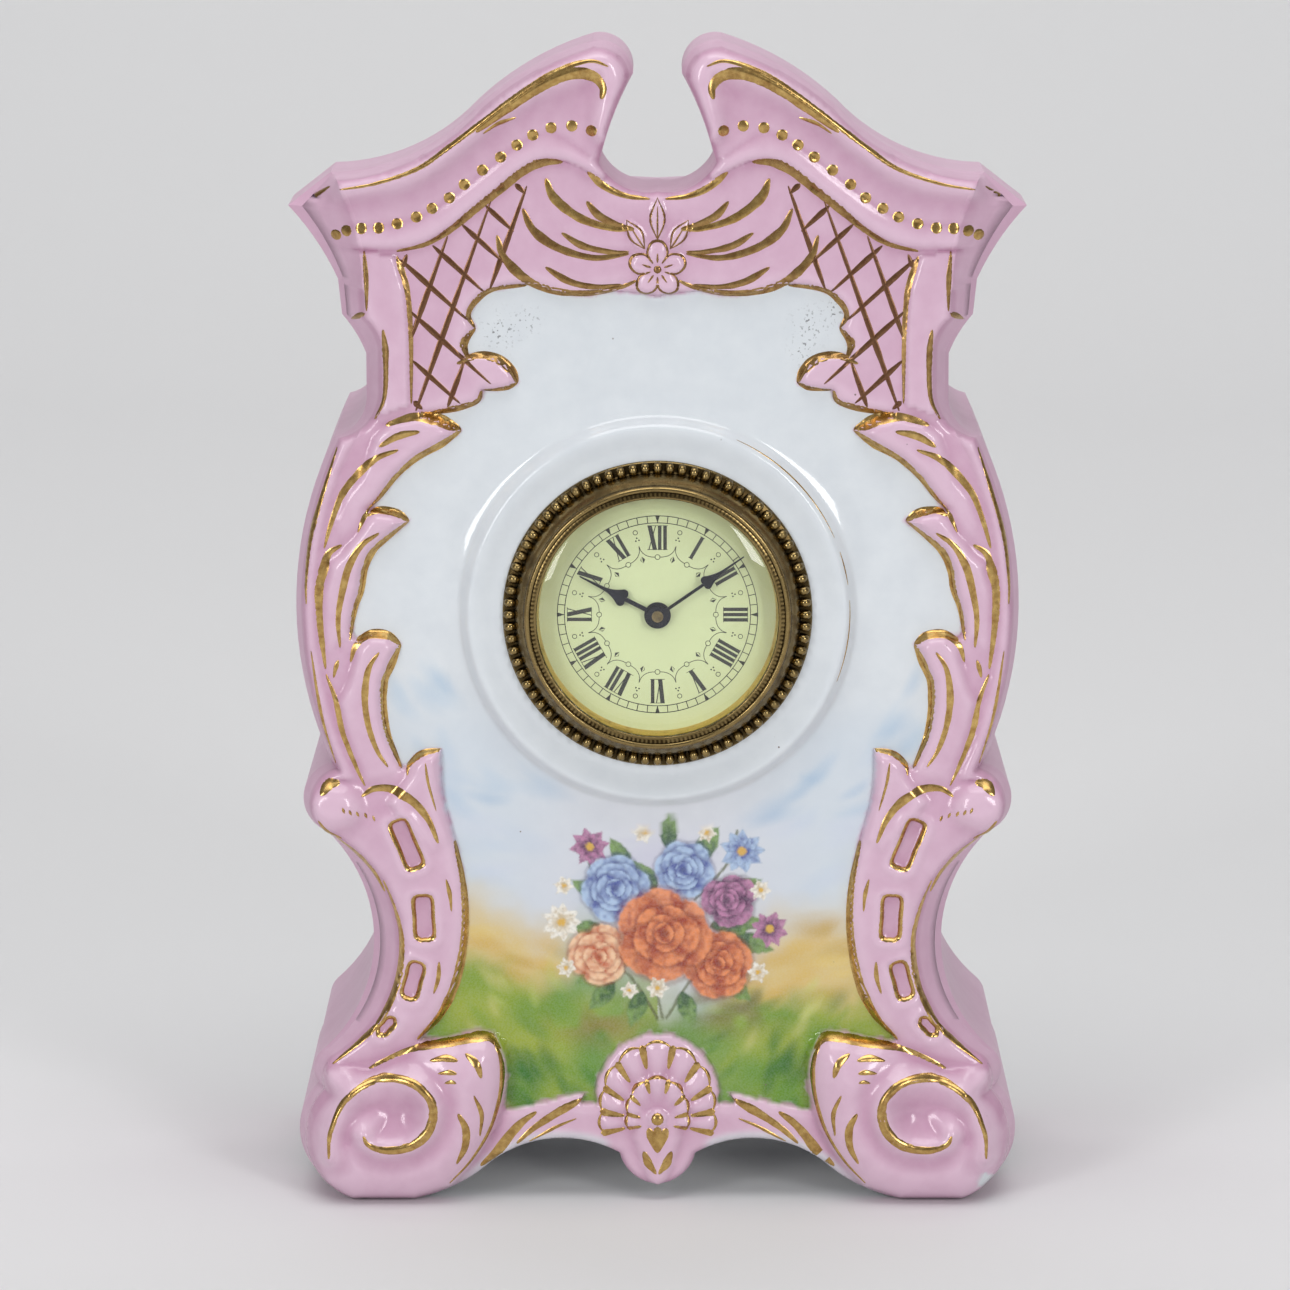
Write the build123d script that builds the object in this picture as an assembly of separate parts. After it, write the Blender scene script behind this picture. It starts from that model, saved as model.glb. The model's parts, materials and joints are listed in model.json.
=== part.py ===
"""Porcelain mantel clock with a wound lever movement, built as separate named pieces.

Millimetres. X is the width, Y runs from the front (negative) to the back, Z is up.
The origin lies under the middle of the feet.
"""
import os
from math import acos, asin, atan2, cos, degrees, hypot, pi, radians, sin

from build123d import *

# Case, from the photo's outline
SIDE_REACH = 77.5           # half width over the ears
CASE_TOP = 248.6
DEPTH = 80.0                # over feet and back
BACK_Y = DEPTH / 2
FOOT_Y = -DEPTH / 2         # front of the scroll feet and of the bezel lip
PANEL_SETBACK = 9.5
PANEL_Y = FOOT_Y + PANEL_SETBACK            # front of the white panel
CANT_DEPTH = 6.5
CANT_Y = PANEL_Y + CANT_DEPTH               # where the canted corners meet the straight sides
PEDIMENT_DEPTH = 26.5
PEDIMENT_BACK_Y = PANEL_Y + PEDIMENT_DEPTH  # the pediment is a screen on the front of the case
WALL = 4.5                  # slip-cast wall
FRONT_WALL = 5.0
BOSS_RISE = 3.0
BOSS_SEAT_Y = PANEL_Y - BOSS_RISE           # face the bezel flange sits on

# Bezel, glass and dial (a two inch dial); each ring is drawn from the one inside it
SIGHT_RADIUS = 25.4
SIGHT_LIP = 1.3             # the bezel holds the glass by this much
GLASS_RADIUS = SIGHT_RADIUS + SIGHT_LIP
GLASS_PLAY = 0.1
BEZEL_BORE = GLASS_RADIUS + GLASS_PLAY
SPIGOT_STEP = 0.6
SPIGOT_INNER = BEZEL_BORE + SPIGOT_STEP
SPIGOT_WALL = 1.0
SPIGOT_LENGTH = 2.5
SPIGOT_END_Y = BOSS_SEAT_Y + SPIGOT_LENGTH
GLASS_SETBACK = 0.8         # behind the bezel lip
GLASS_THICKNESS = 2.2
GLASS_FRONT_Y = FOOT_Y + GLASS_SETBACK
GLASS_BACK_Y = GLASS_FRONT_Y + GLASS_THICKNESS
BEVEL_WIDTH = 4.2
BEVEL_DEPTH = 0.6
SIGHT_RING_DEPTH = 3.0
DIAL_FRONT_Y = GLASS_BACK_Y + SIGHT_RING_DEPTH
DIAL_THICKNESS = 0.6
DIAL_RADIUS = GLASS_RADIUS
DIAL_HOLE = 2.6

# Drum and movement frame
DRUM_INNER = SPIGOT_INNER + SPIGOT_WALL
DRUM_WALL = 0.6
DRUM_RADIUS = DRUM_INNER + DRUM_WALL
FLANGE_REACH = 3.65         # the bezel covers the hole by this much
BEZEL_RADIUS = DRUM_RADIUS + FLANGE_REACH
DRUM_HOLE_CLEARANCE = 0.6
DRUM_LENGTH = 29.5
DRUM_END_Y = BOSS_SEAT_Y + DRUM_LENGTH
COVER_THICKNESS = 0.8
COLLAR_WIDTH = 5.0
COLLAR_RADIUS = DRUM_RADIUS + COLLAR_WIDTH
ACCESS_RADIUS = COLLAR_RADIUS               # round hole in the back, to reach the collar
COLLAR_LENGTH = 4.0
PLATE = 1.4                 # thickness of the brass plates
PLATE_SETBACK = 5.8         # from the dial's face, with the motion work between
FRONT_PLATE_Y = DIAL_FRONT_Y + PLATE_SETBACK
PLATE_GAP = 16.0
INSIDE_Y = FRONT_PLATE_Y + PLATE            # rear face of the front plate
BACK_PLATE_Y = INSIDE_Y + PLATE_GAP         # front face of the back plate
OUTSIDE_Y = BACK_PLATE_Y + PLATE            # rear face of the back plate
DRAWN_BORE = 28.4           # the train is drawn for a drum of this bore
TRAIN = DRUM_INNER / DRAWN_BORE             # and grows with the drum
BACK_PLATE_RADIUS = DRUM_INNER - 2.0
PILLAR_RADIUS = 1.6
PILLAR_CIRCLE = DRUM_INNER - 3.9
PILLAR_ANGLES = (10, 90, 190, 300)
PILLAR_SPIGOT = 0.9

# Fits
RUNNING = 0.05              # radial play of a pivot or pipe
ENDSHAKE = 0.3
PIVOT = 0.5
ARBOR = 0.8

# Wheel train: teeth, module and the direction from each arbor to the next
BARREL_TEETH = 48
CENTRE_LEAVES = 8
BARREL_MODULE = 0.5 * TRAIN
CENTRE_TEETH = 48
THIRD_LEAVES = 6
CENTRE_MODULE = 0.48 * TRAIN
THIRD_TEETH = 45
FOURTH_LEAVES = 6
THIRD_MODULE = 0.48 * TRAIN
FOURTH_TEETH = 48
ESCAPE_LEAVES = 6
FOURTH_MODULE = 0.4 * TRAIN
BARREL_DIRECTION = 225.0
THIRD_DIRECTION = -20.0
FOURTH_DIRECTION = 95.0
ESCAPE_DIRECTION = 150.0
CANNON_LEAVES = 10
MINUTE_TEETH = 30
MINUTE_LEAVES = 8
HOUR_TEETH = 32
MOTION_MODULE = 0.45 * TRAIN
MINUTE_DIRECTION = -90.0
ESCAPE_TEETH = 15
ESCAPE_RADIUS = 5.5 * TRAIN
RATCHET_TEETH = 24
RATCHET_RADIUS = 5.5 * TRAIN
RATCHET_DEPTH = 0.9

# Escapement and balance
LEVER_DISTANCE = 7.2 * TRAIN        # escape arbor to lever arbor
LEVER_DIRECTION = 190.0
BALANCE_DISTANCE = 8.45 * TRAIN     # lever arbor to balance staff
BALANCE_DIRECTION = 195.1
PALLET_REACH = 4.0 * TRAIN
PALLET_SPREAD = 56.0
PALLET_PIN = 0.3
IMPULSE_REACH = 2.1 * TRAIN
IMPULSE_PIN = 0.45
NOTCH_PLAY = 0.15
BALANCE_RADIUS = 7.2 * TRAIN
HAIRSPRING_TURNS = 4.0
HAIRSPRING_INNER = 1.5 * TRAIN
HAIRSPRING_OUTER = 4.6 * TRAIN
HAIRSPRING_THICKNESS = 0.14
STUD_DIRECTION = 110.0
REGULATOR_DIRECTION = 60.0
REGULATOR_REACH = 8.5 * TRAIN
REGULATOR_SWING = 20.0

# Click on the ratchet
CLICK_DISTANCE = 8.0 * TRAIN
CLICK_DIRECTION = -60.0
CLICK_LIFT = 0.12           # beak above the tooth tips as built
CLICK_DROP = 7.0            # degrees from lifted to home

# Hands as they stand in the photo, degrees clockwise from twelve
HOUR_ANGLE = 297.0
MINUTE_ANGLE = 55.0
HAND_GAP = 0.7              # between the dial and the hour hand
HAND_THICKNESS = 0.4
HAND_PITCH = 1.0            # from one hand to the next
HOUR_HAND_Y = DIAL_FRONT_Y - HAND_GAP - HAND_THICKNESS
MINUTE_HAND_Y = HOUR_HAND_Y - HAND_PITCH
HOUR_REACH = SIGHT_RADIUS - 7.0
MINUTE_REACH = SIGHT_RADIUS - 3.2
HOUR_PIPE = 2.2
CANNON_PIPE = 1.45
CENTRE_ARBOR = 0.9
WINDING_SQUARE = 2.6
KNOB_GAP = 0.6              # behind the drum's cover
KNOB_Y = DRUM_END_Y + COVER_THICKNESS + KNOB_GAP
KNOB_LENGTH = 5.2
KNOB_END_Y = KNOB_Y + KNOB_LENGTH
KNOB_RADIUS = 5.0
KNOB_BLIND = 1.5            # the arbor ends this far below the knob's face

# Key
SQUARE_REACH = 5.6          # of the winding square in the key
SLEEVE_RADIUS = 3.0
SLEEVE_LENGTH = 11.6
LOOP_RADIUS = 6.2
LOOP_EYE = 3.4
LOOP_OUT = 7.4              # from the key's axis
LOOP_THICKNESS = 1.8


# Drawing helpers

def edges_through(y, start, steps, side=1):
    """Lines and arcs through (x, z) points at depth y; a step is (end,) or (via, end)."""
    here = Vector(side * start[0], y, start[1])
    result = []
    for step in steps:
        there = Vector(side * step[-1][0], y, step[-1][1])
        if len(step) == 1:
            result.append(Edge.make_line(here, there))
        else:
            middle = Vector(side * step[0][0], y, step[0][1])
            result.append(Edge.make_three_point_arc(here, middle, there))
        here = there
    return result


def mirrored_face(y, start, steps):
    """Face whose right half is drawn and whose left half is its mirror image."""
    right = edges_through(y, start, steps)
    left = edges_through(y, start, steps, -1)
    return Face(Wire(right + left))


def side_face(y, start, steps, side):
    """Closed face on one side of the middle; the last step returns to the start."""
    return Face(Wire(edges_through(y, start, steps, side)))


def push(face, length):
    """Extrude a face drawn at constant depth towards the back (or the front if negative)."""
    return extrude(face, amount=abs(length), dir=(0, 1 if length > 0 else -1, 0))


def polygon(points, y):
    """Straight-sided face through (x, z) points at depth y."""
    return Face(Wire.make_polygon([Vector(x, y, z) for x, z in points]))


def rod(place, y0, y1, radius):
    """Round bar along Y at place = (x, z)."""
    bar = Cylinder(radius, y1 - y0, align=(Align.CENTER, Align.CENTER, Align.MIN))
    return Pos(place[0], y0, place[1]) * Rot(-90, 0, 0) * bar


def turned(place, *steps):
    """One turned piece along Y; each step is (start, end, radius)."""
    points = [(0, steps[0][0])]
    for y0, y1, radius in steps:
        points.append((radius, y0))
        points.append((radius, y1))
    points.append((0, steps[-1][1]))
    profile = Face(Wire.make_polygon([Vector(r, y, 0) for r, y in points]))
    return Pos(place[0], 0, place[1]) * revolve(profile, Axis.Y, 360)


def spun(edges):
    """Turn a closed (radius, y) profile of edges about the dial axis."""
    return Pos(0, 0, DIAL_Z) * revolve(Face(Wire(edges)), Axis.Y, 360)


def profile_edges(start, steps):
    """Lines and arcs of a turning profile through (radius, y) points."""
    here = Vector(start[0], start[1], 0)
    result = []
    for step in steps:
        there = Vector(step[-1][0], step[-1][1], 0)
        if len(step) == 1:
            result.append(Edge.make_line(here, there))
        else:
            middle = Vector(step[0][0], step[0][1], 0)
            result.append(Edge.make_three_point_arc(here, middle, there))
        here = there
    return result


def polar(centre, reach, angle):
    """Point at a reach and an angle (degrees, from +X towards +Z) about a centre."""
    return (centre[0] + reach * cos(radians(angle)), centre[1] + reach * sin(radians(angle)))


def toothed(place, rows, teeth, phase, y0, y1):
    """Toothed disc; rows are (radius, half thickness) of a tooth from root to tip."""
    points = []
    for k in range(teeth):
        middle = phase + 360.0 * k / teeth
        for radius, half in rows:
            points.append(polar(place, radius, middle - degrees(asin(half / radius))))
        for radius, half in reversed(rows):
            points.append(polar(place, radius, middle + degrees(asin(half / radius))))
    return push(polygon(points, y0), y1 - y0)


def wheel_rows(teeth, module):
    """Tooth of a wheel."""
    pitch = teeth * module / 2
    return [(pitch - 1.25 * module, 0.92 * module), (pitch + 0.9 * module, 0.24 * module)]


def pinion_rows(leaves, module):
    """Leaf of a pinion: radial flanks and a short rounded head."""
    pitch = leaves * module / 2
    root = pitch - 1.35 * module
    half = 0.52 * module
    return [(root, half * root / pitch), (pitch, half), (pitch + 0.62 * module, 0.27 * module)]


def meshing_phase(phase, teeth, other_teeth, direction):
    """Phase of a wheel whose gap meets a tooth of the wheel it is driven by."""
    return direction + 180.0 - (phase - direction) * teeth / other_teeth + 180.0 / other_teeth


def crossings(place, inner, outer, arms, arm_width, y0, y1, turn=0.0):
    """Windows between the arms of a crossed-out wheel, for cutting away."""
    windows = []
    for k in range(arms):
        start = turn + 360.0 * k / arms
        end = start + 360.0 / arms
        trim_in = degrees(asin(arm_width / 2 / inner))
        trim_out = degrees(asin(arm_width / 2 / outer))
        middle = (start + end) / 2
        steps = [
            (polar(place, outer, start + trim_out),),
            (polar(place, outer, middle), polar(place, outer, end - trim_out)),
            (polar(place, inner, end - trim_in),),
            (polar(place, inner, middle), polar(place, inner, start + trim_in)),
        ]
        face = Face(Wire(edges_through(y0, polar(place, inner, start + trim_in), steps)))
        windows.append(push(face, y1 - y0))
    return windows


def bar_between(a, b, width, y0, y1):
    """Flat bar of a given width between two (x, z) points."""
    length = hypot(b[0] - a[0], b[1] - a[1])
    nx = -(b[1] - a[1]) / length * width / 2
    nz = (b[0] - a[0]) / length * width / 2
    corners = [(a[0] + nx, a[1] + nz), (b[0] + nx, b[1] + nz), (b[0] - nx, b[1] - nz), (a[0] - nx, a[1] - nz)]
    return push(polygon(corners, y0), y1 - y0)


def flat_spiral(place, inner, outer, turns, thickness, end_angle, y0, y1):
    """Flat wound spring: an unbroken strip between two radii, ending at an angle."""
    count = int(turns * 12)
    rims = []
    for offset in (-thickness / 2, thickness / 2):
        points = []
        for k in range(count + 1):
            part = k / count
            radius = inner + (outer - inner) * part + offset
            x, z = polar(place, radius, end_angle - 360.0 * turns * (1 - part))
            points.append(Vector(x, y0, z))
        rims.append(points)
    sides = [Edge.make_spline(rims[0]), Edge.make_spline(rims[1])]
    ends = [Edge.make_line(rims[0][0], rims[1][0]), Edge.make_line(rims[0][-1], rims[1][-1])]
    return push(Face(Wire([sides[0], ends[1], sides[1], ends[0]])), y1 - y0)


def cut_out(body, low, high):
    """The part of a body that lies between two corners."""
    middle = [(a + b) / 2 for a, b in zip(low, high)]
    size = [b - a for a, b in zip(low, high)]
    return body & Pos(*middle) * Box(*size)


# Porcelain case

SIDE_DRAWING = [
    ((8.2, 219.2), (12.0, 223.8)),          # bottom of the broken pediment
    ((9.4, 232.4), (5.1, 241.7)),           # inner side of the scroll
    ((7.2, 246.6), (13.4, 248.6)),          # scroll head
    ((25.0, 243.8), (38.1, 234.4)),         # upper half of the swan neck
    ((50.5, 225.3), (68.5, 221.0)),         # lower half of the swan neck
    ((77.5, 214.0),),                       # ear
    ((71.8, 206.8), (67.2, 198.5)),         # hollow under the ear
    ((66.4, 191.0),),                       # block
    ((63.6, 187.2), (61.4, 182.7)),         # step below the block
    ((61.4, 173.0),),                       # pilaster
    ((63.2, 168.3), (68.4, 165.0)),         # cove to the shoulder
    ((76.7, 132.0), (69.5, 94.6)),          # belly round the dial
    ((75.6, 85.6), (70.7, 79.5)),           # knuckle
    ((60.9, 57.0), (72.5, 31.0)),           # waist
    ((74.1, 27.6), (73.2, 24.0)),           # ankle
    ((76.9, 10.5), (66.5, 0.0)),            # foot
    ((52.0, 0.0),),
    ((44.0, 2.7), (36.0, 8.0)),             # toe
    ((20.0, 13.4), (8.1, 10.1)),            # arch of the apron
    ((4.8, 5.0), (0.0, 3.2)),               # drop
]
# The outlines stretch from this drawing to the case's own width and height
STRETCH_X = SIDE_REACH / max(x for step in SIDE_DRAWING for x, z in step)
STRETCH_Z = CASE_TOP / max(z for step in SIDE_DRAWING for x, z in step)


def fitted(*points):
    """Points of the drawing, stretched to the case's width and height."""
    return [(x * STRETCH_X, z * STRETCH_Z) for x, z in points]


def fitted_steps(steps):
    """Outline steps, stretched to the case's width and height."""
    return [tuple(fitted(*step)) for step in steps]


SIDE_OUTLINE = fitted_steps(SIDE_DRAWING)
NOTCH, DIAL_MIDDLE, CROWN_FOOT = fitted((0, 217.5), (0, 128.6), (0, 186.0))
DIAL_Z = DIAL_MIDDLE[1]     # the dial sits in the middle of the belly
CROWN_Z = CROWN_FOOT[1]     # the side walls end here and the crown begins
FRONT_OUTLINE = fitted_steps([
    ((8.3, 219.2), (12.3, 223.8)),
    ((9.9, 232.2), (6.0, 241.5)),
    ((8.0, 245.8), (13.4, 247.6)),
    ((24.6, 243.0), (37.6, 233.7)),
    ((50.0, 224.6), (66.5, 220.2)),
    ((64.5, 214.0),),
    ((62.6, 207.0), (61.7, 199.0)),
    ((61.7, 191.2),),
    ((59.6, 188.9), (58.1, 185.0)),
    ((58.1, 176.0),),
    ((60.2, 169.6), (66.8, 165.6)),
    ((75.0, 132.0), (67.9, 94.6)),
    ((73.6, 85.8), (68.8, 80.0)),
    ((55.0, 57.0), (69.5, 31.5)),
    ((71.6, 28.0), (71.4, 24.4)),
    ((75.2, 10.8), (65.8, 0.0)),
    ((52.0, 0.0),),
    ((44.0, 2.7), (36.0, 8.0)),
    ((20.0, 13.4), (8.1, 10.1)),
    ((4.8, 5.0), (0.0, 3.2)),
])
BODY_TOP = fitted((0, 213.0))[0]
BODY_CROWN = fitted_steps([((36.0, 211.0), (64.0, 203.0)), ((66.4, 191.0),)])
BODY_OUTLINE = BODY_CROWN + SIDE_OUTLINE[8:16] + [((0.0, 0.0),)]
HOLLOW_TOP = fitted((0, 205.0))[0]
HOLLOW_OUTLINE = fitted_steps([
    ((34.0, 203.5), (56.0, 196.0)),
    ((56.6, 183.0),),
    ((56.6, 173.0),),
    ((58.6, 165.6), (64.0, 161.5)),
    ((72.1, 131.0), (65.0, 95.0)),
    ((70.0, 86.0), (65.6, 77.4)),
    ((56.2, 57.0), (67.4, 30.0)),
    ((71.0, 12.0),),
    ((62.0, -2.0),),
    ((0.0, -2.0),),
])

# Raised border of leaves down each side of the panel
BORDER_START = fitted((53.6, 170.2))[0]
BORDER_OUTLINE = fitted_steps([
    ((49.5, 171.2), (41.0, 167.4)),         # first leaf
    ((50.5, 160.6), (61.3, 149.0)),
    ((57.2, 151.0), (52.0, 148.3)),         # second leaf
    ((60.3, 139.7), (65.0, 120.5)),
    ((60.0, 124.6), (54.2, 121.6)),         # third leaf
    ((58.0, 108.5), (53.3, 93.6)),
    ((50.0, 98.3), (45.6, 99.1)),           # fourth leaf
    ((41.0, 62.0), (54.6, 33.3)),           # inner edge of the strap
    ((68.5, 31.5),),
    ((54.6, 57.0), (67.0, 80.0)),           # outer edge
    ((72.6, 85.8), (66.6, 94.6)),
    ((73.6, 132.0), (65.0, 165.0)),
    ((59.0, 168.5), (53.6, 170.2)),
])
BORDER_RISE = 2.4
# Windows in the strap: middle, size and lean in degrees
WINDOW_PLACES = fitted((53.2, 79.4), (48.7, 63.0), (50.5, 48.9), (56.3, 38.0))
WINDOW_SIZES = [(3.4, 9.0, 22.0), (4.2, 9.6, 4.0), (4.2, 9.0, -14.0), (3.4, 8.0, -46.0)]
WINDOW_DEPTH = 1.1

# Scroll foot
FOOT_START = fitted((71.6, 28.6))[0]
FOOT_OUTLINE = fitted_steps([
    ((62.0, 29.6), (54.6, 33.2)),
    ((46.0, 36.0), (37.4, 37.4)),
    ((31.6, 33.0), (31.8, 26.0)),
    ((33.6, 14.5), (41.0, 5.2)),
    ((46.0, 1.6), (52.0, 0.0)),
    ((65.8, 0.0),),
    ((75.2, 10.8), (71.6, 28.6)),
])
FOOT_RISE = 5.5
FOOT_ROUND = 7.9            # of the round under the volute
VOLUTE_START, VOLUTE_SIDE, VOLUTE_MIDDLE = fitted((70.4, 10.8), (68.6, 22.0), (58.2, 19.6))
VOLUTE_TURNS = fitted((57.5, 28.4), (53.6, 12.9), (61.5, 15.6), (57.4, 22.6))
VOLUTE_BEAD = 1.3

# Swan-neck cornice: lower fascia line and top roll line, from the ear to the scroll
FASCIA_LINE = fitted((61.0, 211.6), (50.0, 213.6), (38.0, 222.4), (25.0, 231.2), (13.4, 231.4))
ROLL_LINE = fitted((66.0, 217.6), (51.0, 221.8), (37.6, 230.6), (25.0, 239.6), (13.0, 243.6))
FASCIA_RADIUS = 3.4
ROLL_RADIUS = 3.0
SCROLL_HEAD = fitted((12.6, 239.6))[0]
SCROLL_HEAD_RADIUS = 6.6
CORNICE_START = fitted((66.5, 220.0))[0]
CORNICE_OUTLINE = fitted_steps([
    ((64.5, 214.0),),
    ((60.6, 206.4),),
    ((52.0, 205.6), (43.2, 209.8)),         # lower gilt line
    ((34.0, 217.5), (24.0, 224.0)),
    ((18.0, 224.0), (12.5, 222.6)),
    ((9.9, 232.2), (6.4, 241.3)),
    ((8.0, 245.8), (13.4, 247.3)),
    ((24.6, 242.7), (37.4, 233.5)),
    ((50.0, 224.4), (66.5, 220.0)),
])
CORNICE_RISE = 3.2

# Shell and flower ornaments
SHELL_FOOT, DROP_HEAD, FLOWER = fitted((0.0, 17.5), (0.0, 21.0), (0.0, 201.6))
SHELL_RIBS = 9
SHELL_SPREAD = 84.0
SHELL_REACH = 19.2
SHELL_DROOP = 5.0          # the outer ribs are shorter
SHELL_RIB = 2.3
PETALS = 5
PETAL_LENGTH = 5.6
PETAL_HALF = 1.8


def petal(root, angle, start, length, narrow, wide, y):
    """Rib with a round end lying on a face: a cone and a ball turned about its own length."""
    shoulder = length - wide
    bend = wide * cos(pi / 4)
    root_edge = Vector(narrow, 0, start)
    shoulder_edge = Vector(wide, 0, shoulder)
    tip = Vector(0, 0, length)
    profile = Face(Wire([
        Edge.make_line(Vector(0, 0, start), root_edge),
        Edge.make_line(root_edge, shoulder_edge),
        Edge.make_three_point_arc(shoulder_edge, Vector(bend, 0, shoulder + bend), tip),
        Edge.make_line(tip, Vector(0, 0, start)),
    ]))
    return Pos(root[0], y, root[1]) * Rot(0, 90 - angle, 0) * revolve(profile, Axis.Z, 360)


def bead_along(points, radius, y, side):
    """Round moulding swept along arcs that run on into one another."""
    corners = [Vector(side * x, y, z) for x, z in points]
    path = [Edge.make_three_point_arc(corners[0], corners[1], corners[2])]
    for corner in corners[4::2]:
        path.append(Edge.make_tangent_arc(path[-1] @ 1, path[-1] % 1, corner))
    spine = Wire(path)
    section = Plane(origin=spine @ 0, z_dir=spine % 0) * Circle(radius)
    return sweep(section, path=spine)


def volute_bead(side):
    """Spiral bead of the scroll foot: arcs of shrinking radius, each tangent to the last."""
    corners = [Vector(side * x, FOOT_Y + VOLUTE_BEAD, z) for x, z in [VOLUTE_START] + VOLUTE_TURNS]
    middle = Vector(side * VOLUTE_SIDE[0], FOOT_Y + VOLUTE_BEAD, VOLUTE_SIDE[1])
    path = [Edge.make_three_point_arc(corners[0], middle, corners[1])]
    for corner in corners[2:]:
        path.append(Edge.make_tangent_arc(path[-1] @ 1, path[-1] % 1, corner))
    spine = Wire(path)
    section = Plane(origin=spine @ 0, z_dir=spine % 0) * Circle(VOLUTE_BEAD)
    return sweep(section, path=spine)


def boss():
    """Raised ring round the dial with a hollow cove outside and a flat seat for the bezel."""
    hole = DRUM_RADIUS + DRUM_HOLE_CLEARANCE
    seat = BEZEL_RADIUS + 3.75
    rim = seat + 11.6
    return spun(profile_edges((hole, PANEL_Y + 2.0), [
        ((rim, PANEL_Y + 2.0),),
        ((rim, PANEL_Y - 0.1),),
        ((rim - 4.4, PANEL_Y - 0.7), (rim - 7.2, BOSS_SEAT_Y + 0.5)),
        ((seat + 3.2, BOSS_SEAT_Y - 1.0), (seat + 1.6, BOSS_SEAT_Y - 0.4)),
        ((seat, BOSS_SEAT_Y),),
        ((hole, BOSS_SEAT_Y),),
        ((hole, PANEL_Y + 2.0),),
    ]))


def make_case():
    """The hollow glazed body with its relief."""
    front = mirrored_face(PANEL_Y, NOTCH, FRONT_OUTLINE)
    side = mirrored_face(CANT_Y, NOTCH, SIDE_OUTLINE)
    shell = loft([front, side], ruled=True)
    shell += push(side, PEDIMENT_BACK_Y - CANT_Y)
    shell += push(mirrored_face(PEDIMENT_BACK_Y, BODY_TOP, BODY_OUTLINE), BACK_Y - PEDIMENT_BACK_Y)
    inner_y = PANEL_Y + FRONT_WALL
    shell -= push(mirrored_face(inner_y, HOLLOW_TOP, HOLLOW_OUTLINE), BACK_Y - WALL - inner_y)
    # feet: arches through the sides and the back leave four standing places
    arch = fitted_steps([((34.0, 13.0), (54.0, -2.0)), ((0.0, -2.0),)])
    under = mirrored_face(BACK_Y - WALL - 2, fitted((0, 17.0))[0], arch)
    shell -= push(under, WALL + 4)
    outside = SIDE_REACH + 12.5
    gate_front = Vector(-outside, PANEL_Y + 13.5, -2)
    gate_back = Vector(-outside, BACK_Y - 11, -2)
    gate_top = Vector(-outside, (gate_front.Y + gate_back.Y) / 2, 8.5)
    gate_arch = Edge.make_three_point_arc(gate_front, gate_top, gate_back)
    gate = Face(Wire([gate_arch, Edge.make_line(gate_back, gate_front)]))
    shell -= extrude(gate, amount=2 * outside, dir=(1, 0, 0))
    shell += boss()
    relief = []
    cornice_y = PANEL_Y - CORNICE_RISE
    for hand in (1, -1):
        border = push(side_face(PANEL_Y + 0.5, BORDER_START, BORDER_OUTLINE, hand), -BORDER_RISE - 0.5)
        for middle, (width, height, lean) in zip(WINDOW_PLACES, WINDOW_SIZES):
            slot = Pos(hand * middle[0], PANEL_Y - BORDER_RISE, middle[1]) * Rot(0, hand * lean, 0)
            border -= slot * Box(width, 2 * WINDOW_DEPTH, height)
        relief.append(border)
        relief.append(push(side_face(PANEL_Y + 0.5, FOOT_START, FOOT_OUTLINE, hand), -FOOT_RISE - 0.5))
        cornice = side_face(PANEL_Y + 0.5, CORNICE_START, CORNICE_OUTLINE, hand)
        relief.append(push(cornice, -CORNICE_RISE - 0.5))
        relief.append(rod((hand * VOLUTE_MIDDLE[0], VOLUTE_MIDDLE[1]), PANEL_Y - FOOT_ROUND, PANEL_Y, 12.4))
        relief.append(volute_bead(hand))
        relief.append(bead_along(FASCIA_LINE, FASCIA_RADIUS, cornice_y + 0.6, hand))
        relief.append(bead_along(ROLL_LINE, ROLL_RADIUS, cornice_y + 0.4, hand))
        head = (hand * SCROLL_HEAD[0], SCROLL_HEAD[1])
        relief.append(rod(head, cornice_y - 2.6, PANEL_Y, SCROLL_HEAD_RADIUS))
    for k in range(SHELL_RIBS):
        angle = 90 + SHELL_SPREAD * (2 * k / (SHELL_RIBS - 1) - 1)
        reach = SHELL_REACH - SHELL_DROOP * abs(angle - 90) / 90
        relief.append(petal(SHELL_FOOT, angle, 2.0, reach, 0.5, SHELL_RIB, PANEL_Y - 0.4))
    relief.append(petal(DROP_HEAD, -90, 1.0, 17.4, 4.2, 1.6, PANEL_Y - 0.4))
    for k in range(PETALS):
        relief.append(petal(FLOWER, 90 + 360 * k / PETALS, 1.0, PETAL_LENGTH, 0.5, PETAL_HALF, PANEL_Y - 0.2))
    relief.append(Pos(FLOWER[0], PANEL_Y - 0.6, FLOWER[1]) * Sphere(1.7))
    body = shell
    for lump in relief:
        body = body + lump
    body -= rod((0, DIAL_Z), FOOT_Y - 5, 0, DRUM_RADIUS + DRUM_HOLE_CLEARANCE)
    body -= rod((0, DIAL_Z), BACK_Y - WALL - 1, BACK_Y + 1, ACCESS_RADIUS)
    return body


# Places of the arbors, seen from the front

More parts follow.
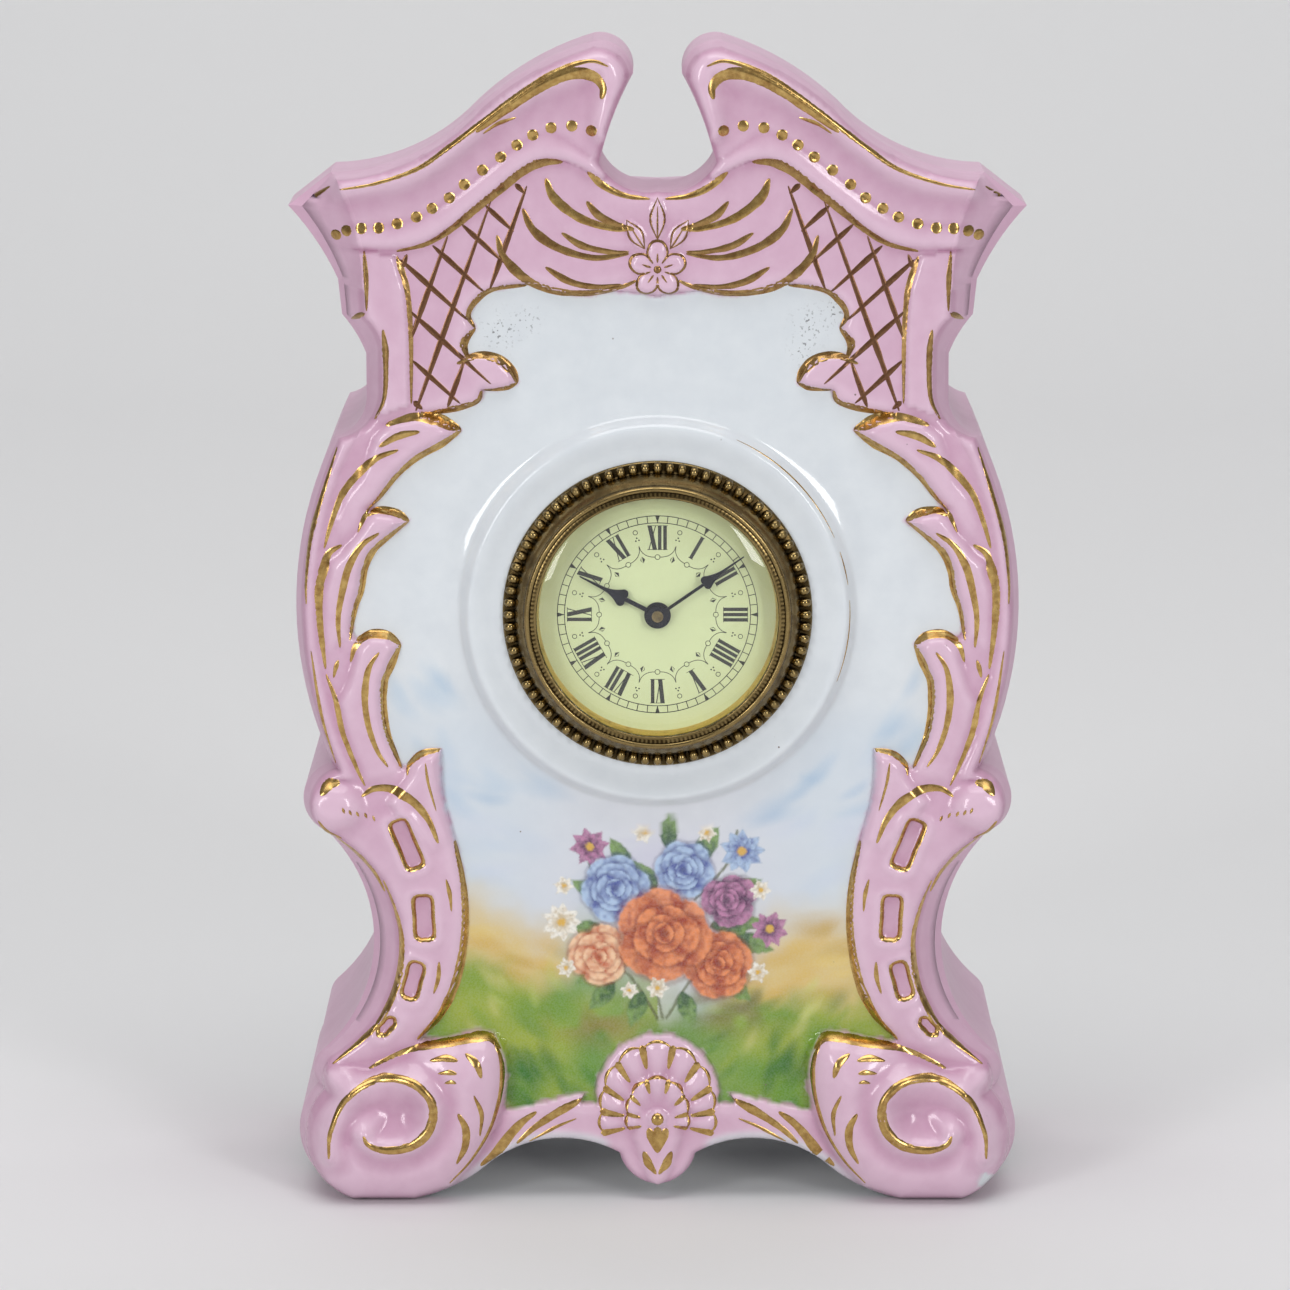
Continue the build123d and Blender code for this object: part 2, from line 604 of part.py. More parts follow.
CENTRE = (0.0, DIAL_Z)
BARREL = polar(CENTRE, (BARREL_TEETH + CENTRE_LEAVES) * BARREL_MODULE / 2, BARREL_DIRECTION)
THIRD = polar(CENTRE, (CENTRE_TEETH + THIRD_LEAVES) * CENTRE_MODULE / 2, THIRD_DIRECTION)
FOURTH = polar(THIRD, (THIRD_TEETH + FOURTH_LEAVES) * THIRD_MODULE / 2, FOURTH_DIRECTION)
ESCAPE = polar(FOURTH, (FOURTH_TEETH + ESCAPE_LEAVES) * FOURTH_MODULE / 2, ESCAPE_DIRECTION)
LEVER = polar(ESCAPE, LEVER_DISTANCE, LEVER_DIRECTION)
BALANCE = polar(LEVER, BALANCE_DISTANCE, BALANCE_DIRECTION)
MINUTE = polar(CENTRE, (CANNON_LEAVES + MINUTE_TEETH) * MOTION_MODULE / 2, MINUTE_DIRECTION)
CLICK = polar(BARREL, CLICK_DISTANCE, CLICK_DIRECTION)
PILLARS = [polar(CENTRE, PILLAR_CIRCLE, angle) for angle in PILLAR_ANGLES]
DIAL_PINS = [polar(CENTRE, DRUM_INNER - 6.4, angle) for angle in (60, 150, 330)]

# Levels between the plates, measured back from the front plate's rear face
BARREL_FLANGE = (1.2, 2.7)
BARREL_BOX = (2.7, 9.0)
BARREL_LID = (9.0, 9.5)
BARREL_WALL = 10.6 * TRAIN
CENTRE_LEVEL = (11.0, 11.8)
THIRD_LEVEL = (4.0, 4.8)
FOURTH_LEVEL = (8.0, 8.6)
ESCAPE_LEVEL = (3.1, 3.8)
LEVER_LEVEL = (2.0, 2.7)
RIM_LEVEL = (6.5, 8.5)
HAIRSPRING_LEVEL = (12.6, 13.4)
ROLLER_LEVEL = (3.2, 3.9)


def level(u):
    """Depth of a level between the plates."""
    return INSIDE_Y + u


def ring_disc(place, y0, y1, inner, outer):
    """Flat ring."""
    return rod(place, y0, y1, outer) - rod(place, y0 - 1, y1 + 1, inner)


# Bezel, glass, dial and hands

def make_bezel():
    """Turned brass rim: beaded edge, hollow band, polished roll and the spigot for the drum."""
    shoulder_y = GLASS_FRONT_Y + BEVEL_DEPTH
    return spun(profile_edges((BEZEL_RADIUS, BOSS_SEAT_Y), [
        ((BEZEL_RADIUS, BOSS_SEAT_Y - 0.7),),
        ((BEZEL_RADIUS - 0.65, BOSS_SEAT_Y - 2.1), (BEZEL_RADIUS - 2.25, BOSS_SEAT_Y - 1.7)),
        ((BEZEL_BORE + 2.6, FOOT_Y + 2.4), (BEZEL_BORE + 1.2, FOOT_Y + 1.0)),
        ((BEZEL_BORE + 0.4, FOOT_Y), (SIGHT_RADIUS + 0.9, FOOT_Y + 0.5)),
        ((SIGHT_RADIUS, shoulder_y - 0.7),),
        ((SIGHT_RADIUS, shoulder_y - 0.2),),
        ((BEZEL_BORE, shoulder_y),),
        ((BEZEL_BORE, BOSS_SEAT_Y),),
        ((SPIGOT_INNER, BOSS_SEAT_Y),),
        ((SPIGOT_INNER, SPIGOT_END_Y),),
        ((DRUM_INNER, SPIGOT_END_Y),),
        ((DRUM_INNER, BOSS_SEAT_Y),),
        ((BEZEL_RADIUS, BOSS_SEAT_Y),),
    ]))


def make_glass():
    """Flat glass with a wide bevel."""
    return spun(profile_edges((0, GLASS_BACK_Y), [
        ((0, GLASS_FRONT_Y),),
        ((GLASS_RADIUS - BEVEL_WIDTH, GLASS_FRONT_Y),),
        ((GLASS_RADIUS, GLASS_FRONT_Y + BEVEL_DEPTH),),
        ((GLASS_RADIUS, GLASS_BACK_Y),),
        ((0, GLASS_BACK_Y),),
    ]))


def make_sight_ring():
    """Conical ring between the glass and the dial."""
    return spun(profile_edges((GLASS_RADIUS, GLASS_BACK_Y), [
        ((SIGHT_RADIUS - 0.1, GLASS_BACK_Y),),
        ((SIGHT_RADIUS - 1.1, DIAL_FRONT_Y),),
        ((GLASS_RADIUS, DIAL_FRONT_Y),),
        ((GLASS_RADIUS, GLASS_BACK_Y),),
    ]))


def spade_hand(y, reach, stem, spade, half, hub, bore, angle):
    """Spade hand turned clockwise to its angle; spade has its foot, waist and neck as shares of the reach."""
    spade_low = reach * spade[0]
    spade_wide = reach * spade[1]
    spade_high = reach * spade[2]

    def up(x, r):
        return (x, DIAL_Z + r)
    blade = [
        (up(stem, spade_low),),
        (up(half * 1.05, spade_low + 0.3), up(half, spade_wide)),
        (up(half * 0.45, (spade_wide + spade_high) / 2), up(stem * 0.8, spade_high)),
        (up(0.12, reach),),
        (up(-0.12, reach),),
        (up(-stem * 0.8, spade_high),),
        (up(-half * 0.45, (spade_wide + spade_high) / 2), up(-half, spade_wide)),
        (up(-half * 1.05, spade_low + 0.3), up(-stem, spade_low)),
        (up(-stem, 0),),
        (up(stem, 0),),
    ]
    hand = push(Face(Wire(edges_through(y, up(stem, 0), blade))), HAND_THICKNESS)
    hand += rod(CENTRE, y, y + HAND_THICKNESS, hub)
    hand -= rod(CENTRE, y - 1, y + 2, bore)
    return hand.rotate(Axis((0, 0, DIAL_Z), (0, 1, 0)), angle)


# Build every piece

nodes = {}
# The case is cast as one. It is kept as a front, two side walls, a crown and a back that meet
# face to face, so that each wall can be handled and touched on its own
case = make_case()
wide = SIDE_REACH + 20
tall = CASE_TOP + 20
front_in = PANEL_Y + FRONT_WALL
back_in = BACK_Y - WALL
nodes["porcelain_front"] = cut_out(case, (-wide, FOOT_Y - 10, -10), (wide, front_in, tall))
nodes["porcelain_back"] = cut_out(case, (-wide, back_in, -10), (wide, BACK_Y + 10, tall))
nodes["porcelain_side_right"] = cut_out(case, (0, front_in, -10), (wide, back_in, CROWN_Z))
nodes["porcelain_side_left"] = cut_out(case, (-wide, front_in, -10), (0, back_in, CROWN_Z))
nodes["porcelain_crown"] = cut_out(case, (-wide, front_in, CROWN_Z), (wide, back_in, tall))
nodes["bezel_ring"] = make_bezel()
nodes["dial_glass"] = make_glass()
nodes["sight_ring"] = make_sight_ring()

dial_back = DIAL_FRONT_Y + DIAL_THICKNESS
nodes["dial"] = ring_disc(CENTRE, DIAL_FRONT_Y, dial_back, DIAL_HOLE, DIAL_RADIUS)
nodes["dial_feet"] = Compound([rod(pin, dial_back, INSIDE_Y, 0.7) for pin in DIAL_PINS])

HOUR_SPADE = (0.41, 0.49, 0.68)
MINUTE_SPADE = (0.53, 0.59, 0.76)
nodes["hour_hand"] = spade_hand(HOUR_HAND_Y, HOUR_REACH, 0.45, HOUR_SPADE, 1.6, 2.8, HOUR_PIPE - 0.5, HOUR_ANGLE)
nodes["minute_hand"] = spade_hand(MINUTE_HAND_Y, MINUTE_REACH, 0.32, MINUTE_SPADE, 1.25, 2.2, 1.0, MINUTE_ANGLE)
nodes["hand_nut"] = (turned(CENTRE, (MINUTE_HAND_Y - 0.6, MINUTE_HAND_Y, 1.2))
                     - rod(CENTRE, MINUTE_HAND_Y - 0.3, MINUTE_HAND_Y + 1, CENTRE_ARBOR))

# Drum
drum = ring_disc(CENTRE, BOSS_SEAT_Y, DRUM_END_Y, DRUM_INNER, DRUM_RADIUS)
screw_y = FRONT_PLATE_Y + PLATE / 2
drum_screws = []
for angle in (0, 120, 240):
    tap = Pos(0, screw_y, DIAL_Z) * Rot(0, -angle, 0) * Rot(0, 90, 0)
    outwards = (Align.CENTER, Align.CENTER, Align.MIN)
    shank = tap * Pos(0, 0, DRUM_RADIUS - 2.6) * Cylinder(0.45, 2.6, align=outwards)
    head = tap * Pos(0, 0, DRUM_RADIUS) * Cylinder(0.9, 0.45, align=outwards)
    drum_screws.append((shank, head))
for shank, head in drum_screws:
    drum -= shank
nodes["drum_shell"] = drum

cover_y = DRUM_END_Y
cover = rod(CENTRE, cover_y, cover_y + COVER_THICKNESS, DRUM_RADIUS)
cover += ring_disc(CENTRE, cover_y - 2.5, cover_y, DRUM_INNER - 0.8, DRUM_INNER)
cover -= rod(CENTRE, cover_y - 1, cover_y + 2, 1.4)
cover -= rod(BARREL, cover_y - 1, cover_y + 2, 3.6)


def arc_slot(place, reach, width, middle, half, y0, y1):
    """Curved slot about a centre, for cutting away."""
    inner = reach - width / 2
    outer = reach + width / 2
    a0 = middle - half
    a1 = middle + half
    steps = [
        (polar(place, outer, a0),),
        (polar(place, outer, middle), polar(place, outer, a1)),
        (polar(place, inner, a1),),
        (polar(place, inner, middle), polar(place, inner, a0)),
    ]
    return push(Face(Wire(edges_through(y0, polar(place, inner, a0), steps))), y1 - y0)


cover -= arc_slot(BALANCE, REGULATOR_REACH, 2.2, REGULATOR_DIRECTION, REGULATOR_SWING + 9,
                  cover_y - 1, cover_y + 2)
nodes["drum_back_cover"] = cover

# Clamping collar behind the porcelain
collar_y = PANEL_Y + FRONT_WALL
collar = ring_disc(CENTRE, collar_y, collar_y + COLLAR_LENGTH, DRUM_RADIUS, COLLAR_RADIUS)
lug_z = DIAL_Z - COLLAR_RADIUS - 2.0
for hand in (1, -1):
    collar += Pos(hand * 2.6, collar_y + COLLAR_LENGTH / 2, lug_z) * Box(2.2, COLLAR_LENGTH, 7.0)
split = Box(3.0, COLLAR_LENGTH + 2, 14.0)
collar -= Pos(0, collar_y + COLLAR_LENGTH / 2, DIAL_Z - COLLAR_RADIUS + 1.0) * split
screw_line = Pos(0, collar_y + COLLAR_LENGTH / 2, lug_z - 1.0) * Rot(0, 90, 0)
collar -= screw_line * Cylinder(0.8, 20)
nodes["retaining_collar"] = collar
collar_screw = screw_line * Pos(0, 0, 0.4) * Cylinder(0.8, 9.0)
collar_screw += screw_line * Pos(0, 0, 4.7) * Cylinder(1.6, 2.0)
collar_screw -= screw_line * Pos(0, 0, 5.6) * Box(0.5, 4.0, 0.8)
nodes["collar_screw"] = collar_screw

# Plates and pillars
front_plate = rod(CENTRE, FRONT_PLATE_Y, INSIDE_Y, DRUM_INNER)
back_plate = rod(CENTRE, BACK_PLATE_Y, OUTSIDE_Y, BACK_PLATE_RADIUS)


def drill(plate, place, radius):
    """Drill a hole through either plate."""
    return plate - rod(place, FRONT_PLATE_Y - 5, OUTSIDE_Y + 5, radius)


for pivot in (THIRD, FOURTH, ESCAPE, LEVER):
    front_plate = drill(front_plate, pivot, PIVOT + RUNNING)
    back_plate = drill(back_plate, pivot, PIVOT + RUNNING)
front_plate = drill(front_plate, CENTRE, CENTRE_ARBOR + RUNNING)
back_plate = drill(back_plate, CENTRE, CENTRE_ARBOR + RUNNING)
front_plate = drill(front_plate, BARREL, 1.0 + RUNNING)
back_plate = drill(back_plate, BARREL, 1.9 + RUNNING)
CUP_SCREW = 1.5
front_plate = drill(front_plate, BALANCE, CUP_SCREW)
back_plate = drill(back_plate, BALANCE, CUP_SCREW)
for pillar in PILLARS:
    front_plate = drill(front_plate, pillar, PILLAR_SPIGOT)
    back_plate = drill(back_plate, pillar, PILLAR_SPIGOT)
for pin in DIAL_PINS:
    front_plate = drill(front_plate, pin, 0.7)
for shank, head in drum_screws:
    front_plate -= shank
STUD_RADIUS = 0.7
front_plate = drill(front_plate, MINUTE, STUD_RADIUS)
back_plate = drill(back_plate, CLICK, 0.6)
CURB_REACH = HAIRSPRING_OUTER - 0.11       # radius of the outer turn between the curb pins
CURB_PIN = 0.15
CURB_OFFSET = 0.34
back_plate -= arc_slot(BALANCE, CURB_REACH, 2.0, REGULATOR_DIRECTION, REGULATOR_SWING + 12,
                       BACK_PLATE_Y - 1, OUTSIDE_Y + 1)
nodes["front_plate"] = front_plate
nodes["back_plate"] = back_plate
nodes["drum_screws"] = Compound([shank + head for shank, head in drum_screws])
NUT_Y = OUTSIDE_Y
nodes["plate_pillars"] = Compound([
    turned(p, (FRONT_PLATE_Y, INSIDE_Y, PILLAR_SPIGOT), (INSIDE_Y, BACK_PLATE_Y, PILLAR_RADIUS),
           (BACK_PLATE_Y, NUT_Y + 1.8, PILLAR_SPIGOT)) for p in PILLARS])
nuts = []
for p in PILLARS:
    hexagon = polygon([polar(p, 1.9, 60 * k) for k in range(6)], NUT_Y)
    nuts.append(push(hexagon, 1.4) - rod(p, NUT_Y - 1, NUT_Y + 3, PILLAR_SPIGOT))
nodes["pillar_nuts"] = Compound(nuts)

# Going barrel and winding work
centre_pinion_phase = BARREL_DIRECTION
barrel_phase = meshing_phase(centre_pinion_phase, CENTRE_LEAVES, BARREL_TEETH, BARREL_DIRECTION)
BARREL_BORE = 1.6 + RUNNING
BARREL_DRUM = 0.6           # wall of the barrel
SPRING_STRIP = 0.3
SPRING_TURNS = 7.0
SPRING_INNER = 3.1
SPRING_OUTER = BARREL_WALL - BARREL_DRUM - 0.16
barrel = toothed(BARREL, wheel_rows(BARREL_TEETH, BARREL_MODULE), BARREL_TEETH, barrel_phase,
                 level(BARREL_FLANGE[0]), level(BARREL_FLANGE[1]))
barrel += ring_disc(BARREL, level(BARREL_BOX[0]), level(BARREL_BOX[1]),
                    BARREL_WALL - BARREL_DRUM, BARREL_WALL)
barrel -= rod(BARREL, level(0), level(BARREL_BOX[1]), BARREL_BORE)
nodes["barrel"] = barrel
nodes["barrel_cover"] = ring_disc(BARREL, level(BARREL_LID[0]), level(BARREL_LID[1]),
                                  BARREL_BORE, BARREL_WALL)
nodes["mainspring"] = flat_spiral(BARREL, SPRING_INNER, SPRING_OUTER, SPRING_TURNS, SPRING_STRIP, 40.0,
                                  level(BARREL_BOX[0] + 0.3), level(BARREL_BOX[1] - 0.3))
winding_arbor = turned(
    BARREL,
    (FRONT_PLATE_Y + 0.1, level(0.2), 1.0),
    (level(0.2), level(3.0), 1.6),
    (level(3.0), level(8.7), 2.5),
    (level(8.7), level(9.8), 1.6),
    (level(9.8), level(13.0), 1.3),
    (level(13.0), OUTSIDE_Y + 0.3, 1.9),
)
WINDING_END_Y = KNOB_Y + SQUARE_REACH
square_length = WINDING_END_Y - OUTSIDE_Y
winding_arbor += (Pos(BARREL[0], OUTSIDE_Y + square_length / 2, BARREL[1])
                  * Box(WINDING_SQUARE, square_length, WINDING_SQUARE))
nodes["winding_arbor"] = winding_arbor

# Click: its beak lies on a tangent of the ratchet's tip circle
beak_radius = RATCHET_RADIUS + CLICK_LIFT
beak_turn = degrees(acos(beak_radius / CLICK_DISTANCE))
BEAK = polar(BARREL, beak_radius, CLICK_DIRECTION + beak_turn)
beak_length = hypot(BEAK[0] - CLICK[0], BEAK[1] - CLICK[1])
beak_angle = degrees(atan2(BEAK[1] - CLICK[1], BEAK[0] - CLICK[0]))
HOME = polar(CLICK, beak_length, beak_angle + CLICK_DROP)
home_angle = degrees(atan2(HOME[1] - BARREL[1], HOME[0] - BARREL[0]))
ratchet_phase = home_angle + 2.0
ratchet_points = []
for k in range(RATCHET_TEETH):
    tip = ratchet_phase + 360.0 * k / RATCHET_TEETH
    ratchet_points.append(polar(BARREL, RATCHET_RADIUS - RATCHET_DEPTH, tip))
    ratchet_points.append(polar(BARREL, RATCHET_RADIUS, tip))
RATCHET_Y = OUTSIDE_Y + 0.4
CLICK_Y = RATCHET_Y
ratchet = push(polygon(ratchet_points, RATCHET_Y), 1.0)
ratchet -= Pos(BARREL[0], RATCHET_Y, BARREL[1]) * Box(WINDING_SQUARE, 4, WINDING_SQUARE)
nodes["ratchet_wheel"] = ratchet


def on_click(along, out):
    """Point of the click: along its beak line and out from the ratchet."""
    x, z = polar(CLICK, along, beak_angle)
    return polar((x, z), out, beak_angle - 90)


click = push(polygon([on_click(beak_length, 0), on_click(beak_length, 1.7), on_click(beak_length - 1.2, 2.2),
                      on_click(0, 1.6), on_click(-1.0, 0.8), on_click(0, -0.6), on_click(1.6, 0.7),
                      on_click(beak_length - 0.9, 0.9)], CLICK_Y), 0.9)
click += rod(CLICK, CLICK_Y, CLICK_Y + 0.9, 1.7)
CLICK_SHOULDER = 0.9
click -= rod(CLICK, CLICK_Y - 1, CLICK_Y + 2, CLICK_SHOULDER + RUNNING)
nodes["click"] = click
nodes["click_screw"] = turned(CLICK, (BACK_PLATE_Y, OUTSIDE_Y, 0.6),
                              (OUTSIDE_Y, CLICK_Y + 1.2, CLICK_SHOULDER),
                              (CLICK_Y + 1.2, CLICK_Y + 1.9, 1.5))
spring_foot = on_click(-1.6, 5.0)
spring_tip = on_click(4.2, 2.75)
spring = bar_between(spring_foot, spring_tip, 0.3, CLICK_Y, CLICK_Y + 0.7)
spring += rod(spring_foot, OUTSIDE_Y, CLICK_Y + 0.7, 0.8)
nodes["click_spring"] = spring

# Butterfly key on the winding square
KEY_Y = KNOB_Y
SLEEVE_END_Y = KEY_Y + SLEEVE_LENGTH
LOOP_Y = SLEEVE_END_Y + 4.4
key = rod(BARREL, KEY_Y, SLEEVE_END_Y, SLEEVE_RADIUS)
wings = []
for hand in (1, -1):
    loop = Pos(hand * LOOP_OUT, LOOP_Y, 0) * Cylinder(LOOP_RADIUS, LOOP_THICKNESS)
    loop -= Pos(hand * (LOOP_OUT + 0.6), LOOP_Y, 0) * Cylinder(LOOP_EYE, 2 * LOOP_THICKNESS)
    wings.append(loop)
blade = wings[0] + wings[1] + Pos(0, SLEEVE_END_Y + 1.6, 0) * Box(2 * SLEEVE_RADIUS, 8.0, LOOP_THICKNESS)
key += Pos(BARREL[0], 0, BARREL[1]) * blade
key -= (Pos(BARREL[0], (KEY_Y + WINDING_END_Y) / 2, BARREL[1])
        * Box(WINDING_SQUARE, WINDING_END_Y - KEY_Y, WINDING_SQUARE))
nodes["winding_key"] = key

# Centre arbor, its wheel and friction drive, and the setting knob
centre_arbor = rod(CENTRE, MINUTE_HAND_Y - 0.3, KNOB_END_Y - KNOB_BLIND, CENTRE_ARBOR)
centre_arbor += toothed(CENTRE, pinion_rows(CENTRE_LEAVES, BARREL_MODULE), CENTRE_LEAVES, centre_pinion_phase,
                        level(0.8), level(3.1))
centre_arbor += rod(CENTRE, level(9.6), level(10.2), 2.0)
nodes["centre_arbor"] = centre_arbor
centre_phase = 0.0
centre_rim = CENTRE_TEETH * CENTRE_MODULE / 2 - 2.4
centre_wheel = toothed(CENTRE, wheel_rows(CENTRE_TEETH, CENTRE_MODULE), CENTRE_TEETH, centre_phase,
                       level(CENTRE_LEVEL[0]), level(CENTRE_LEVEL[1]))
for window in crossings(CENTRE, 3.4, centre_rim, 4, 1.6, level(10), level(13)):
    centre_wheel -= window
centre_wheel -= rod(CENTRE, level(10), level(13), CENTRE_ARBOR)
nodes["centre_wheel"] = centre_wheel
clutch = turned(CENTRE, (level(10.2), level(10.5), 2.6), (level(10.5), level(11.0), 1.6))
nodes["clutch_spring"] = clutch - rod(CENTRE, level(10), level(12), CENTRE_ARBOR)
knob = toothed(CENTRE, [(KNOB_RADIUS - 0.4, 0.42), (KNOB_RADIUS, 0.24)], 24, 0.0, KNOB_Y, KNOB_END_Y)
knob -= rod(CENTRE, KNOB_Y - 1, KNOB_END_Y - KNOB_BLIND, CENTRE_ARBOR)
nodes["setting_knob"] = knob

# Motion work under the dial
CANNON_LEVEL_Y = (FRONT_PLATE_Y - 1.5, FRONT_PLATE_Y - 0.4)
MINUTE_LEVEL_Y = (FRONT_PLATE_Y - 1.4, FRONT_PLATE_Y - 0.6)
HOUR_LEVEL_Y = (FRONT_PLATE_Y - 2.9, FRONT_PLATE_Y - 2.1)
cannon_phase = MINUTE_DIRECTION
cannon = toothed(CENTRE, pinion_rows(CANNON_LEAVES, MOTION_MODULE), CANNON_LEAVES, cannon_phase,
                 *CANNON_LEVEL_Y)
cannon += rod(CENTRE, MINUTE_HAND_Y + HAND_THICKNESS, CANNON_LEVEL_Y[1], CANNON_PIPE)
cannon += rod(CENTRE, MINUTE_HAND_Y, MINUTE_HAND_Y + HAND_THICKNESS, 1.0)
cannon -= rod(CENTRE, MINUTE_HAND_Y - 1, FRONT_PLATE_Y, CENTRE_ARBOR)
nodes["cannon_pinion"] = cannon
minute_phase = meshing_phase(cannon_phase, CANNON_LEAVES, MINUTE_TEETH, MINUTE_DIRECTION)
minute_wheel = toothed(MINUTE, wheel_rows(MINUTE_TEETH, MOTION_MODULE), MINUTE_TEETH, minute_phase,
                       *MINUTE_LEVEL_Y)
minute_pinion_phase = MINUTE_DIRECTION + 180.0
minute_wheel += toothed(MINUTE, pinion_rows(MINUTE_LEAVES, MOTION_MODULE), MINUTE_LEAVES, minute_pinion_phase,
                        HOUR_LEVEL_Y[0] - 0.2, MINUTE_LEVEL_Y[0])
minute_wheel -= rod(MINUTE, FRONT_PLATE_Y - 6, FRONT_PLATE_Y, STUD_RADIUS + RUNNING)
nodes["minute_wheel"] = minute_wheel
nodes["minute_stud"] = turned(MINUTE, (HOUR_LEVEL_Y[0] - 0.7, HOUR_LEVEL_Y[0] - 0.3, 1.1),
                              (HOUR_LEVEL_Y[0] - 0.3, INSIDE_Y, STUD_RADIUS))
hour_phase = meshing_phase(minute_pinion_phase, MINUTE_LEAVES, HOUR_TEETH, MINUTE_DIRECTION + 180.0)
hour_wheel = toothed(CENTRE, wheel_rows(HOUR_TEETH, MOTION_MODULE), HOUR_TEETH, hour_phase, *HOUR_LEVEL_Y)
hour_wheel += rod(CENTRE, HOUR_HAND_Y + HAND_THICKNESS, HOUR_LEVEL_Y[1], HOUR_PIPE)
hour_wheel += rod(CENTRE, HOUR_HAND_Y, HOUR_HAND_Y + HAND_THICKNESS, HOUR_PIPE - 0.5)
hour_wheel -= rod(CENTRE, HOUR_HAND_Y - 1, FRONT_PLATE_Y, CANNON_PIPE + RUNNING)
nodes["hour_wheel"] = hour_wheel


def train_arbor(place, rows, leaves, phase, pinion_level, seat):
    """Arbor with pivots at both ends, a cut pinion and a seat for its wheel."""
    arbor = turned(place, (FRONT_PLATE_Y + 0.1, level(ENDSHAKE), PIVOT),
                   (level(ENDSHAKE), level(PLATE_GAP - ENDSHAKE), ARBOR),
                   (level(PLATE_GAP - ENDSHAKE), OUTSIDE_Y, PIVOT))
    arbor += toothed(place, rows, leaves, phase, level(pinion_level[0]), level(pinion_level[1]))
    arbor += rod(place, level(seat[0]), level(seat[1]), 1.4)
    return arbor


def crossed_wheel(place, teeth, module, phase, span):
    """Crossed-out train wheel with four arms."""
    wheel = toothed(place, wheel_rows(teeth, module), teeth, phase, level(span[0]), level(span[1]))
    rim = teeth * module / 2 - 2.3
    for window in crossings(place, 2.8, rim, 4, 1.4, level(span[0] - 1), level(span[1] + 1), 45.0):
        wheel -= window
    return wheel - rod(place, level(span[0] - 1), level(span[1] + 1), ARBOR)


third_pinion_phase = meshing_phase(centre_phase, CENTRE_TEETH, THIRD_LEAVES, THIRD_DIRECTION)
nodes["third_arbor"] = train_arbor(THIRD, pinion_rows(THIRD_LEAVES, CENTRE_MODULE), THIRD_LEAVES,
                                   third_pinion_phase, (10.5, 12.3), (THIRD_LEVEL[1], THIRD_LEVEL[1] + 0.8))
third_phase = FOURTH_DIRECTION
nodes["third_wheel"] = crossed_wheel(THIRD, THIRD_TEETH, THIRD_MODULE, third_phase, THIRD_LEVEL)
fourth_pinion_phase = meshing_phase(third_phase, THIRD_TEETH, FOURTH_LEAVES, FOURTH_DIRECTION)
nodes["fourth_arbor"] = train_arbor(FOURTH, pinion_rows(FOURTH_LEAVES, THIRD_MODULE), FOURTH_LEAVES,
                                    fourth_pinion_phase, (3.5, 5.3), (FOURTH_LEVEL[1], FOURTH_LEVEL[1] + 0.8))
fourth_phase = ESCAPE_DIRECTION
nodes["fourth_wheel"] = crossed_wheel(FOURTH, FOURTH_TEETH, FOURTH_MODULE, fourth_phase, FOURTH_LEVEL)
escape_pinion_phase = meshing_phase(fourth_phase, FOURTH_TEETH, ESCAPE_LEAVES, ESCAPE_DIRECTION)
nodes["escape_arbor"] = train_arbor(ESCAPE, pinion_rows(ESCAPE_LEAVES, FOURTH_MODULE), ESCAPE_LEAVES,
                                    escape_pinion_phase, (7.5, 9.1), (ESCAPE_LEVEL[1], ESCAPE_LEVEL[1] + 0.8))
ESCAPE_ROOT = ESCAPE_RADIUS - 1.4 * TRAIN
escape_points = []
for k in range(ESCAPE_TEETH):
    tip = LEVER_DIRECTION + 360.0 * k / ESCAPE_TEETH
    escape_points.append(polar(ESCAPE, ESCAPE_ROOT, tip - 5.0))
    escape_points.append(polar(ESCAPE, ESCAPE_RADIUS, tip - 1.4))
    escape_points.append(polar(ESCAPE, ESCAPE_RADIUS, tip + 1.4))
    escape_points.append(polar(ESCAPE, ESCAPE_ROOT, tip + 3.0))
escape_wheel = push(polygon(escape_points, level(ESCAPE_LEVEL[0])), ESCAPE_LEVEL[1] - ESCAPE_LEVEL[0])
for window in crossings(ESCAPE, 1.9 * TRAIN, ESCAPE_ROOT - 0.8 * TRAIN, 4, 0.9, level(2), level(5)):
    escape_wheel -= window
nodes["escape_wheel"] = escape_wheel - rod(ESCAPE, level(2), level(5), ARBOR)

# Pin-pallet lever
to_escape = LEVER_DIRECTION + 180.0
lever = rod(LEVER, level(LEVER_LEVEL[0]), level(LEVER_LEVEL[1]), 1.5)
pallets = [polar(LEVER, PALLET_REACH, to_escape + hand * PALLET_SPREAD) for hand in (1, -1)]
for pallet in pallets:
    lever += bar_between(LEVER, pallet, 1.0, level(LEVER_LEVEL[0]), level(LEVER_LEVEL[1]))
    lever += rod(pallet, level(LEVER_LEVEL[0]), level(LEVER_LEVEL[1]), 0.7)
    lever += rod(pallet, level(LEVER_LEVEL[0]), level(ESCAPE_LEVEL[1] + 0.4), PALLET_PIN)
fork_end = polar(LEVER, BALANCE_DISTANCE - 1.45 * TRAIN, BALANCE_DIRECTION)
lever += bar_between(LEVER, fork_end, 2.6, level(LEVER_LEVEL[0]), level(LEVER_LEVEL[1]))
notch_half = IMPULSE_PIN + NOTCH_PLAY
notch_foot = polar(LEVER, BALANCE_DISTANCE - 2.85 * TRAIN, BALANCE_DIRECTION)
notch_out = polar(LEVER, BALANCE_DISTANCE - 0.45 * TRAIN, BALANCE_DIRECTION)
lever -= bar_between(notch_foot, notch_out, 2 * notch_half,
                     level(LEVER_LEVEL[0] - 1), level(LEVER_LEVEL[1] + 1))
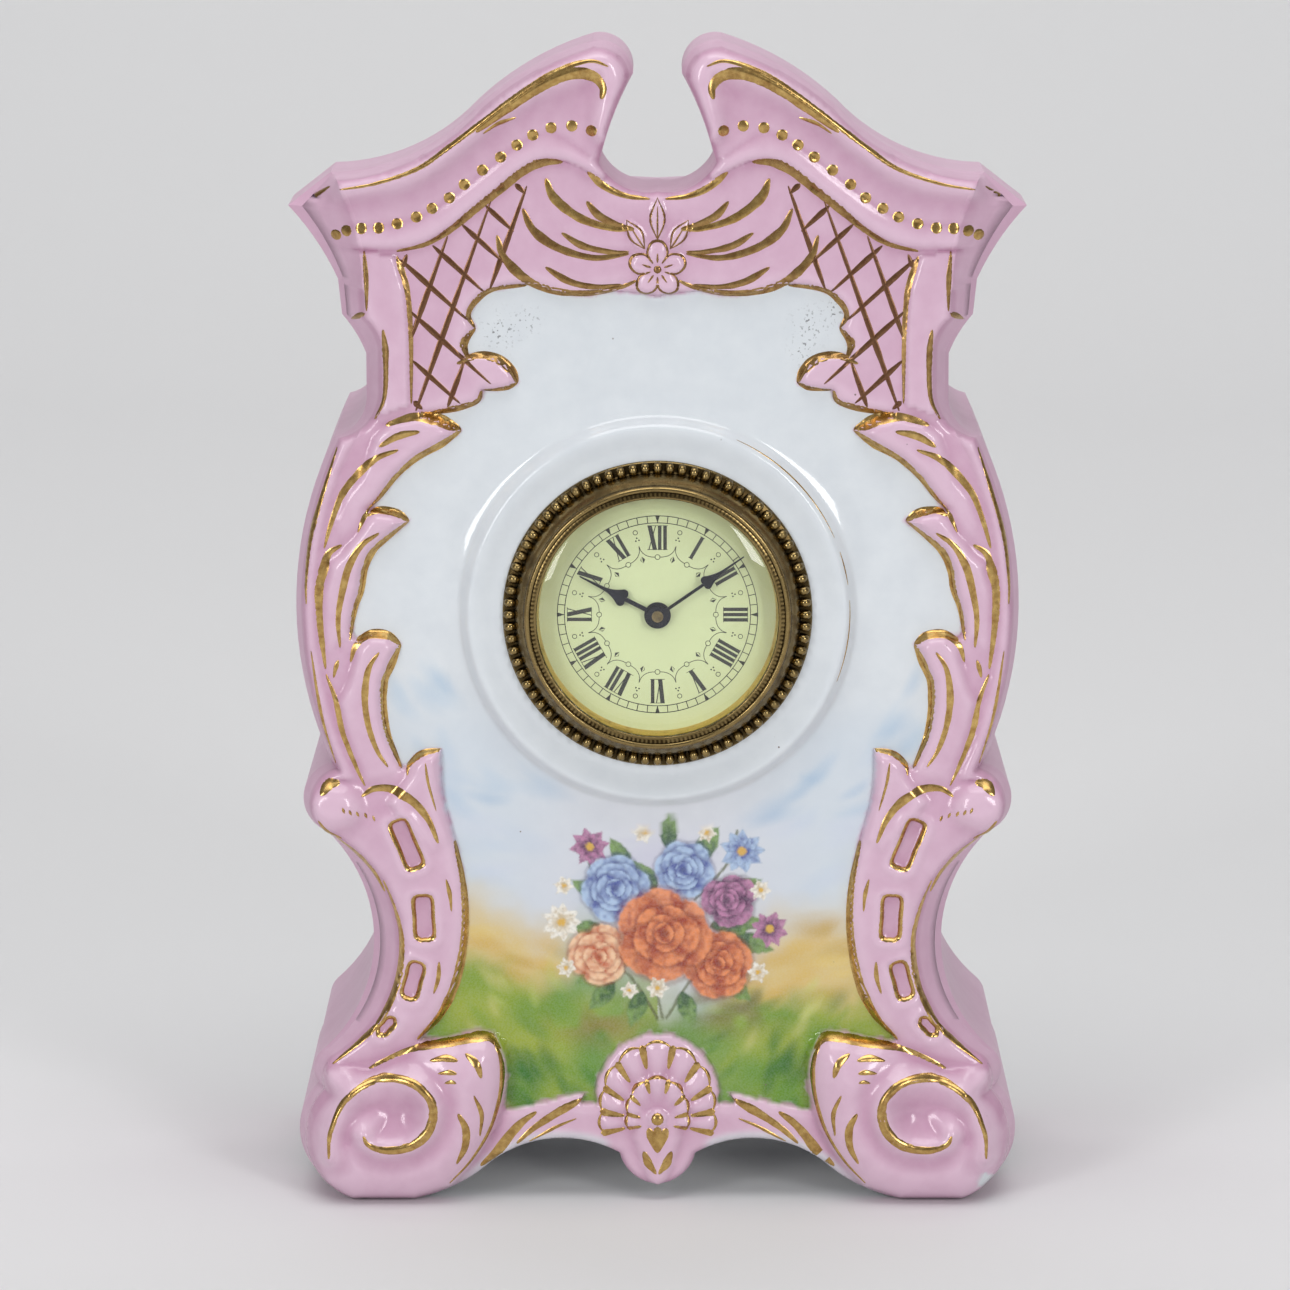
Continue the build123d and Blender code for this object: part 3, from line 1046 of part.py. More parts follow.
lever -= rod(LEVER, level(LEVER_LEVEL[0] - 1), level(LEVER_LEVEL[1] + 1), ARBOR)
nodes["pallet_lever"] = lever
nodes["lever_arbor"] = turned(LEVER, (FRONT_PLATE_Y + 0.1, level(ENDSHAKE), PIVOT),
                              (level(ENDSHAKE), level(4.0), ARBOR),
                              (level(4.0), level(PLATE_GAP - ENDSHAKE), 0.6),
                              (level(PLATE_GAP - ENDSHAKE), OUTSIDE_Y, PIVOT))

# Balance between two cup screws
CUP_DEPTH = 0.8
STAFF_PIVOT = 0.4
front_cup_y = level(1.0)
back_cup_y = BACK_PLATE_Y - 1.0
staff = turned(BALANCE, (front_cup_y - CUP_DEPTH + 0.1, front_cup_y + ENDSHAKE, STAFF_PIVOT),
               (front_cup_y + ENDSHAKE, back_cup_y - ENDSHAKE, ARBOR),
               (back_cup_y - ENDSHAKE, back_cup_y + CUP_DEPTH - 0.1, STAFF_PIVOT))
staff += rod(BALANCE, level(ROLLER_LEVEL[0]), level(ROLLER_LEVEL[1]), 2.8)
impulse = polar(BALANCE, IMPULSE_REACH, BALANCE_DIRECTION + 180.0)
staff += rod(impulse, level(1.7), level(ROLLER_LEVEL[0]), IMPULSE_PIN)
staff += rod(BALANCE, level(HAIRSPRING_LEVEL[0]), level(HAIRSPRING_LEVEL[1]), 1.1)
nodes["balance_staff"] = staff
balance = rod(BALANCE, level(RIM_LEVEL[0]), level(RIM_LEVEL[1]), BALANCE_RADIUS)
for window in crossings(BALANCE, 2.2, BALANCE_RADIUS - 1.1, 3, 1.3, level(6), level(9)):
    balance -= window
nodes["balance_wheel"] = balance - rod(BALANCE, level(6), level(9), ARBOR)
front_cup = turned(BALANCE, (FRONT_PLATE_Y - 1.6, FRONT_PLATE_Y, 2.4),
                   (FRONT_PLATE_Y, front_cup_y, CUP_SCREW))
front_cup -= rod(BALANCE, front_cup_y - CUP_DEPTH, front_cup_y + 1, STAFF_PIVOT + RUNNING)
REGULATOR_NECK = 2.0
REGULATOR_Y = (OUTSIDE_Y + 0.2, OUTSIDE_Y + 1.0)
back_cup = turned(BALANCE, (back_cup_y, OUTSIDE_Y, CUP_SCREW),
                  (OUTSIDE_Y, REGULATOR_Y[1] + 0.2, REGULATOR_NECK),
                  (REGULATOR_Y[1] + 0.2, REGULATOR_Y[1] + 1.2, 2.9))
back_cup -= rod(BALANCE, back_cup_y - 1, back_cup_y + CUP_DEPTH, STAFF_PIVOT + RUNNING)
nodes["balance_screws"] = Compound([front_cup, back_cup])
nodes["hairspring"] = flat_spiral(BALANCE, HAIRSPRING_INNER, HAIRSPRING_OUTER, HAIRSPRING_TURNS,
                                  HAIRSPRING_THICKNESS, STUD_DIRECTION, level(HAIRSPRING_LEVEL[0]),
                                  level(HAIRSPRING_LEVEL[1]))
stud_place = polar(BALANCE, HAIRSPRING_OUTER + 0.6, STUD_DIRECTION + 5.0)
stud = rod(stud_place, level(HAIRSPRING_LEVEL[0]), BACK_PLATE_Y, 0.6)
nodes["hairspring_stud"] = stud - nodes["hairspring"]
regulator = ring_disc(BALANCE, *REGULATOR_Y, REGULATOR_NECK + RUNNING, 3.4)
tail = polar(BALANCE, REGULATOR_REACH, REGULATOR_DIRECTION)
regulator += (bar_between(polar(BALANCE, 2.8, REGULATOR_DIRECTION), tail, 1.5, *REGULATOR_Y))
regulator += rod(tail, REGULATOR_Y[0], DRUM_END_Y + 2.4, 0.7)
for reach in (CURB_REACH - CURB_OFFSET, CURB_REACH + CURB_OFFSET):
    curb = polar(BALANCE, reach, REGULATOR_DIRECTION)
    regulator += rod(curb, level(HAIRSPRING_LEVEL[0] - 0.3), REGULATOR_Y[1], CURB_PIN)
nodes["regulator"] = regulator

spring_gap = (HAIRSPRING_OUTER - HAIRSPRING_INNER) / HAIRSPRING_TURNS - HAIRSPRING_THICKNESS
print("least gap between hairspring turns: %.2f mm" % spring_gap)
coil_gap = (SPRING_OUTER - SPRING_INNER) / SPRING_TURNS - SPRING_STRIP
print("least gap between mainspring turns: %.2f mm" % coil_gap)

os.makedirs("parts", exist_ok=True)
for name, shape in nodes.items():
    export_step(shape, "parts/%s.step" % name)
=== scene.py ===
"""Porcelain mantel clock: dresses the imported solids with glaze, gilding, brass, glass and print.

Drawing values are millimetres in the part's own frame: X to the right, Y to the back, Z up.
"""

import json
import math

import bmesh
import bpy
import numpy as np
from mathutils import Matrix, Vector
from mathutils.bvhtree import BVHTree
from mathutils.geometry import delaunay_2d_cdt
from mathutils.kdtree import KDTree


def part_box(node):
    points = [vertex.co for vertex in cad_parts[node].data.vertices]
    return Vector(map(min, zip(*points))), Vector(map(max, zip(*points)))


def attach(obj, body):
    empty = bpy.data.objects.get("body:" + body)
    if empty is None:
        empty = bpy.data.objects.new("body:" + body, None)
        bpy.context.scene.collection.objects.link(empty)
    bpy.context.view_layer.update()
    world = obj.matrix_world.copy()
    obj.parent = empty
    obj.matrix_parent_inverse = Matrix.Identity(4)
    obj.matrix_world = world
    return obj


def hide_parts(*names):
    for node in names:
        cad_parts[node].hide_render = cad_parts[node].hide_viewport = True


bl_info = {
    "name": "Porcelain Mantel Clock",
    "version": (1, 0, 0),
    "blender": (4, 5, 0),
    "location": "View3D > Sidebar > Clock",
    "description": "Dresses the clock's solids with glaze, gilding, brass, glass and print",
    "category": "Object",
}

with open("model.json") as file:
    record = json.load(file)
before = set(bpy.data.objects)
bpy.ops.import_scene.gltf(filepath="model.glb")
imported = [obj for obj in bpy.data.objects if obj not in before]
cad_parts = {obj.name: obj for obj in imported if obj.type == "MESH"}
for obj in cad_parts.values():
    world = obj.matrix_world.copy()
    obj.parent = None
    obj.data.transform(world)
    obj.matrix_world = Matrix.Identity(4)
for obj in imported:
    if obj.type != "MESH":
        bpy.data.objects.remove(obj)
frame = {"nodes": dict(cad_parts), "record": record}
bpy.context.view_layer.update()
MM = 0.001


def drawn_box(node):
    """A node's lowest and highest corner in millimetres."""
    low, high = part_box(node)
    return np.array(low) / MM, np.array(high) / MM


DIAL_LOW, DIAL_HIGH = drawn_box("dial")
BEZEL_LOW, BEZEL_HIGH = drawn_box("bezel_ring")
GLASS_LOW, GLASS_HIGH = drawn_box("dial_glass")
FRONT_LOW, FRONT_HIGH = drawn_box("porcelain_front")
DIAL_Z = (DIAL_LOW[2] + DIAL_HIGH[2]) / 2
DIAL_FRONT_Y = DIAL_LOW[1]
BEZEL_RADIUS = (BEZEL_HIGH[0] - BEZEL_LOW[0]) / 2
LIP_Y = BEZEL_LOW[1]
SIGHT_RADIUS = 25.4
FRONT_BACK_Y = FRONT_HIGH[1]
PANEL_Y = FRONT_BACK_Y - 5.0        # the front wall is 5 mm thick
CANT_Y = PANEL_Y + 6.5              # where the canted corners meet the sides
BEZEL_SEAT_Y = PANEL_Y - 3.0
HOLE_RADIUS = 29.6                  # for the drum
HOLLOW_REACH, HOLLOW_TOP = 50.0, 170.0      # walls within these can belong to the hollow
EAR_REACH, EAR_FOOT = 59.5, 160.0           # walls beyond these are outside
CROWN_FOOT = 205.2

# Outlines of the right half: each step is an arc (point on the way, end) or a line (end,)
NOTCH = (0.0, 217.5)
UNDERSIDE = [
    ((52.0, 0.0),),
    ((44.0, 2.7), (36.0, 8.0)),
    ((20.0, 13.4), (8.1, 10.1)),
    ((4.8, 5.0), (0.0, 3.2)),
]
SIDE_OUTLINE = [
    ((8.2, 219.2), (12.0, 223.8)),
    ((9.4, 232.4), (5.1, 241.7)),
    ((7.2, 246.6), (13.4, 248.6)),
    ((25.0, 243.8), (38.1, 234.4)),
    ((50.5, 225.3), (68.5, 221.0)),
    ((77.5, 214.0),),
    ((71.8, 206.8), (67.2, 198.5)),
    ((66.4, 191.0),),
    ((63.6, 187.2), (61.4, 182.7)),
    ((61.4, 173.0),),
    ((63.2, 168.3), (68.4, 165.0)),
    ((76.7, 132.0), (69.5, 94.6)),
    ((75.6, 85.6), (70.7, 79.5)),
    ((60.9, 57.0), (72.5, 31.0)),
    ((74.1, 27.6), (73.2, 24.0)),
    ((76.9, 10.5), (66.5, 0.0)),
] + UNDERSIDE
FRONT_OUTLINE = [
    ((8.3, 219.2), (12.3, 223.8)),
    ((9.9, 232.2), (6.0, 241.5)),
    ((8.0, 245.8), (13.4, 247.6)),
    ((24.6, 243.0), (37.6, 233.7)),
    ((50.0, 224.6), (66.5, 220.2)),
    ((64.5, 214.0),),
    ((62.6, 207.0), (61.7, 199.0)),
    ((61.7, 191.2),),
    ((59.6, 188.9), (58.1, 185.0)),
    ((58.1, 176.0),),
    ((60.2, 169.6), (66.8, 165.6)),
    ((75.0, 132.0), (67.9, 94.6)),
    ((73.6, 85.8), (68.8, 80.0)),
    ((55.0, 57.0), (69.5, 31.5)),
    ((71.6, 28.0), (71.4, 24.4)),
    ((75.2, 10.8), (65.8, 0.0)),
] + UNDERSIDE
FOOT_STEPS = (14, 15, 16)           # steps of the outline round the foot
UNDERSIDE_STEP = len(FRONT_OUTLINE) - len(UNDERSIDE)

# Edge of the white panel, right half, as smooth runs that meet in points
PANEL_RUNS = [
    [(0.0, 195.6), (8.2, 196.6), (14.1, 195.8), (20.8, 196.4), (26.8, 198.2), (33.3, 197.3), (37.2, 195.4),
     (39.5, 191.9), (38.3, 188.9)],
    [(38.3, 188.9), (40.3, 185.9), (39.9, 183.0)],
    [(39.9, 183.0), (37.5, 183.3), (33.4, 182.5), (30.5, 179.9), (29.4, 177.3)],
    [(29.4, 177.3), (32.0, 176.2), (36.5, 175.8)],
    [(36.5, 175.8), (38.0, 173.2), (43.2, 171.7), (49.2, 170.6)],
    [(49.2, 170.6), (46.1, 169.9), (43.2, 168.4), (41.2, 167.3)],
    [(41.2, 167.3), (45.4, 164.2), (50.7, 161.2), (55.2, 157.1), (58.5, 152.9), (60.6, 150.6)],
    [(60.6, 150.6), (58.6, 150.5), (54.8, 149.8), (52.3, 148.0)],
    [(52.3, 148.0), (56.0, 145.0), (59.8, 141.6), (61.7, 137.8), (62.5, 133.2), (64.0, 128.7), (64.6, 124.4)],
    [(64.6, 124.4), (63.4, 123.0), (60.7, 124.0), (56.9, 123.7), (54.3, 121.5)],
    [(54.3, 121.5), (56.2, 117.3), (57.8, 113.4), (58.0, 108.1), (57.1, 102.0), (54.2, 95.0)],
    [(54.2, 95.0), (52.7, 96.0), (50.0, 98.3), (45.9, 98.9)],
    [(45.9, 98.9), (45.9, 95.3), (45.4, 88.5), (42.8, 78.3), (41.2, 70.2), (40.7, 62.0), (41.4, 54.5),
     (43.2, 47.0), (46.4, 40.5), (50.6, 35.6)],
    [(50.6, 35.6), (46.0, 36.2), (40.6, 37.4), (36.2, 37.5), (33.2, 34.3), (31.9, 27.6), (32.4, 20.4)],
    [(32.4, 20.4), (26.2, 21.4), (18.4, 23.4), (15.2, 23.5)],
    [(15.2, 23.5), (16.2, 21.6), (13.2, 21.6)],
    [(13.2, 21.6), (13.4, 25.0), (11.6, 30.0), (8.0, 34.4), (3.4, 36.6), (0.0, 36.9)],
]

# Leaves down the side: the rolled top from the stem to the tip, then the lower edge back to the stem
LEAF_TOPS = [
    [(60.0, 166.5), (57.0, 169.2), (53.6, 169.9), (50.6, 170.6), (46.1, 169.9), (43.2, 168.4), (41.2, 167.3)],
    [(67.0, 141.5), (63.5, 146.0), (61.2, 149.3), (58.6, 150.5), (54.8, 149.8), (52.3, 148.0)],
    [(66.5, 113.0), (64.9, 118.0), (63.7, 121.8), (60.7, 124.0), (56.9, 123.7), (54.3, 121.5)],
    [(58.5, 88.0), (55.2, 91.5), (53.1, 94.5), (52.5, 96.4), (50.0, 98.3), (45.9, 98.9)],
]
LEAF_BACKS = [
    [(45.4, 164.2), (50.7, 161.2), (55.2, 157.1), (58.5, 152.9), (60.8, 150.7), (63.1, 145.8), (67.0, 143.0),
     (68.7, 147.7), (66.4, 153.7), (63.3, 157.8)],
    [(56.0, 145.0), (59.8, 141.6), (61.7, 137.8), (62.5, 133.2), (64.0, 128.7), (65.0, 122.6), (67.1, 121.1),
     (70.5, 116.5), (71.5, 125.6), (71.3, 133.0), (69.5, 139.5)],
    [(56.2, 117.3), (57.8, 113.4), (58.0, 108.1), (57.1, 102.0), (54.2, 94.7), (57.2, 92.0), (62.1, 91.2),
     (64.0, 95.0), (66.9, 102.7), (68.3, 109.6)],
    [(45.9, 95.3), (45.4, 88.5), (42.8, 78.3), (48.0, 76.0), (55.5, 84.0)],
]
STEM_LINE = [(60.0, 170.0), (64.5, 163.5), (68.2, 154.0), (70.6, 145.0), (71.9, 135.0), (71.8, 126.0),
             (70.9, 116.5), (69.0, 108.0), (66.6, 100.0), (63.5, 93.0)]
CORNICE_TOP = [(10.4, 230.5), (6.6, 240.0), (8.0, 245.8), (13.4, 247.6), (24.6, 243.0), (37.6, 233.7),
               (50.0, 224.6), (66.5, 220.2), (72.0, 219.4)]
CORNICE_FOOT = [(64.0, 205.6), (54.4, 205.3), (48.3, 206.8), (43.2, 209.8), (38.2, 213.9), (33.1, 218.0),
                (28.1, 222.0), (24.0, 224.0), (19.7, 224.0), (15.1, 222.1), (11.1, 220.0)]
LATTICE_EDGE = [(54.4, 204.2), (52.3, 197.1), (51.6, 187.4), (51.6, 173.2)]
FOOT_EDGE = [(71.9, 29.0), (66.3, 30.8), (61.0, 29.8), (54.6, 33.2), (49.9, 35.0), (44.1, 36.2), (39.4, 37.4),
             (35.5, 37.0), (32.6, 33.9), (31.9, 28.4), (32.6, 23.1), (34.4, 15.9), (38.9, 8.1), (44.0, 2.7)]
FOOT_SPIRAL = [(70.3, 11.0), (69.8, 17.0), (66.2, 24.3), (59.1, 28.2), (52.1, 27.6), (48.1, 23.4),
               (48.6, 17.9), (52.2, 14.2), (57.5, 13.1), (61.5, 14.2), (62.8, 16.3)]
# Windows in the strap: middle, width, height and lean in degrees
STRAP_WINDOWS = [((53.3, 78.6), 4.4, 11.6, 22.0), ((49.8, 62.6), 4.6, 10.2, 3.0),
                 ((52.2, 48.8), 4.0, 8.8, -15.0), ((58.0, 38.6), 2.8, 5.6, -42.0)]
WINDOW_CORNER = 0.9
FRAME_INSET, FRAME_CORNER = 0.3, 1.0        # of the gold line in a window
STRAP_Z = (30, 92)
STRAP_FADE = 12                     # length of its ends
STRAP_REACH = 38                    # the strap lies beyond it
KNUCKLE = (69.0, 86.8)
KNUCKLE_SIZE = (6.0, 5.0)
# Fans of the shell: reach at the sides, more of it upright, lobes, (base, crown, width of the rounded edge),
# (length and width of the gilt between lobes)
SHELL_FANS = ((13.0, 5.4, 9, (1.7, 1.2, 2.4), (5.0, 1.3)), (7.0, 3.6, 7, (0.9, 0.8, 1.6), (3.0, 0.9)))
SHELL_FOOT = (0.0, 17.5)
SHELL_SPREAD = math.radians(102)
FLUTE_LOW = 0.93                    # reach between two lobes, as a share of a lobe's
BUD_Z = 18.6
FLOWER = (0.0, 201.5)
PETAL_ANGLES = [90 + 72 * k for k in range(5)]
FLOWER_LEAVES = [(90, 10.6, 4.4, 1.6), (122, 8.6, 3.6, 1.5), (58, 8.6, 3.6, 1.5)]   # angle, out, half sizes
CHIP = (70.6, 4.6)                  # on the right foot only
CHIP_SLOPE = (2.4, 1.6)             # radii where it starts and where it is deep
CHIP_BARE = (1.7, 2.3)              # radii where the glaze is gone and where it is whole
# Worn specks: place and size
SPECKS = ((-33.0, 188.5, 3.2), (-27.0, 190.5, 2.2), (32.0, 189.5, 3.0), (37.0, 192.5, 2.0),
          (30.5, 184.0, 2.2))

# Mesh of the front: the whole grid, the finer one under the picture, and rings, closest on the shoulder
GRID_LOW, GRID_HIGH = (-76, 1), (76, 248)
PICTURE_LOW, PICTURE_HIGH = (-24, 40), (30, 85)
RING_RADII = (30.4, 31.4, 32.6, 33.8, 34.8, 35.8, 36.8, 37.7, 38.5, 39.1, 39.6, 40.0, 40.4, 40.8, 41.2, 41.6,
              42.0, 42.5, 43.1, 43.9, 44.8, 45.8, 47.0, 48.2)
HOLE_POINTS = 240
RIM_SHARES = (0.3, 0.65, 1.0)       # rows of points from the front edge to the back

# Heights over the panel's plane, and the widths of rounded edges
BORDER_RISE = 2.0
BORDER_ROUND = 1.8
LEAF_LIFT = 1.7
LEAF_FADE = 15.0                    # how soon a leaf sinks away from its top
STEM_SWELL = 0.8
PILASTER_RISE = 0.9
STRAP_SWELL = 1.1
KNUCKLE_RISE = 2.8
WINDOW_SINK = 1.1
WINDOW_RIM = 0.35
FOOT_RISE = 8.3
FOOT_ROUND = 11.0
SPIRAL_RISE = 1.3
SPIRAL_EYE = 3.0
SPIRAL_GROOVE = 0.9
CORNICE_RISE = 6.3
CORNICE_ROLL = 3.1
DROP_RISE = 3.3
CHIP_DEPTH = 0.7
EDGE_ROUND = 1.8
EAR_ROUND = 0.35                    # beyond EAR_EDGE and between EAR_Z
EAR_EDGE, EAR_Z = 56, (197, 222)
GROOVE_DEPTH = 0.16                 # under a gilt stroke, as a share of its width
COVE_RISE, COVE_RADII = 1.4, (48.6, 41.5)
SHOULDER_RISE, SHOULDER_RADII = 2.5, (42.2, 39.5)
DISH_SINK, DISH_RADII = 0.9, (39.4, 34.4)

# Gilt strokes, right half: points, greatest width, and where along the stroke it is widest (0 to 1)
RIM_STROKES = [
    ([(65.9, 218.6), (58.5, 219.9), (49.7, 223.0), (43.3, 227.4), (36.9, 232.2), (30.6, 236.9), (24.0, 241.4),
      (18.4, 244.2), (13.6, 245.3), (10.2, 244.2)], 1.05, 0.75),
    ([(37.6, 230.6), (31.6, 235.0), (26.0, 238.9), (21.0, 241.7), (16.6, 242.8), (13.2, 242.0), (11.3, 239.8),
      (11.6, 237.4)], 2.2, 0.7),
    ([(36.1, 230.2), (33.1, 232.2), (29.4, 233.4)], 0.7, 0.6),
    ([(75.0, 213.4), (72.6, 215.6), (68.4, 218.6)], 0.7, 0.3),
]
GILT_STROKES = [
    # pediment
    ([(54.4, 205.3), (48.3, 206.8), (43.2, 209.8), (38.2, 213.9), (33.1, 218.0), (28.1, 222.0), (24.0, 223.9),
      (19.7, 224.0)], 1.6, 0.86),
    ([(14.6, 221.9), (11.1, 218.9), (6.7, 216.9), (1.6, 216.2)], 1.2, 0.2),
    ([(61.2, 205.4), (60.8, 199.1), (60.8, 192.8)], 0.9, 0.4),
    ([(61.2, 192.3), (64.3, 190.3)], 1.0, 0.4),
    ([(57.4, 188.9), (56.9, 183.4), (57.2, 174.8), (59.3, 169.8)], 1.1, 0.2),
    # lattice frame and the white panel's upper edge
    (LATTICE_EDGE, 1.0, 0.1),
    ([(27.4, 197.9), (34.1, 197.2), (37.5, 195.2), (39.6, 191.9), (38.2, 188.9)], 1.1, 0.6),
    ([(38.2, 188.9), (40.5, 185.9), (39.8, 182.5)], 1.4, 0.5),
    ([(42.0, 181.6), (37.5, 183.2), (33.4, 182.4), (30.5, 179.9), (29.4, 177.3)], 1.6, 0.7),
    ([(29.4, 177.3), (32.0, 176.2), (36.5, 175.8)], 0.9, 0.3),
    ([(36.9, 175.8), (38.0, 173.4), (43.2, 171.8), (49.0, 170.8)], 1.3, 0.5),
    # drapery
    ([(23.3, 220.5), (21.5, 216.4), (16.3, 212.3), (9.7, 210.1), (4.9, 209.9)], 1.6, 0.22),
    ([(14.8, 215.7), (12.2, 212.7), (8.2, 210.8), (4.9, 210.1)], 1.3, 0.3),
    ([(28.1, 214.2), (25.9, 209.7), (20.8, 206.0), (13.4, 203.9), (6.0, 204.7)], 1.5, 0.25),
    ([(20.0, 209.1), (15.6, 206.4), (9.7, 205.1), (6.0, 205.1)], 1.2, 0.3),
    ([(33.5, 208.6), (31.9, 203.8), (26.7, 198.8), (20.8, 196.7), (14.1, 196.4), (8.2, 197.5), (4.4, 199.1)],
     1.6, 0.25),
    ([(23.4, 201.9), (18.6, 199.0), (13.4, 197.8), (7.5, 198.2)], 1.2, 0.25),
    # leaves
    ([(57.0, 168.6), (53.6, 169.8), (50.6, 170.4), (46.1, 169.7), (43.2, 168.3), (41.3, 167.3)], 1.8, 0.75),
    ([(41.3, 167.3), (45.4, 164.4), (50.7, 161.4), (55.2, 157.3), (58.5, 153.1), (60.8, 150.7)], 1.3, 0.2),
    ([(49.9, 167.4), (54.3, 166.5), (58.4, 164.2)], 1.4, 0.45),
    ([(54.4, 163.5), (59.2, 161.6), (63.3, 157.8), (66.4, 153.7), (68.7, 147.7), (70.2, 142.4)], 1.3, 0.3),
    ([(60.8, 150.7), (62.0, 148.4), (63.1, 145.8)], 0.8, 0.3),
    ([(61.2, 149.3), (58.6, 150.4), (54.8, 149.7), (52.4, 148.0)], 1.3, 0.6),
    ([(52.4, 148.0), (56.0, 145.2), (59.8, 141.8), (61.7, 137.9), (62.5, 133.3), (64.0, 128.7),
      (65.0, 122.6)], 1.2, 0.35),
    ([(58.6, 145.8), (62.4, 143.1), (65.0, 138.6), (66.6, 132.5), (67.4, 127.2), (67.1, 121.1)], 1.3, 0.3),
    ([(66.5, 143.1), (69.3, 141.2), (70.4, 137.8), (71.4, 133.2), (71.2, 125.6), (70.2, 116.5)], 1.45, 0.25),
    ([(64.9, 118.0), (63.7, 121.6), (60.7, 123.8), (56.9, 123.5), (54.4, 121.5)], 1.3, 0.7),
    ([(54.4, 121.5), (56.2, 117.4), (57.8, 113.5), (58.0, 108.1), (57.1, 102.0), (54.4, 94.9)], 1.3, 0.18),
    ([(58.8, 120.3), (61.1, 116.5), (61.9, 110.4), (61.2, 104.3), (59.4, 98.9), (57.2, 95.4)], 1.2, 0.35),
    ([(67.5, 118.4), (68.1, 116.5), (68.5, 114.6)], 0.8, 0.4),
    ([(70.1, 115.3), (68.1, 109.6), (66.7, 102.7), (63.8, 95.0), (62.1, 91.2)], 1.0, 0.4),
    ([(67.3, 163.8), (70.2, 154.7), (73.0, 144.9), (74.1, 135.7), (74.1, 130.5)], 0.8, 0.5),
    ([(73.2, 120.5), (71.2, 106.7), (68.3, 95.9)], 0.6, 0.5),
    ([(53.1, 93.5), (52.7, 95.6), (50.0, 98.0), (45.9, 98.8)], 0.9, 0.5),
    ([(49.2, 96.4), (48.6, 92.0), (47.0, 86.0)], 0.5, 0.3),
    # strap
    ([(43.2, 79.0), (41.5, 70.2), (41.0, 62.0), (41.7, 54.5), (43.5, 47.0), (46.8, 40.5), (51.4, 35.6)],
     1.6, 0.75),
    ([(58.4, 70.5), (55.7, 63.0), (54.6, 56.5), (55.6, 48.0), (59.2, 40.0), (63.8, 35.0), (69.6, 30.2)],
     1.1, 0.45),
    ([(45.0, 71.0), (44.2, 67.6), (43.9, 64.0)], 0.7, 0.4),
    ([(46.6, 53.0), (46.8, 49.4), (47.8, 46.0)], 0.8, 0.4),
    # foot
    ([(61.8, 29.4), (55.0, 32.8), (49.9, 34.4), (44.1, 35.4), (39.4, 36.4), (35.9, 36.4), (33.6, 34.0)],
     1.3, 0.8),
    ([(35.0, 35.6), (33.6, 32.4), (33.2, 28.0), (34.0, 22.4), (36.2, 15.8), (40.0, 9.6), (44.6, 4.6)],
     0.8, 0.2),
    (FOOT_SPIRAL, 1.7, 0.8),
    ([(48.6, 31.9), (45.4, 32.6), (42.6, 32.2)], 1.1, 0.6),
    ([(46.8, 29.4), (44.6, 29.8), (42.8, 29.6)], 0.9, 0.6),
    ([(45.4, 27.4), (44.0, 27.8), (42.9, 27.6)], 0.7, 0.6),
    ([(41.0, 33.6), (38.6, 31.6), (37.6, 28.6)], 1.3, 0.45),
    ([(42.6, 20.8), (41.0, 17.4), (41.2, 13.2), (43.0, 9.4)], 1.4, 0.4),
    ([(39.2, 24.8), (37.6, 20.4), (38.0, 15.4)], 0.8, 0.45),
    # apron
    ([(38.0, 7.6), (34.2, 11.0), (31.6, 14.6), (29.0, 17.4), (26.0, 19.6)], 1.9, 0.35),
    ([(30.2, 12.6), (26.7, 15.9), (21.3, 19.6), (16.2, 22.4)], 1.5, 0.75),
    ([(27.6, 13.0), (22.0, 16.2), (17.4, 18.2)], 0.6, 0.5),
    ([(3.0, 11.2), (1.7, 8.0), (0.5, 7.0)], 1.5, 0.5),
    # knuckle
    ([(71.4, 89.6), (69.6, 91.8), (67.4, 92.0)], 1.9, 0.5),
    ([(46.6, 79.0), (48.6, 84.0), (51.8, 88.0), (56.0, 90.4), (60.0, 90.6), (62.8, 89.0)], 1.5, 0.6),
    ([(68.6, 79.2), (64.4, 76.2), (60.8, 72.4), (58.2, 67.6)], 1.0, 0.4),
    ([(72.0, 84.0), (70.2, 81.2), (67.2, 79.6)], 0.9, 0.5),
]
GILT_DASHES = [((66.8, 87.1), (66.3, 85.9)), ((65.4, 86.6), (64.9, 85.4)), ((63.9, 86.1), (63.4, 84.9)),
               ((62.2, 85.6), (61.7, 84.4)), ((60.5, 84.9), (60.0, 83.7))]
CORNICE_DOTS = [(69.5, 207.3), (67.2, 208.4), (64.9, 209.5), (61.7, 210.2), (58.1, 210.3), (54.2, 211.2),
                (50.2, 212.6), (46.9, 214.4), (43.3, 216.6), (40.2, 219.4), (36.4, 222.4), (32.6, 225.1),
                (29.2, 227.6), (25.9, 229.7), (22.1, 231.2), (17.8, 231.6), (13.7, 230.7), (11.5, 228.7)]
LATTICE_FIELD = [(54.0, 204.6), (48.3, 206.0), (43.2, 209.0), (38.2, 213.1), (33.1, 217.2), (28.3, 221.0),
                 (26.8, 219.0), (28.6, 213.0), (31.0, 206.0), (33.2, 198.2), (37.4, 195.6), (39.8, 191.9),
                 (38.8, 188.9), (40.8, 185.9), (40.4, 182.8), (37.6, 182.6), (34.4, 181.0), (34.6, 176.6),
                 (37.2, 175.6), (38.6, 173.9), (43.2, 172.4), (51.2, 171.4), (51.8, 187.4), (52.5, 197.1)]
LATTICE_FALLING = ((-15.1, -13.8), (54.4, 204.2), 6.9)      # direction, a point on one line, spacing
LATTICE_RISING = ((-11.4, 31.6), (50.0, 173.5), 6.2)
LATTICE_WIDTH = 1.0
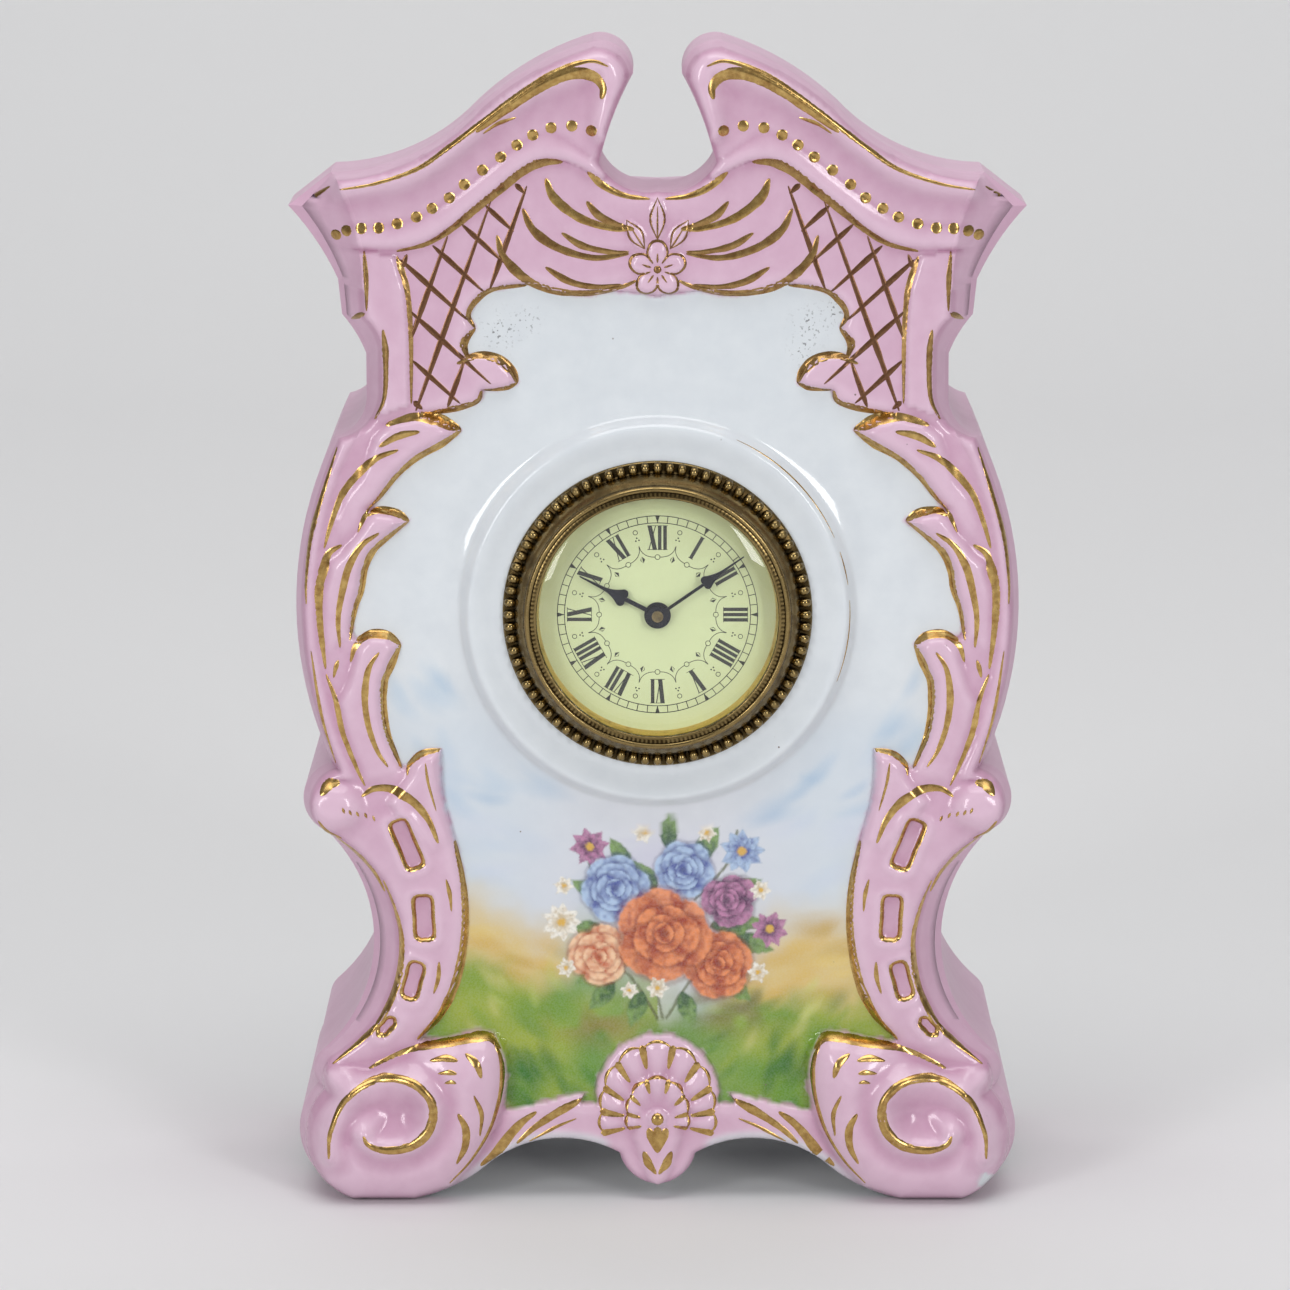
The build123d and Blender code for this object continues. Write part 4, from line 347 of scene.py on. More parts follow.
PRINTED_Z = (170, 216)              # strokes that start here are partly printed in brown
STROKE_BROWN, LATTICE_BROWN, FLOWER_BROWN = 0.45, 1.0, 0.7
GILT_HEIGHT = 0.13
FINE_GILT = 0.09
DOT_POINTS = 12
CORNICE_DOT = 1.3                   # radius
# Worn gilt line on the dial's ring: its radius, and its runs in radians from upright
RING_LINE_RADIUS = 40.6
RING_LINE_RUNS = ((0.42, 1.16), (1.24, 1.42), (1.5, 1.94))

# The dial's print
TRACK_OUTER = 21.1
TRACK_INNER = 19.6
NUMERAL_FOOT = 13.9
NUMERAL_HEIGHT = 5.1
GARLAND_RADIUS = 12.3
PRINT_LINE = 0.17
PRINT_THICKNESS = 0.03
# Strokes of the letters: place across at the top and at the foot, and width
LETTER_STROKES = {
    "I": [(0.56, 0.56, 0.74)],
    "V": [(0.50, 1.03, 0.90), (1.80, 1.03, 0.20)],
    "X": [(0.48, 1.60, 0.92), (1.74, 0.34, 0.20)],
}
LETTER_WIDTHS = {"I": 1.12, "V": 2.05, "X": 2.05}
SERIF_HALF, SERIF_GAP = 0.06, 0.03
NUMERALS = ("XII", "I", "II", "III", "IIII", "V", "VI", "VII", "VIII", "IX", "X", "XI")

# Bezel and glass
BEADS = 76
BEAD_CIRCLE = 31.2
BEAD_RADIUS = 1.1
BEAD_LENGTH = 2.7
BEAD_HEIGHT = 1.4
BEAD_POINTS, BEAD_RINGS = 10, 5
FLANGE_RISE = 1.0                   # where the beads stand
MILLED_TEETH = 180
TOOTH_HEIGHT = 0.3
# Milled ring: bright crests and dark gaps, partly polish and tarnish, partly painted highlight and shade.
TOOTH_POLISH_AND_HIGHLIGHT, GAP_POLISH_AND_SHADE = 0.72, 0.1
GLASS_FLAT = 22.7                   # radius inside the glass's bevel
GLASS_CORE = 8.0                    # radius of the fan of faces in the middle
BEVEL_SLOPE = (13.0, 25.0)          # degrees, at the bevel's inner and outer edge
BEVEL_STEPS = 9
BEVEL_GAP = 0.2                     # between the flat's last ring and the bevel's first
GLASS_POINTS = 144

# Camera: a little above the dial's level and about 1.2 m away, as in the photo
VIEW_DISTANCE = 1200.0
VIEW_RISE = math.radians(10.5)
PHOTO_WIDTH = 1290.0
FOCAL_PIXELS = 5692.0
DIAL_PIXEL = (657.5, 614.0)

# Stage: the sheet in millimetres, the soft boxes in metres
SHEET_HALF = 4000.0
SHEET_FRONT = -3000.0
SWEEP_START = 1100.0
SWEEP_RADIUS = 700.0
SHEET_TOP = 4000.0
CLOCK_MIDDLE = (0.0, 0.0, 0.13)
BACKDROP_MIDDLE = (0.0, 1.8, 0.5)
# Name, place, target, width, height and share of the key light's power
SOFT_BOXES = (
    ("left_box", (-0.78, -1.05, 0.50), CLOCK_MIDDLE, 0.26, 0.70, 1.0),
    ("right_box", (0.68, -1.12, 0.56), CLOCK_MIDDLE, 0.24, 0.60, 1.0),
    ("top_box", (0.0, -0.40, 1.7), CLOCK_MIDDLE, 1.4, 1.0, 2.5),
    ("back_box", (0.0, 0.75, 1.9), BACKDROP_MIDDLE, 2.4, 0.5, 3.0),
)


def srgb(red, green, blue):
    """Linear colour with full alpha from 8 bit display values."""
    parts = [value / 255 for value in (red, green, blue)]
    linear = [p / 12.92 if p <= 0.04045 else ((p + 0.055) / 1.055) ** 2.4 for p in parts]
    return tuple(linear) + (1.0,)


# Lines and fields in the drawing plane


def arc(start, via, end, count):
    """Points on the circle through three points, from the start (left out) to the end."""
    (ax, ay), (bx, by), (cx, cy) = start, via, end
    twice = 2 * (ax * (by - cy) + bx * (cy - ay) + cx * (ay - by))
    a2, b2, c2 = ax * ax + ay * ay, bx * bx + by * by, cx * cx + cy * cy
    ux = (a2 * (by - cy) + b2 * (cy - ay) + c2 * (ay - by)) / twice
    uy = (a2 * (cx - bx) + b2 * (ax - cx) + c2 * (bx - ax)) / twice
    radius = math.hypot(ax - ux, ay - uy)
    first = math.atan2(ay - uy, ax - ux)
    middle = (math.atan2(by - uy, bx - ux) - first) % math.tau
    last = (math.atan2(cy - uy, cx - ux) - first) % math.tau
    if middle > last:
        last -= math.tau
    turns = [first + last * k / count for k in range(1, count + 1)]
    return [(ux + radius * math.cos(t), uy + radius * math.sin(t)) for t in turns]


def trace(start, steps, counts):
    """Points along an outline of arcs and lines, and the number of the step each came from."""
    line = [start]
    origin = [0]
    for number, (step, count) in enumerate(zip(steps, counts)):
        here = line[-1]
        if len(step) == 2:
            line += arc(here, step[0], step[1], count)
        else:
            end = step[0]
            line += [(here[0] + (end[0] - here[0]) * k / count, here[1] + (end[1] - here[1]) * k / count)
                     for k in range(1, count + 1)]
        origin += [number] * count
    return np.array(line), origin


def step_counts(start, steps, spacing):
    """How many points each step of an outline needs at a spacing."""
    counts = []
    here = start
    for step in steps:
        corners = [here] + list(step)
        length = sum(math.dist(a, b) for a, b in zip(corners, corners[1:]))
        counts.append(max(2, math.ceil(length / spacing)))
        here = step[-1]
    return counts


def flowing(points, spacing=0.5):
    """Smooth curve through points."""
    knots = np.array(points, dtype=float)
    padded = np.vstack([2 * knots[0] - knots[1], knots, 2 * knots[-1] - knots[-2]])
    line = []
    for k in range(1, len(padded) - 2):
        before, start, end, after = padded[k - 1:k + 3]
        count = max(2, math.ceil(np.linalg.norm(end - start) / spacing))
        for t in np.arange(count) / count:
            line.append(0.5 * (2 * start + (end - before) * t
                               + (2 * before - 5 * start + 4 * end - after) * t * t
                               + (3 * start - before - 3 * end + after) * t ** 3))
    line.append(knots[-1])
    return np.array(line)


def distance(spots, line):
    """Distance of each spot to a line."""
    best = np.full(len(spots), 1e9)
    for start, end in zip(line[:-1], line[1:]):
        run = end - start
        length = max(float(run @ run), 1e-12)
        along = np.clip((spots - start) @ run / length, 0, 1)
        gap = spots - start - along[:, None] * run
        best = np.minimum(best, np.einsum("ij,ij->i", gap, gap))
    return np.sqrt(best)


def inside(spots, ring):
    """True for the spots inside a closed ring."""
    x, z = spots[:, 0], spots[:, 1]
    odd = np.zeros(len(spots), dtype=bool)
    for (ax, az), (bx, bz) in zip(ring, np.roll(ring, -1, axis=0)):
        if az == bz:
            continue
        crosses = (az > z) != (bz > z)
        odd ^= crosses & (x < (bx - ax) * (z - az) / (bz - az) + ax)
    return odd


def folded(spots):
    """The same spots with those of the left half laid on the right half."""
    return np.column_stack([np.abs(spots[:, 0]), spots[:, 1]])


def from_dial(spots):
    """Distance of each spot to the dial's centre."""
    return np.hypot(spots[:, 0], spots[:, 1] - DIAL_Z)


def axes(angle):
    """Unit vectors along a heading in degrees and across it."""
    turn = math.radians(angle)
    return np.array([math.cos(turn), math.sin(turn)]), np.array([-math.sin(turn), math.cos(turn)])


def rounded(t):
    """Quarter circle from 0 to 1."""
    t = np.clip(t, 0, 1)
    return np.sqrt(1 - (1 - t) ** 2)


def ramp(low, high, value):
    """Smooth step from 0 at low to 1 at high."""
    t = np.clip((value - low) / (high - low), 0, 1)
    return t * t * (3 - 2 * t)


def bell(value, middle, width):
    """Bell curve with its top of 1 at the middle."""
    return np.exp(-((value - middle) / width) ** 2)


def arched(one, other):
    """Round rise between two edges, from the distances to them."""
    return np.sin(math.pi * one / (one + other + 1e-6))


def cloud(spots, cell, seed):
    """Smooth random field from -1 to 1 with features about one cell wide."""
    table = np.random.default_rng(seed).uniform(-1, 1, (97, 97))
    place = np.asarray(spots) / cell
    corner = np.floor(place).astype(int)
    part = place - corner
    part = part * part * (3 - 2 * part)
    i, j = corner[:, 0] % 97, corner[:, 1] % 97
    i1, j1 = (i + 1) % 97, (j + 1) % 97
    low = table[i, j] * (1 - part[:, 0]) + table[i1, j] * part[:, 0]
    high = table[i, j1] * (1 - part[:, 0]) + table[i1, j1] * part[:, 0]
    return low * (1 - part[:, 1]) + high * part[:, 1]


def window_depth(spots, middle, width, height, lean):
    """Signed distance to a strap window with rounded corners, negative inside."""
    across, along = axes(-lean)
    local = spots - np.array(middle)
    dx = np.abs(local @ across) - width / 2 + WINDOW_CORNER
    dz = np.abs(local @ along) - height / 2 + WINDOW_CORNER
    outside = np.hypot(np.maximum(dx, 0), np.maximum(dz, 0))
    return outside + np.minimum(np.maximum(dx, dz), 0) - WINDOW_CORNER


PANEL_LINE = np.vstack([flowing(run, 0.6)[:-1] for run in PANEL_RUNS] + [np.array([PANEL_RUNS[-1][-1]])])
PANEL_RING = np.vstack([PANEL_LINE, [(-1.0, 36.9), (-1.0, 195.6)]])
OUTLINE_COUNTS = step_counts(NOTCH, FRONT_OUTLINE, 0.75)
FRONT_LINE, FRONT_ORIGIN = trace(NOTCH, FRONT_OUTLINE, OUTLINE_COUNTS)
SIDE_LINE, _ = trace(NOTCH, SIDE_OUTLINE, OUTLINE_COUNTS)
FOOT_LINE = flowing(FOOT_EDGE, 0.6)


# Relief of the porcelain front


def ring_rise(spots):
    """The turned ring round the dial: hollow cove, round shoulder and the seat of the bezel."""
    radius = from_dial(spots)
    outer, inner = COVE_RADII
    cove = COVE_RISE * np.clip((outer - radius) / (outer - inner), 0, 1) ** 2
    return cove + SHOULDER_RISE * ramp(*SHOULDER_RADII, radius) - DISH_SINK * ramp(*DISH_RADII, radius)


def leaf_rise(spots):
    """Overlapping leaves: each one is highest at its rolled top and sinks under the next."""
    rise = np.zeros(len(spots))
    for top, back in zip(LEAF_TOPS, LEAF_BACKS):
        crest = flowing(top)
        ring = np.vstack([crest, np.array(back)])
        within = inside(spots, ring)
        edge = distance(spots, np.vstack([ring, ring[:1]]))
        fall = np.exp(-distance(spots, crest) / LEAF_FADE)
        rise = np.maximum(rise, np.where(within, LEAF_LIFT * fall * ramp(0.0, 2.4, edge), 0))
    return rise


def cornice_rise(spots):
    """Swan-neck cornice: a roll along the top, a cove under it and a narrow fascia."""
    top = flowing(CORNICE_TOP)
    foot = flowing(CORNICE_FOOT)
    ring = np.vstack([top, [(80.0, 205.6)], foot])
    within = inside(spots, ring)
    above, below = distance(spots, top), distance(spots, foot)
    share = above / (above + below + 1e-6)
    roll = CORNICE_ROLL * bell(share, 0.13, 0.17)
    fascia = 0.5 * bell(share, 0.84, 0.10)
    crease = -0.4 * bell(share, 0.66, 0.05)
    body = CORNICE_RISE - CORNICE_ROLL + roll + fascia + crease
    body = body + (BORDER_RISE - body) * ramp(0.93, 1.0, share)
    return np.where(within, body, 0)


def foot_rise(spots):
    """Rounded scroll foot with a raised spiral and a dished eye."""
    outer = FRONT_LINE[[k for k, step in enumerate(FRONT_ORIGIN) if step in FOOT_STEPS]]
    ring = np.vstack([FOOT_LINE, outer[::-1]])
    closed = np.vstack([ring, ring[:1]])
    within = inside(spots, ring)
    rise = FOOT_RISE * rounded(distance(spots, closed) / FOOT_ROUND)
    spiral = flowing(FOOT_SPIRAL)
    near = distance(spots, spiral)
    groove = SPIRAL_GROOVE * bell(near, 3.8, 2.0)
    rise = rise + SPIRAL_RISE * bell(near, 0.0, 1.6)
    rise = rise - np.where(inside(spots, spiral), SPIRAL_EYE * ramp(0.4, 7.5, near), groove)
    return np.where(within, np.clip(rise, 0, -FRONT_LOW[1] + PANEL_Y), 0)


def fan_reach(turn, low, gain):
    """How far a shell's fan reaches at an angle from upright."""
    return low + gain * np.cos(np.clip(turn, -math.pi / 2, math.pi / 2)) ** 2


def shell_rise(spots):
    """Scallop shell with round flutes, a small shell on it, a bud and the drop below."""
    away = spots - np.array(SHELL_FOOT)
    radius = np.hypot(away[:, 0], away[:, 1])
    turn = np.arctan2(away[:, 0], away[:, 1])
    rise = np.zeros(len(spots))
    for low, gain, lobes, (base, crown, edge), _ in SHELL_FANS:
        flute = np.abs(np.cos(turn * math.pi / (2 * SHELL_SPREAD) * lobes)) ** 0.8
        reach = fan_reach(turn, low, gain) * (FLUTE_LOW + (1 - FLUTE_LOW) * flute)
        fan = np.where(np.abs(turn) < SHELL_SPREAD, rounded((reach - radius) / edge), 0)
        rise += fan * (base + crown * flute * ramp(0.25, 0.75, radius / reach))
    width = np.interp(spots[:, 1], [3.0, 5.0, 8.0, 14.0, 22.0], [1.4, 3.0, 4.4, 6.2, 5.0])
    drop = DROP_RISE * rounded((width - np.abs(spots[:, 0])) / 3.4) * ramp(23, 19, spots[:, 1])
    bud = 1.2 * rounded(1 - np.hypot(spots[:, 0] / 1.9, (spots[:, 1] - BUD_Z) / 2.4))
    return np.maximum(rise, drop) + bud


def flower_rise(spots):
    """Five petals, three leaves above them and the round heart."""
    rise = np.zeros(len(spots))
    petals = [(angle, 3.5, 2.4, 2.0) for angle in PETAL_ANGLES]
    for angle, out, half_long, half_wide in petals + FLOWER_LEAVES:
        ahead, side = axes(angle)
        local = spots - np.array(FLOWER) - out * ahead
        across = local @ side
        level = 1 - np.hypot(local @ ahead / half_long, across / half_wide)
        vein = 0.25 * bell(across, 0.0, 0.5)
        rise = np.maximum(rise, np.where(level > 0, rounded(level * 2.2) - vein, 0))
    heart = 1 - np.hypot(spots[:, 0] - FLOWER[0], spots[:, 1] - FLOWER[1]) / 1.5
    return rise + np.where(heart > 0, 0.9 * rounded(heart), 0)


def chip_reach(points):
    """Distance of each point to the chip's middle, made uneven."""
    return np.hypot(points[:, 0] - CHIP[0], points[:, 1] - CHIP[1]) + 0.5 * cloud(points, 1.1, 31)


def relief(points):
    """Height of the porcelain over the panel's plane, towards the viewer."""
    spots = folded(points)
    x, z = spots[:, 0], spots[:, 1]
    panel = inside(spots, PANEL_RING)
    edge = distance(spots, PANEL_LINE)
    margin = distance(spots, FRONT_LINE)
    rise = np.where(panel, 0, BORDER_RISE * rounded(edge / BORDER_ROUND))
    rise += leaf_rise(spots)
    for stroke, width, _ in GILT_STROKES:
        groove = distance(spots, np.array(stroke))
        groove = GROOVE_DEPTH * width * bell(groove, 0.0, 0.5 + 0.45 * width)
        rise -= np.where(panel, 0, groove) * (edge > 0.9)
    stem = flowing(STEM_LINE, 1.0)
    beyond = inside(spots, np.vstack([stem, [(90.0, 93.0), (90.0, 170.0)]]))
    to_stem = distance(spots, stem)
    rise += np.where(beyond, STEM_SWELL * arched(to_stem, margin), 0)
    pilaster = inside(spots, np.array(LATTICE_EDGE + [(60.0, 170.0), (64.0, 190.0), (64.0, 205.5)]))
    rise += np.where(pilaster, PILASTER_RISE * ramp(0.0, 1.1, distance(spots, np.array(LATTICE_EDGE))), 0)
    low, high = STRAP_Z
    strap = ~panel & (z > low) & (z < high) & (x > STRAP_REACH)
    ends = ramp(low, low + STRAP_FADE, z) * ramp(high, high - STRAP_FADE, z)
    rise += np.where(strap, STRAP_SWELL * arched(edge, margin) * ends, 0)
    away = (spots - np.array(KNUCKLE)) / np.array(KNUCKLE_SIZE)
    rise += KNUCKLE_RISE * np.exp(-(away[:, 0] ** 2 + away[:, 1] ** 2) ** 2)
    for middle, width, height, lean in STRAP_WINDOWS:
        depth = window_depth(spots, middle, width, height, lean)
        rise -= WINDOW_SINK * ramp(0.5, -1.2, depth)
        rise += WINDOW_RIM * bell(depth, 0.8, 0.8)
    for ornament in (cornice_rise, ring_rise, foot_rise, shell_rise):
        rise = np.maximum(rise, ornament(spots))
    flower = flower_rise(spots)
    rise = np.maximum(rise, (BORDER_RISE - 0.2 + flower) * (flower > 0))
    rise -= CHIP_DEPTH * ramp(*CHIP_SLOPE, chip_reach(points))
    corner = np.where((x > EAR_EDGE) & (z > EAR_Z[0]) & (z < EAR_Z[1]), EAR_ROUND, EDGE_ROUND)
    sharp = np.clip(corner - margin, 0, None)
    return rise - (corner - np.sqrt(np.maximum(corner ** 2 - sharp ** 2, 0)))


def mirrored(line):
    """The same line on the left."""
    return line * np.array([-1.0, 1.0])


def whole_loop(half):
    """Closed loop round both halves, without the doubled points on the middle."""
    return np.vstack([half, mirrored(half[1:-1])[::-1]])


def hexagon_grid(spacing, low, high):
    """Staggered grid of spots over a rectangle."""
    rows = []
    step = spacing * math.sqrt(3) / 2
    for number, z in enumerate(np.arange(low[1], high[1], step)):
        x = np.arange(low[0], high[0], spacing) + (spacing / 2 if number % 2 else 0)
        rows.append(np.column_stack([x, np.full(len(x), z)]))
    return np.vstack(rows)


def clear_of(spots, lines, gap):
    """The spots that keep a gap to all the points of some lines."""
    taken = np.vstack(lines)
    tree = KDTree(len(taken))
    for number, (x, z) in enumerate(taken):
        tree.insert((x, z, 0.0), number)
    tree.balance()
    keep = [tree.find((x, z, 0.0))[2] > gap for x, z in spots]
    return spots[np.array(keep)]


def triangulate(loops, lines, spots):
    """Triangles over the ring between the first loop and the second, through all lines and spots."""
    points = []
    edges = []
    for loop in loops:
        first = len(points)
        points += [tuple(p) for p in loop]
        edges += [(first + k, first + (k + 1) % len(loop)) for k in range(len(loop))]
    for line in lines:
        first = len(points)
        points += [tuple(p) for p in line]
        edges += [(first + k, first + k + 1) for k in range(len(line) - 1)]
    points += [tuple(p) for p in spots]
    flat, _, faces, origins, _, _ = delaunay_2d_cdt([Vector(p) for p in points], edges, [], 0, 1e-4)
    flat = np.array([(p.x, p.y) for p in flat])
    place = {}
    for number, sources in enumerate(origins):
        for source in sources:
            place[source] = number
    faces = np.array(faces)
    middles = flat[faces].mean(axis=1)
    keep = inside(middles, loops[0]) & ~inside(middles, loops[1])
    return flat, faces[keep], place


def drawn_mesh(name, points, faces, material, smooth=True):
    """New object from points in millimetres."""
    mesh = bpy.data.meshes.new(name)
    mesh.from_pydata((np.asarray(points) * MM).tolist(), [], [list(map(int, f)) for f in faces])
    mesh.materials.append(material)
    mesh.validate()
    if smooth:
        mesh.shade_smooth()
        mesh.set_sharp_from_angle(angle=math.radians(60))
    piece = bpy.data.objects.new(name, mesh)
    bpy.context.scene.collection.objects.link(piece)
    return piece


def on_ring(radius, y, turn):
    """A point of a piece turned about the dial's axis, by clock angle."""
    return radius * math.sin(turn), y, DIAL_Z + radius * math.cos(turn)


def turned_faces(around, wide):
    """Faces between neighbouring profiles of a piece turned about the dial's axis."""
    faces = []
    for k in range(around):
        for j in range(wide - 1):
            a, b = k * wide + j, ((k + 1) % around) * wide + j
            faces.append((a, a + 1, b + 1, b))
    return faces


def stitched(ahead, behind):
    """Faces between two closed rows of points."""
    return [[a, b, d, c] for a, b, c, d in zip(ahead, behind, np.roll(ahead, -1), np.roll(behind, -1))]


def dome_faces(first, around, rings):
    """Faces of a dome whose top point is the first, followed by its rings."""
    faces = []
    for k in range(around):
        after = (k + 1) % around
        faces.append((first, first + 1 + k, first + 1 + after))
        for j in range(rings - 1):
            a = first + 1 + j * around
            faces.append((a + k, a + around + k, a + around + after, a + after))
    return faces


def outward(piece):
    """Turn the faces of a closed mesh outwards."""
    shape = bmesh.new()
    shape.from_mesh(piece.data)
    bmesh.ops.recalc_face_normals(shape, faces=shape.faces)
    shape.to_mesh(piece.data)
    shape.free()


def set_value(piece, name, values, rest=0.0):
    """Store a number per point, the same one for all the points past the given values."""
    full = np.full(len(piece.data.vertices), rest, dtype=np.float32)
    full[:len(values)] = values
    piece.data.attributes.new(name, "FLOAT", "POINT").data.foreach_set("value", full)


def set_colour(piece, name, values):
    """Store a colour per point, white for all the points past the given values."""
    full = np.ones((len(piece.data.vertices), 4), dtype=np.float32)
    full[:len(values), :3] = values
    piece.data.attributes.new(name, "FLOAT_COLOR", "POINT").data.foreach_set("color", full.ravel())


def pooled_and_shaded(heights, faces):
    """How deep each point lies below its surroundings, from -1 to 1: deeper pink, pooled wash and painted
    shade.
    """
    pairs = np.vstack([faces[:, [0, 1]], faces[:, [1, 2]], faces[:, [2, 0]]])
    count = np.zeros(len(heights))
    np.add.at(count, pairs[:, 0], 1)
    np.add.at(count, pairs[:, 1], 1)
    level = heights.copy()
    for _ in range(14):
        total = np.zeros(len(heights))
        np.add.at(total, pairs[:, 0], level[pairs[:, 1]])
        np.add.at(total, pairs[:, 1], level[pairs[:, 0]])
        level = total / np.maximum(count, 1)
    return np.clip(level - heights, -1, 1)


# Painting on the panel


def between(dark, light, tone):
    """Colours from dark to light, one for each tone."""
    tone = np.asarray(tone)[:, None]
    return np.array(dark[:3]) * (1 - tone) + np.array(light[:3]) * tone


class Canvas:
    """Colours laid over each other on a set of spots."""

    def __init__(self, spots):
        self.spots = spots
        self.colour = np.ones((len(spots), 3))
        self.cover = np.zeros(len(spots))

    def lay(self, colour, cover, near=slice(None)):
        """Lay a colour over what is there, on all spots or on some."""
        cover = np.clip(cover, 0, 1)
        total = cover + self.cover[near] * (1 - cover)
        share = np.where(total > 1e-6, cover / np.maximum(total, 1e-6), 0)[:, None]
        self.colour[near] = self.colour[near] * (1 - share) + np.asarray(colour)[..., :3] * share
        self.cover[near] = total

    def local(self, base, angle, reach):
        """The spots near a base, with their place along and across a heading."""
        ahead, side = axes(angle)
        away = self.spots - np.array(base)
        near = np.flatnonzero(np.hypot(away[:, 0], away[:, 1]) < reach)
        return near, away[near] @ ahead, away[near] @ side

    def dab(self, middle, angle, length, half, colour, strength, seed):
        """A soft stroke of a wet brush with the trace of its bristles."""
        near, along, across = self.local(middle, angle, length)
        bend = across - 0.12 * along ** 2 / length
        bristle = cloud(np.column_stack([along * 0.25, bend]), 0.9, seed)
        soft = ramp(1.0, 0.1, np.hypot(along / length * 1.05, bend / half) + 0.16 * bristle)
        self.lay(colour, strength * soft * (0.85 + 0.15 * bristle), near)

    def petal(self, base, angle, length, half, dark, light):
        """A pointed petal or leaf, dark at its base and light at its tip."""
        near, along, across = self.local(base, angle, length * 1.1)
        along, across = along / length, across / half
        room = np.sin(math.pi * np.clip(along, 0, 1) ** 0.8) - np.abs(across)
        grain = cloud(self.spots[near], 0.8, int(abs(angle)) % 50)
        colour = between(dark, light, ramp(0.05, 0.95, along + 0.3 * grain))
        shade = (0.25 * bell(room, 0.0, 0.2) + 0.2 * bell(across, 0.0, 0.1))[:, None]
        self.lay(np.clip(colour * (1 - shade), 0, 1), 0.95 * ramp(0.0, 0.25, room + 0.08 * grain), near)

    def scallop(self, base, angle, length, half, dark, light, seed):
        """A round petal, dark where it starts and light at its lip, with a shadow round it."""
        near, along, across = self.local(base, angle, length * 1.3)
        along, across = along / length, across / half
        grain = cloud(self.spots[near], 0.75, seed)
        level = 1 - np.hypot(2 * along - 1, across) + 0.05 * grain
        self.lay(np.array(dark[:3]) * 0.55, 0.36 * bell(level, -0.02, 0.12), near)
        tone = np.clip(1.3 * along - 0.22 - 0.3 * across ** 2 + 0.36 * grain, 0, 1)
        self.lay(between(dark, light, tone), 0.96 * ramp(0.0, 0.14, level), near)


RUST = (srgb(158, 52, 24), srgb(236, 146, 92))
APRICOT = (srgb(196, 88, 44), srgb(246, 204, 164))
BLUE = (srgb(78, 92, 162), srgb(178, 202, 232))
PLUM = (srgb(88, 46, 84), srgb(196, 132, 172))
CREAM = (srgb(206, 186, 150), srgb(250, 246, 236))
LEAF_GREEN = (srgb(46, 88, 44), srgb(126, 160, 84))
STAMEN = srgb(222, 176, 70)
ROSE_RINGS = ((6, 0.30, 0.78), (5, 0.18, 0.62), (4, 0.08, 0.48), (3, 0.0, 0.34))    # petals, place and length


def paint_rose(canvas, centre, radius, tones, lean):
    """A full rose: rings of round petals that close over a dark heart."""
    centre = np.array(centre)
    for ring, (count, out, size) in enumerate(ROSE_RINGS):
        for k in range(count):
            angle = lean + 360 * k / count + 31 * ring + 9 * math.sin(3.3 * k + 2.1 * ring + lean)
            ahead, _ = axes(angle)
            base = centre + ahead * radius * (out - 0.12)
            reach = radius * size * (1 + 0.10 * math.sin(5.7 * k + ring + lean))
            canvas.scallop(base, angle, reach, reach * 0.62, *tones, 40 + 7 * ring + k)
    near = np.hypot(*(canvas.spots - centre).T)
    canvas.lay(np.array(tones[0][:3]) * 0.6, 0.7 * ramp(radius * 0.14, radius * 0.04, near))


def paint_daisy(canvas, centre, radius, tones, petals, lean):
    """An open flower of narrow petals round a yellow heart."""
    for ring, reach in enumerate((1.0, 0.72)):
        for k in range(petals):
            angle = lean + 360 * (k + 0.5 * ring) / petals + 5 * math.sin(4.1 * k)
            canvas.petal(centre, angle, radius * reach, radius * reach * 0.30, *tones)
    near = np.hypot(*(canvas.spots - np.array(centre)).T)
    canvas.lay(STAMEN, 0.95 * ramp(radius * 0.24, radius * 0.14, near + 0.2 * cloud(canvas.spots, 0.5, 9)))


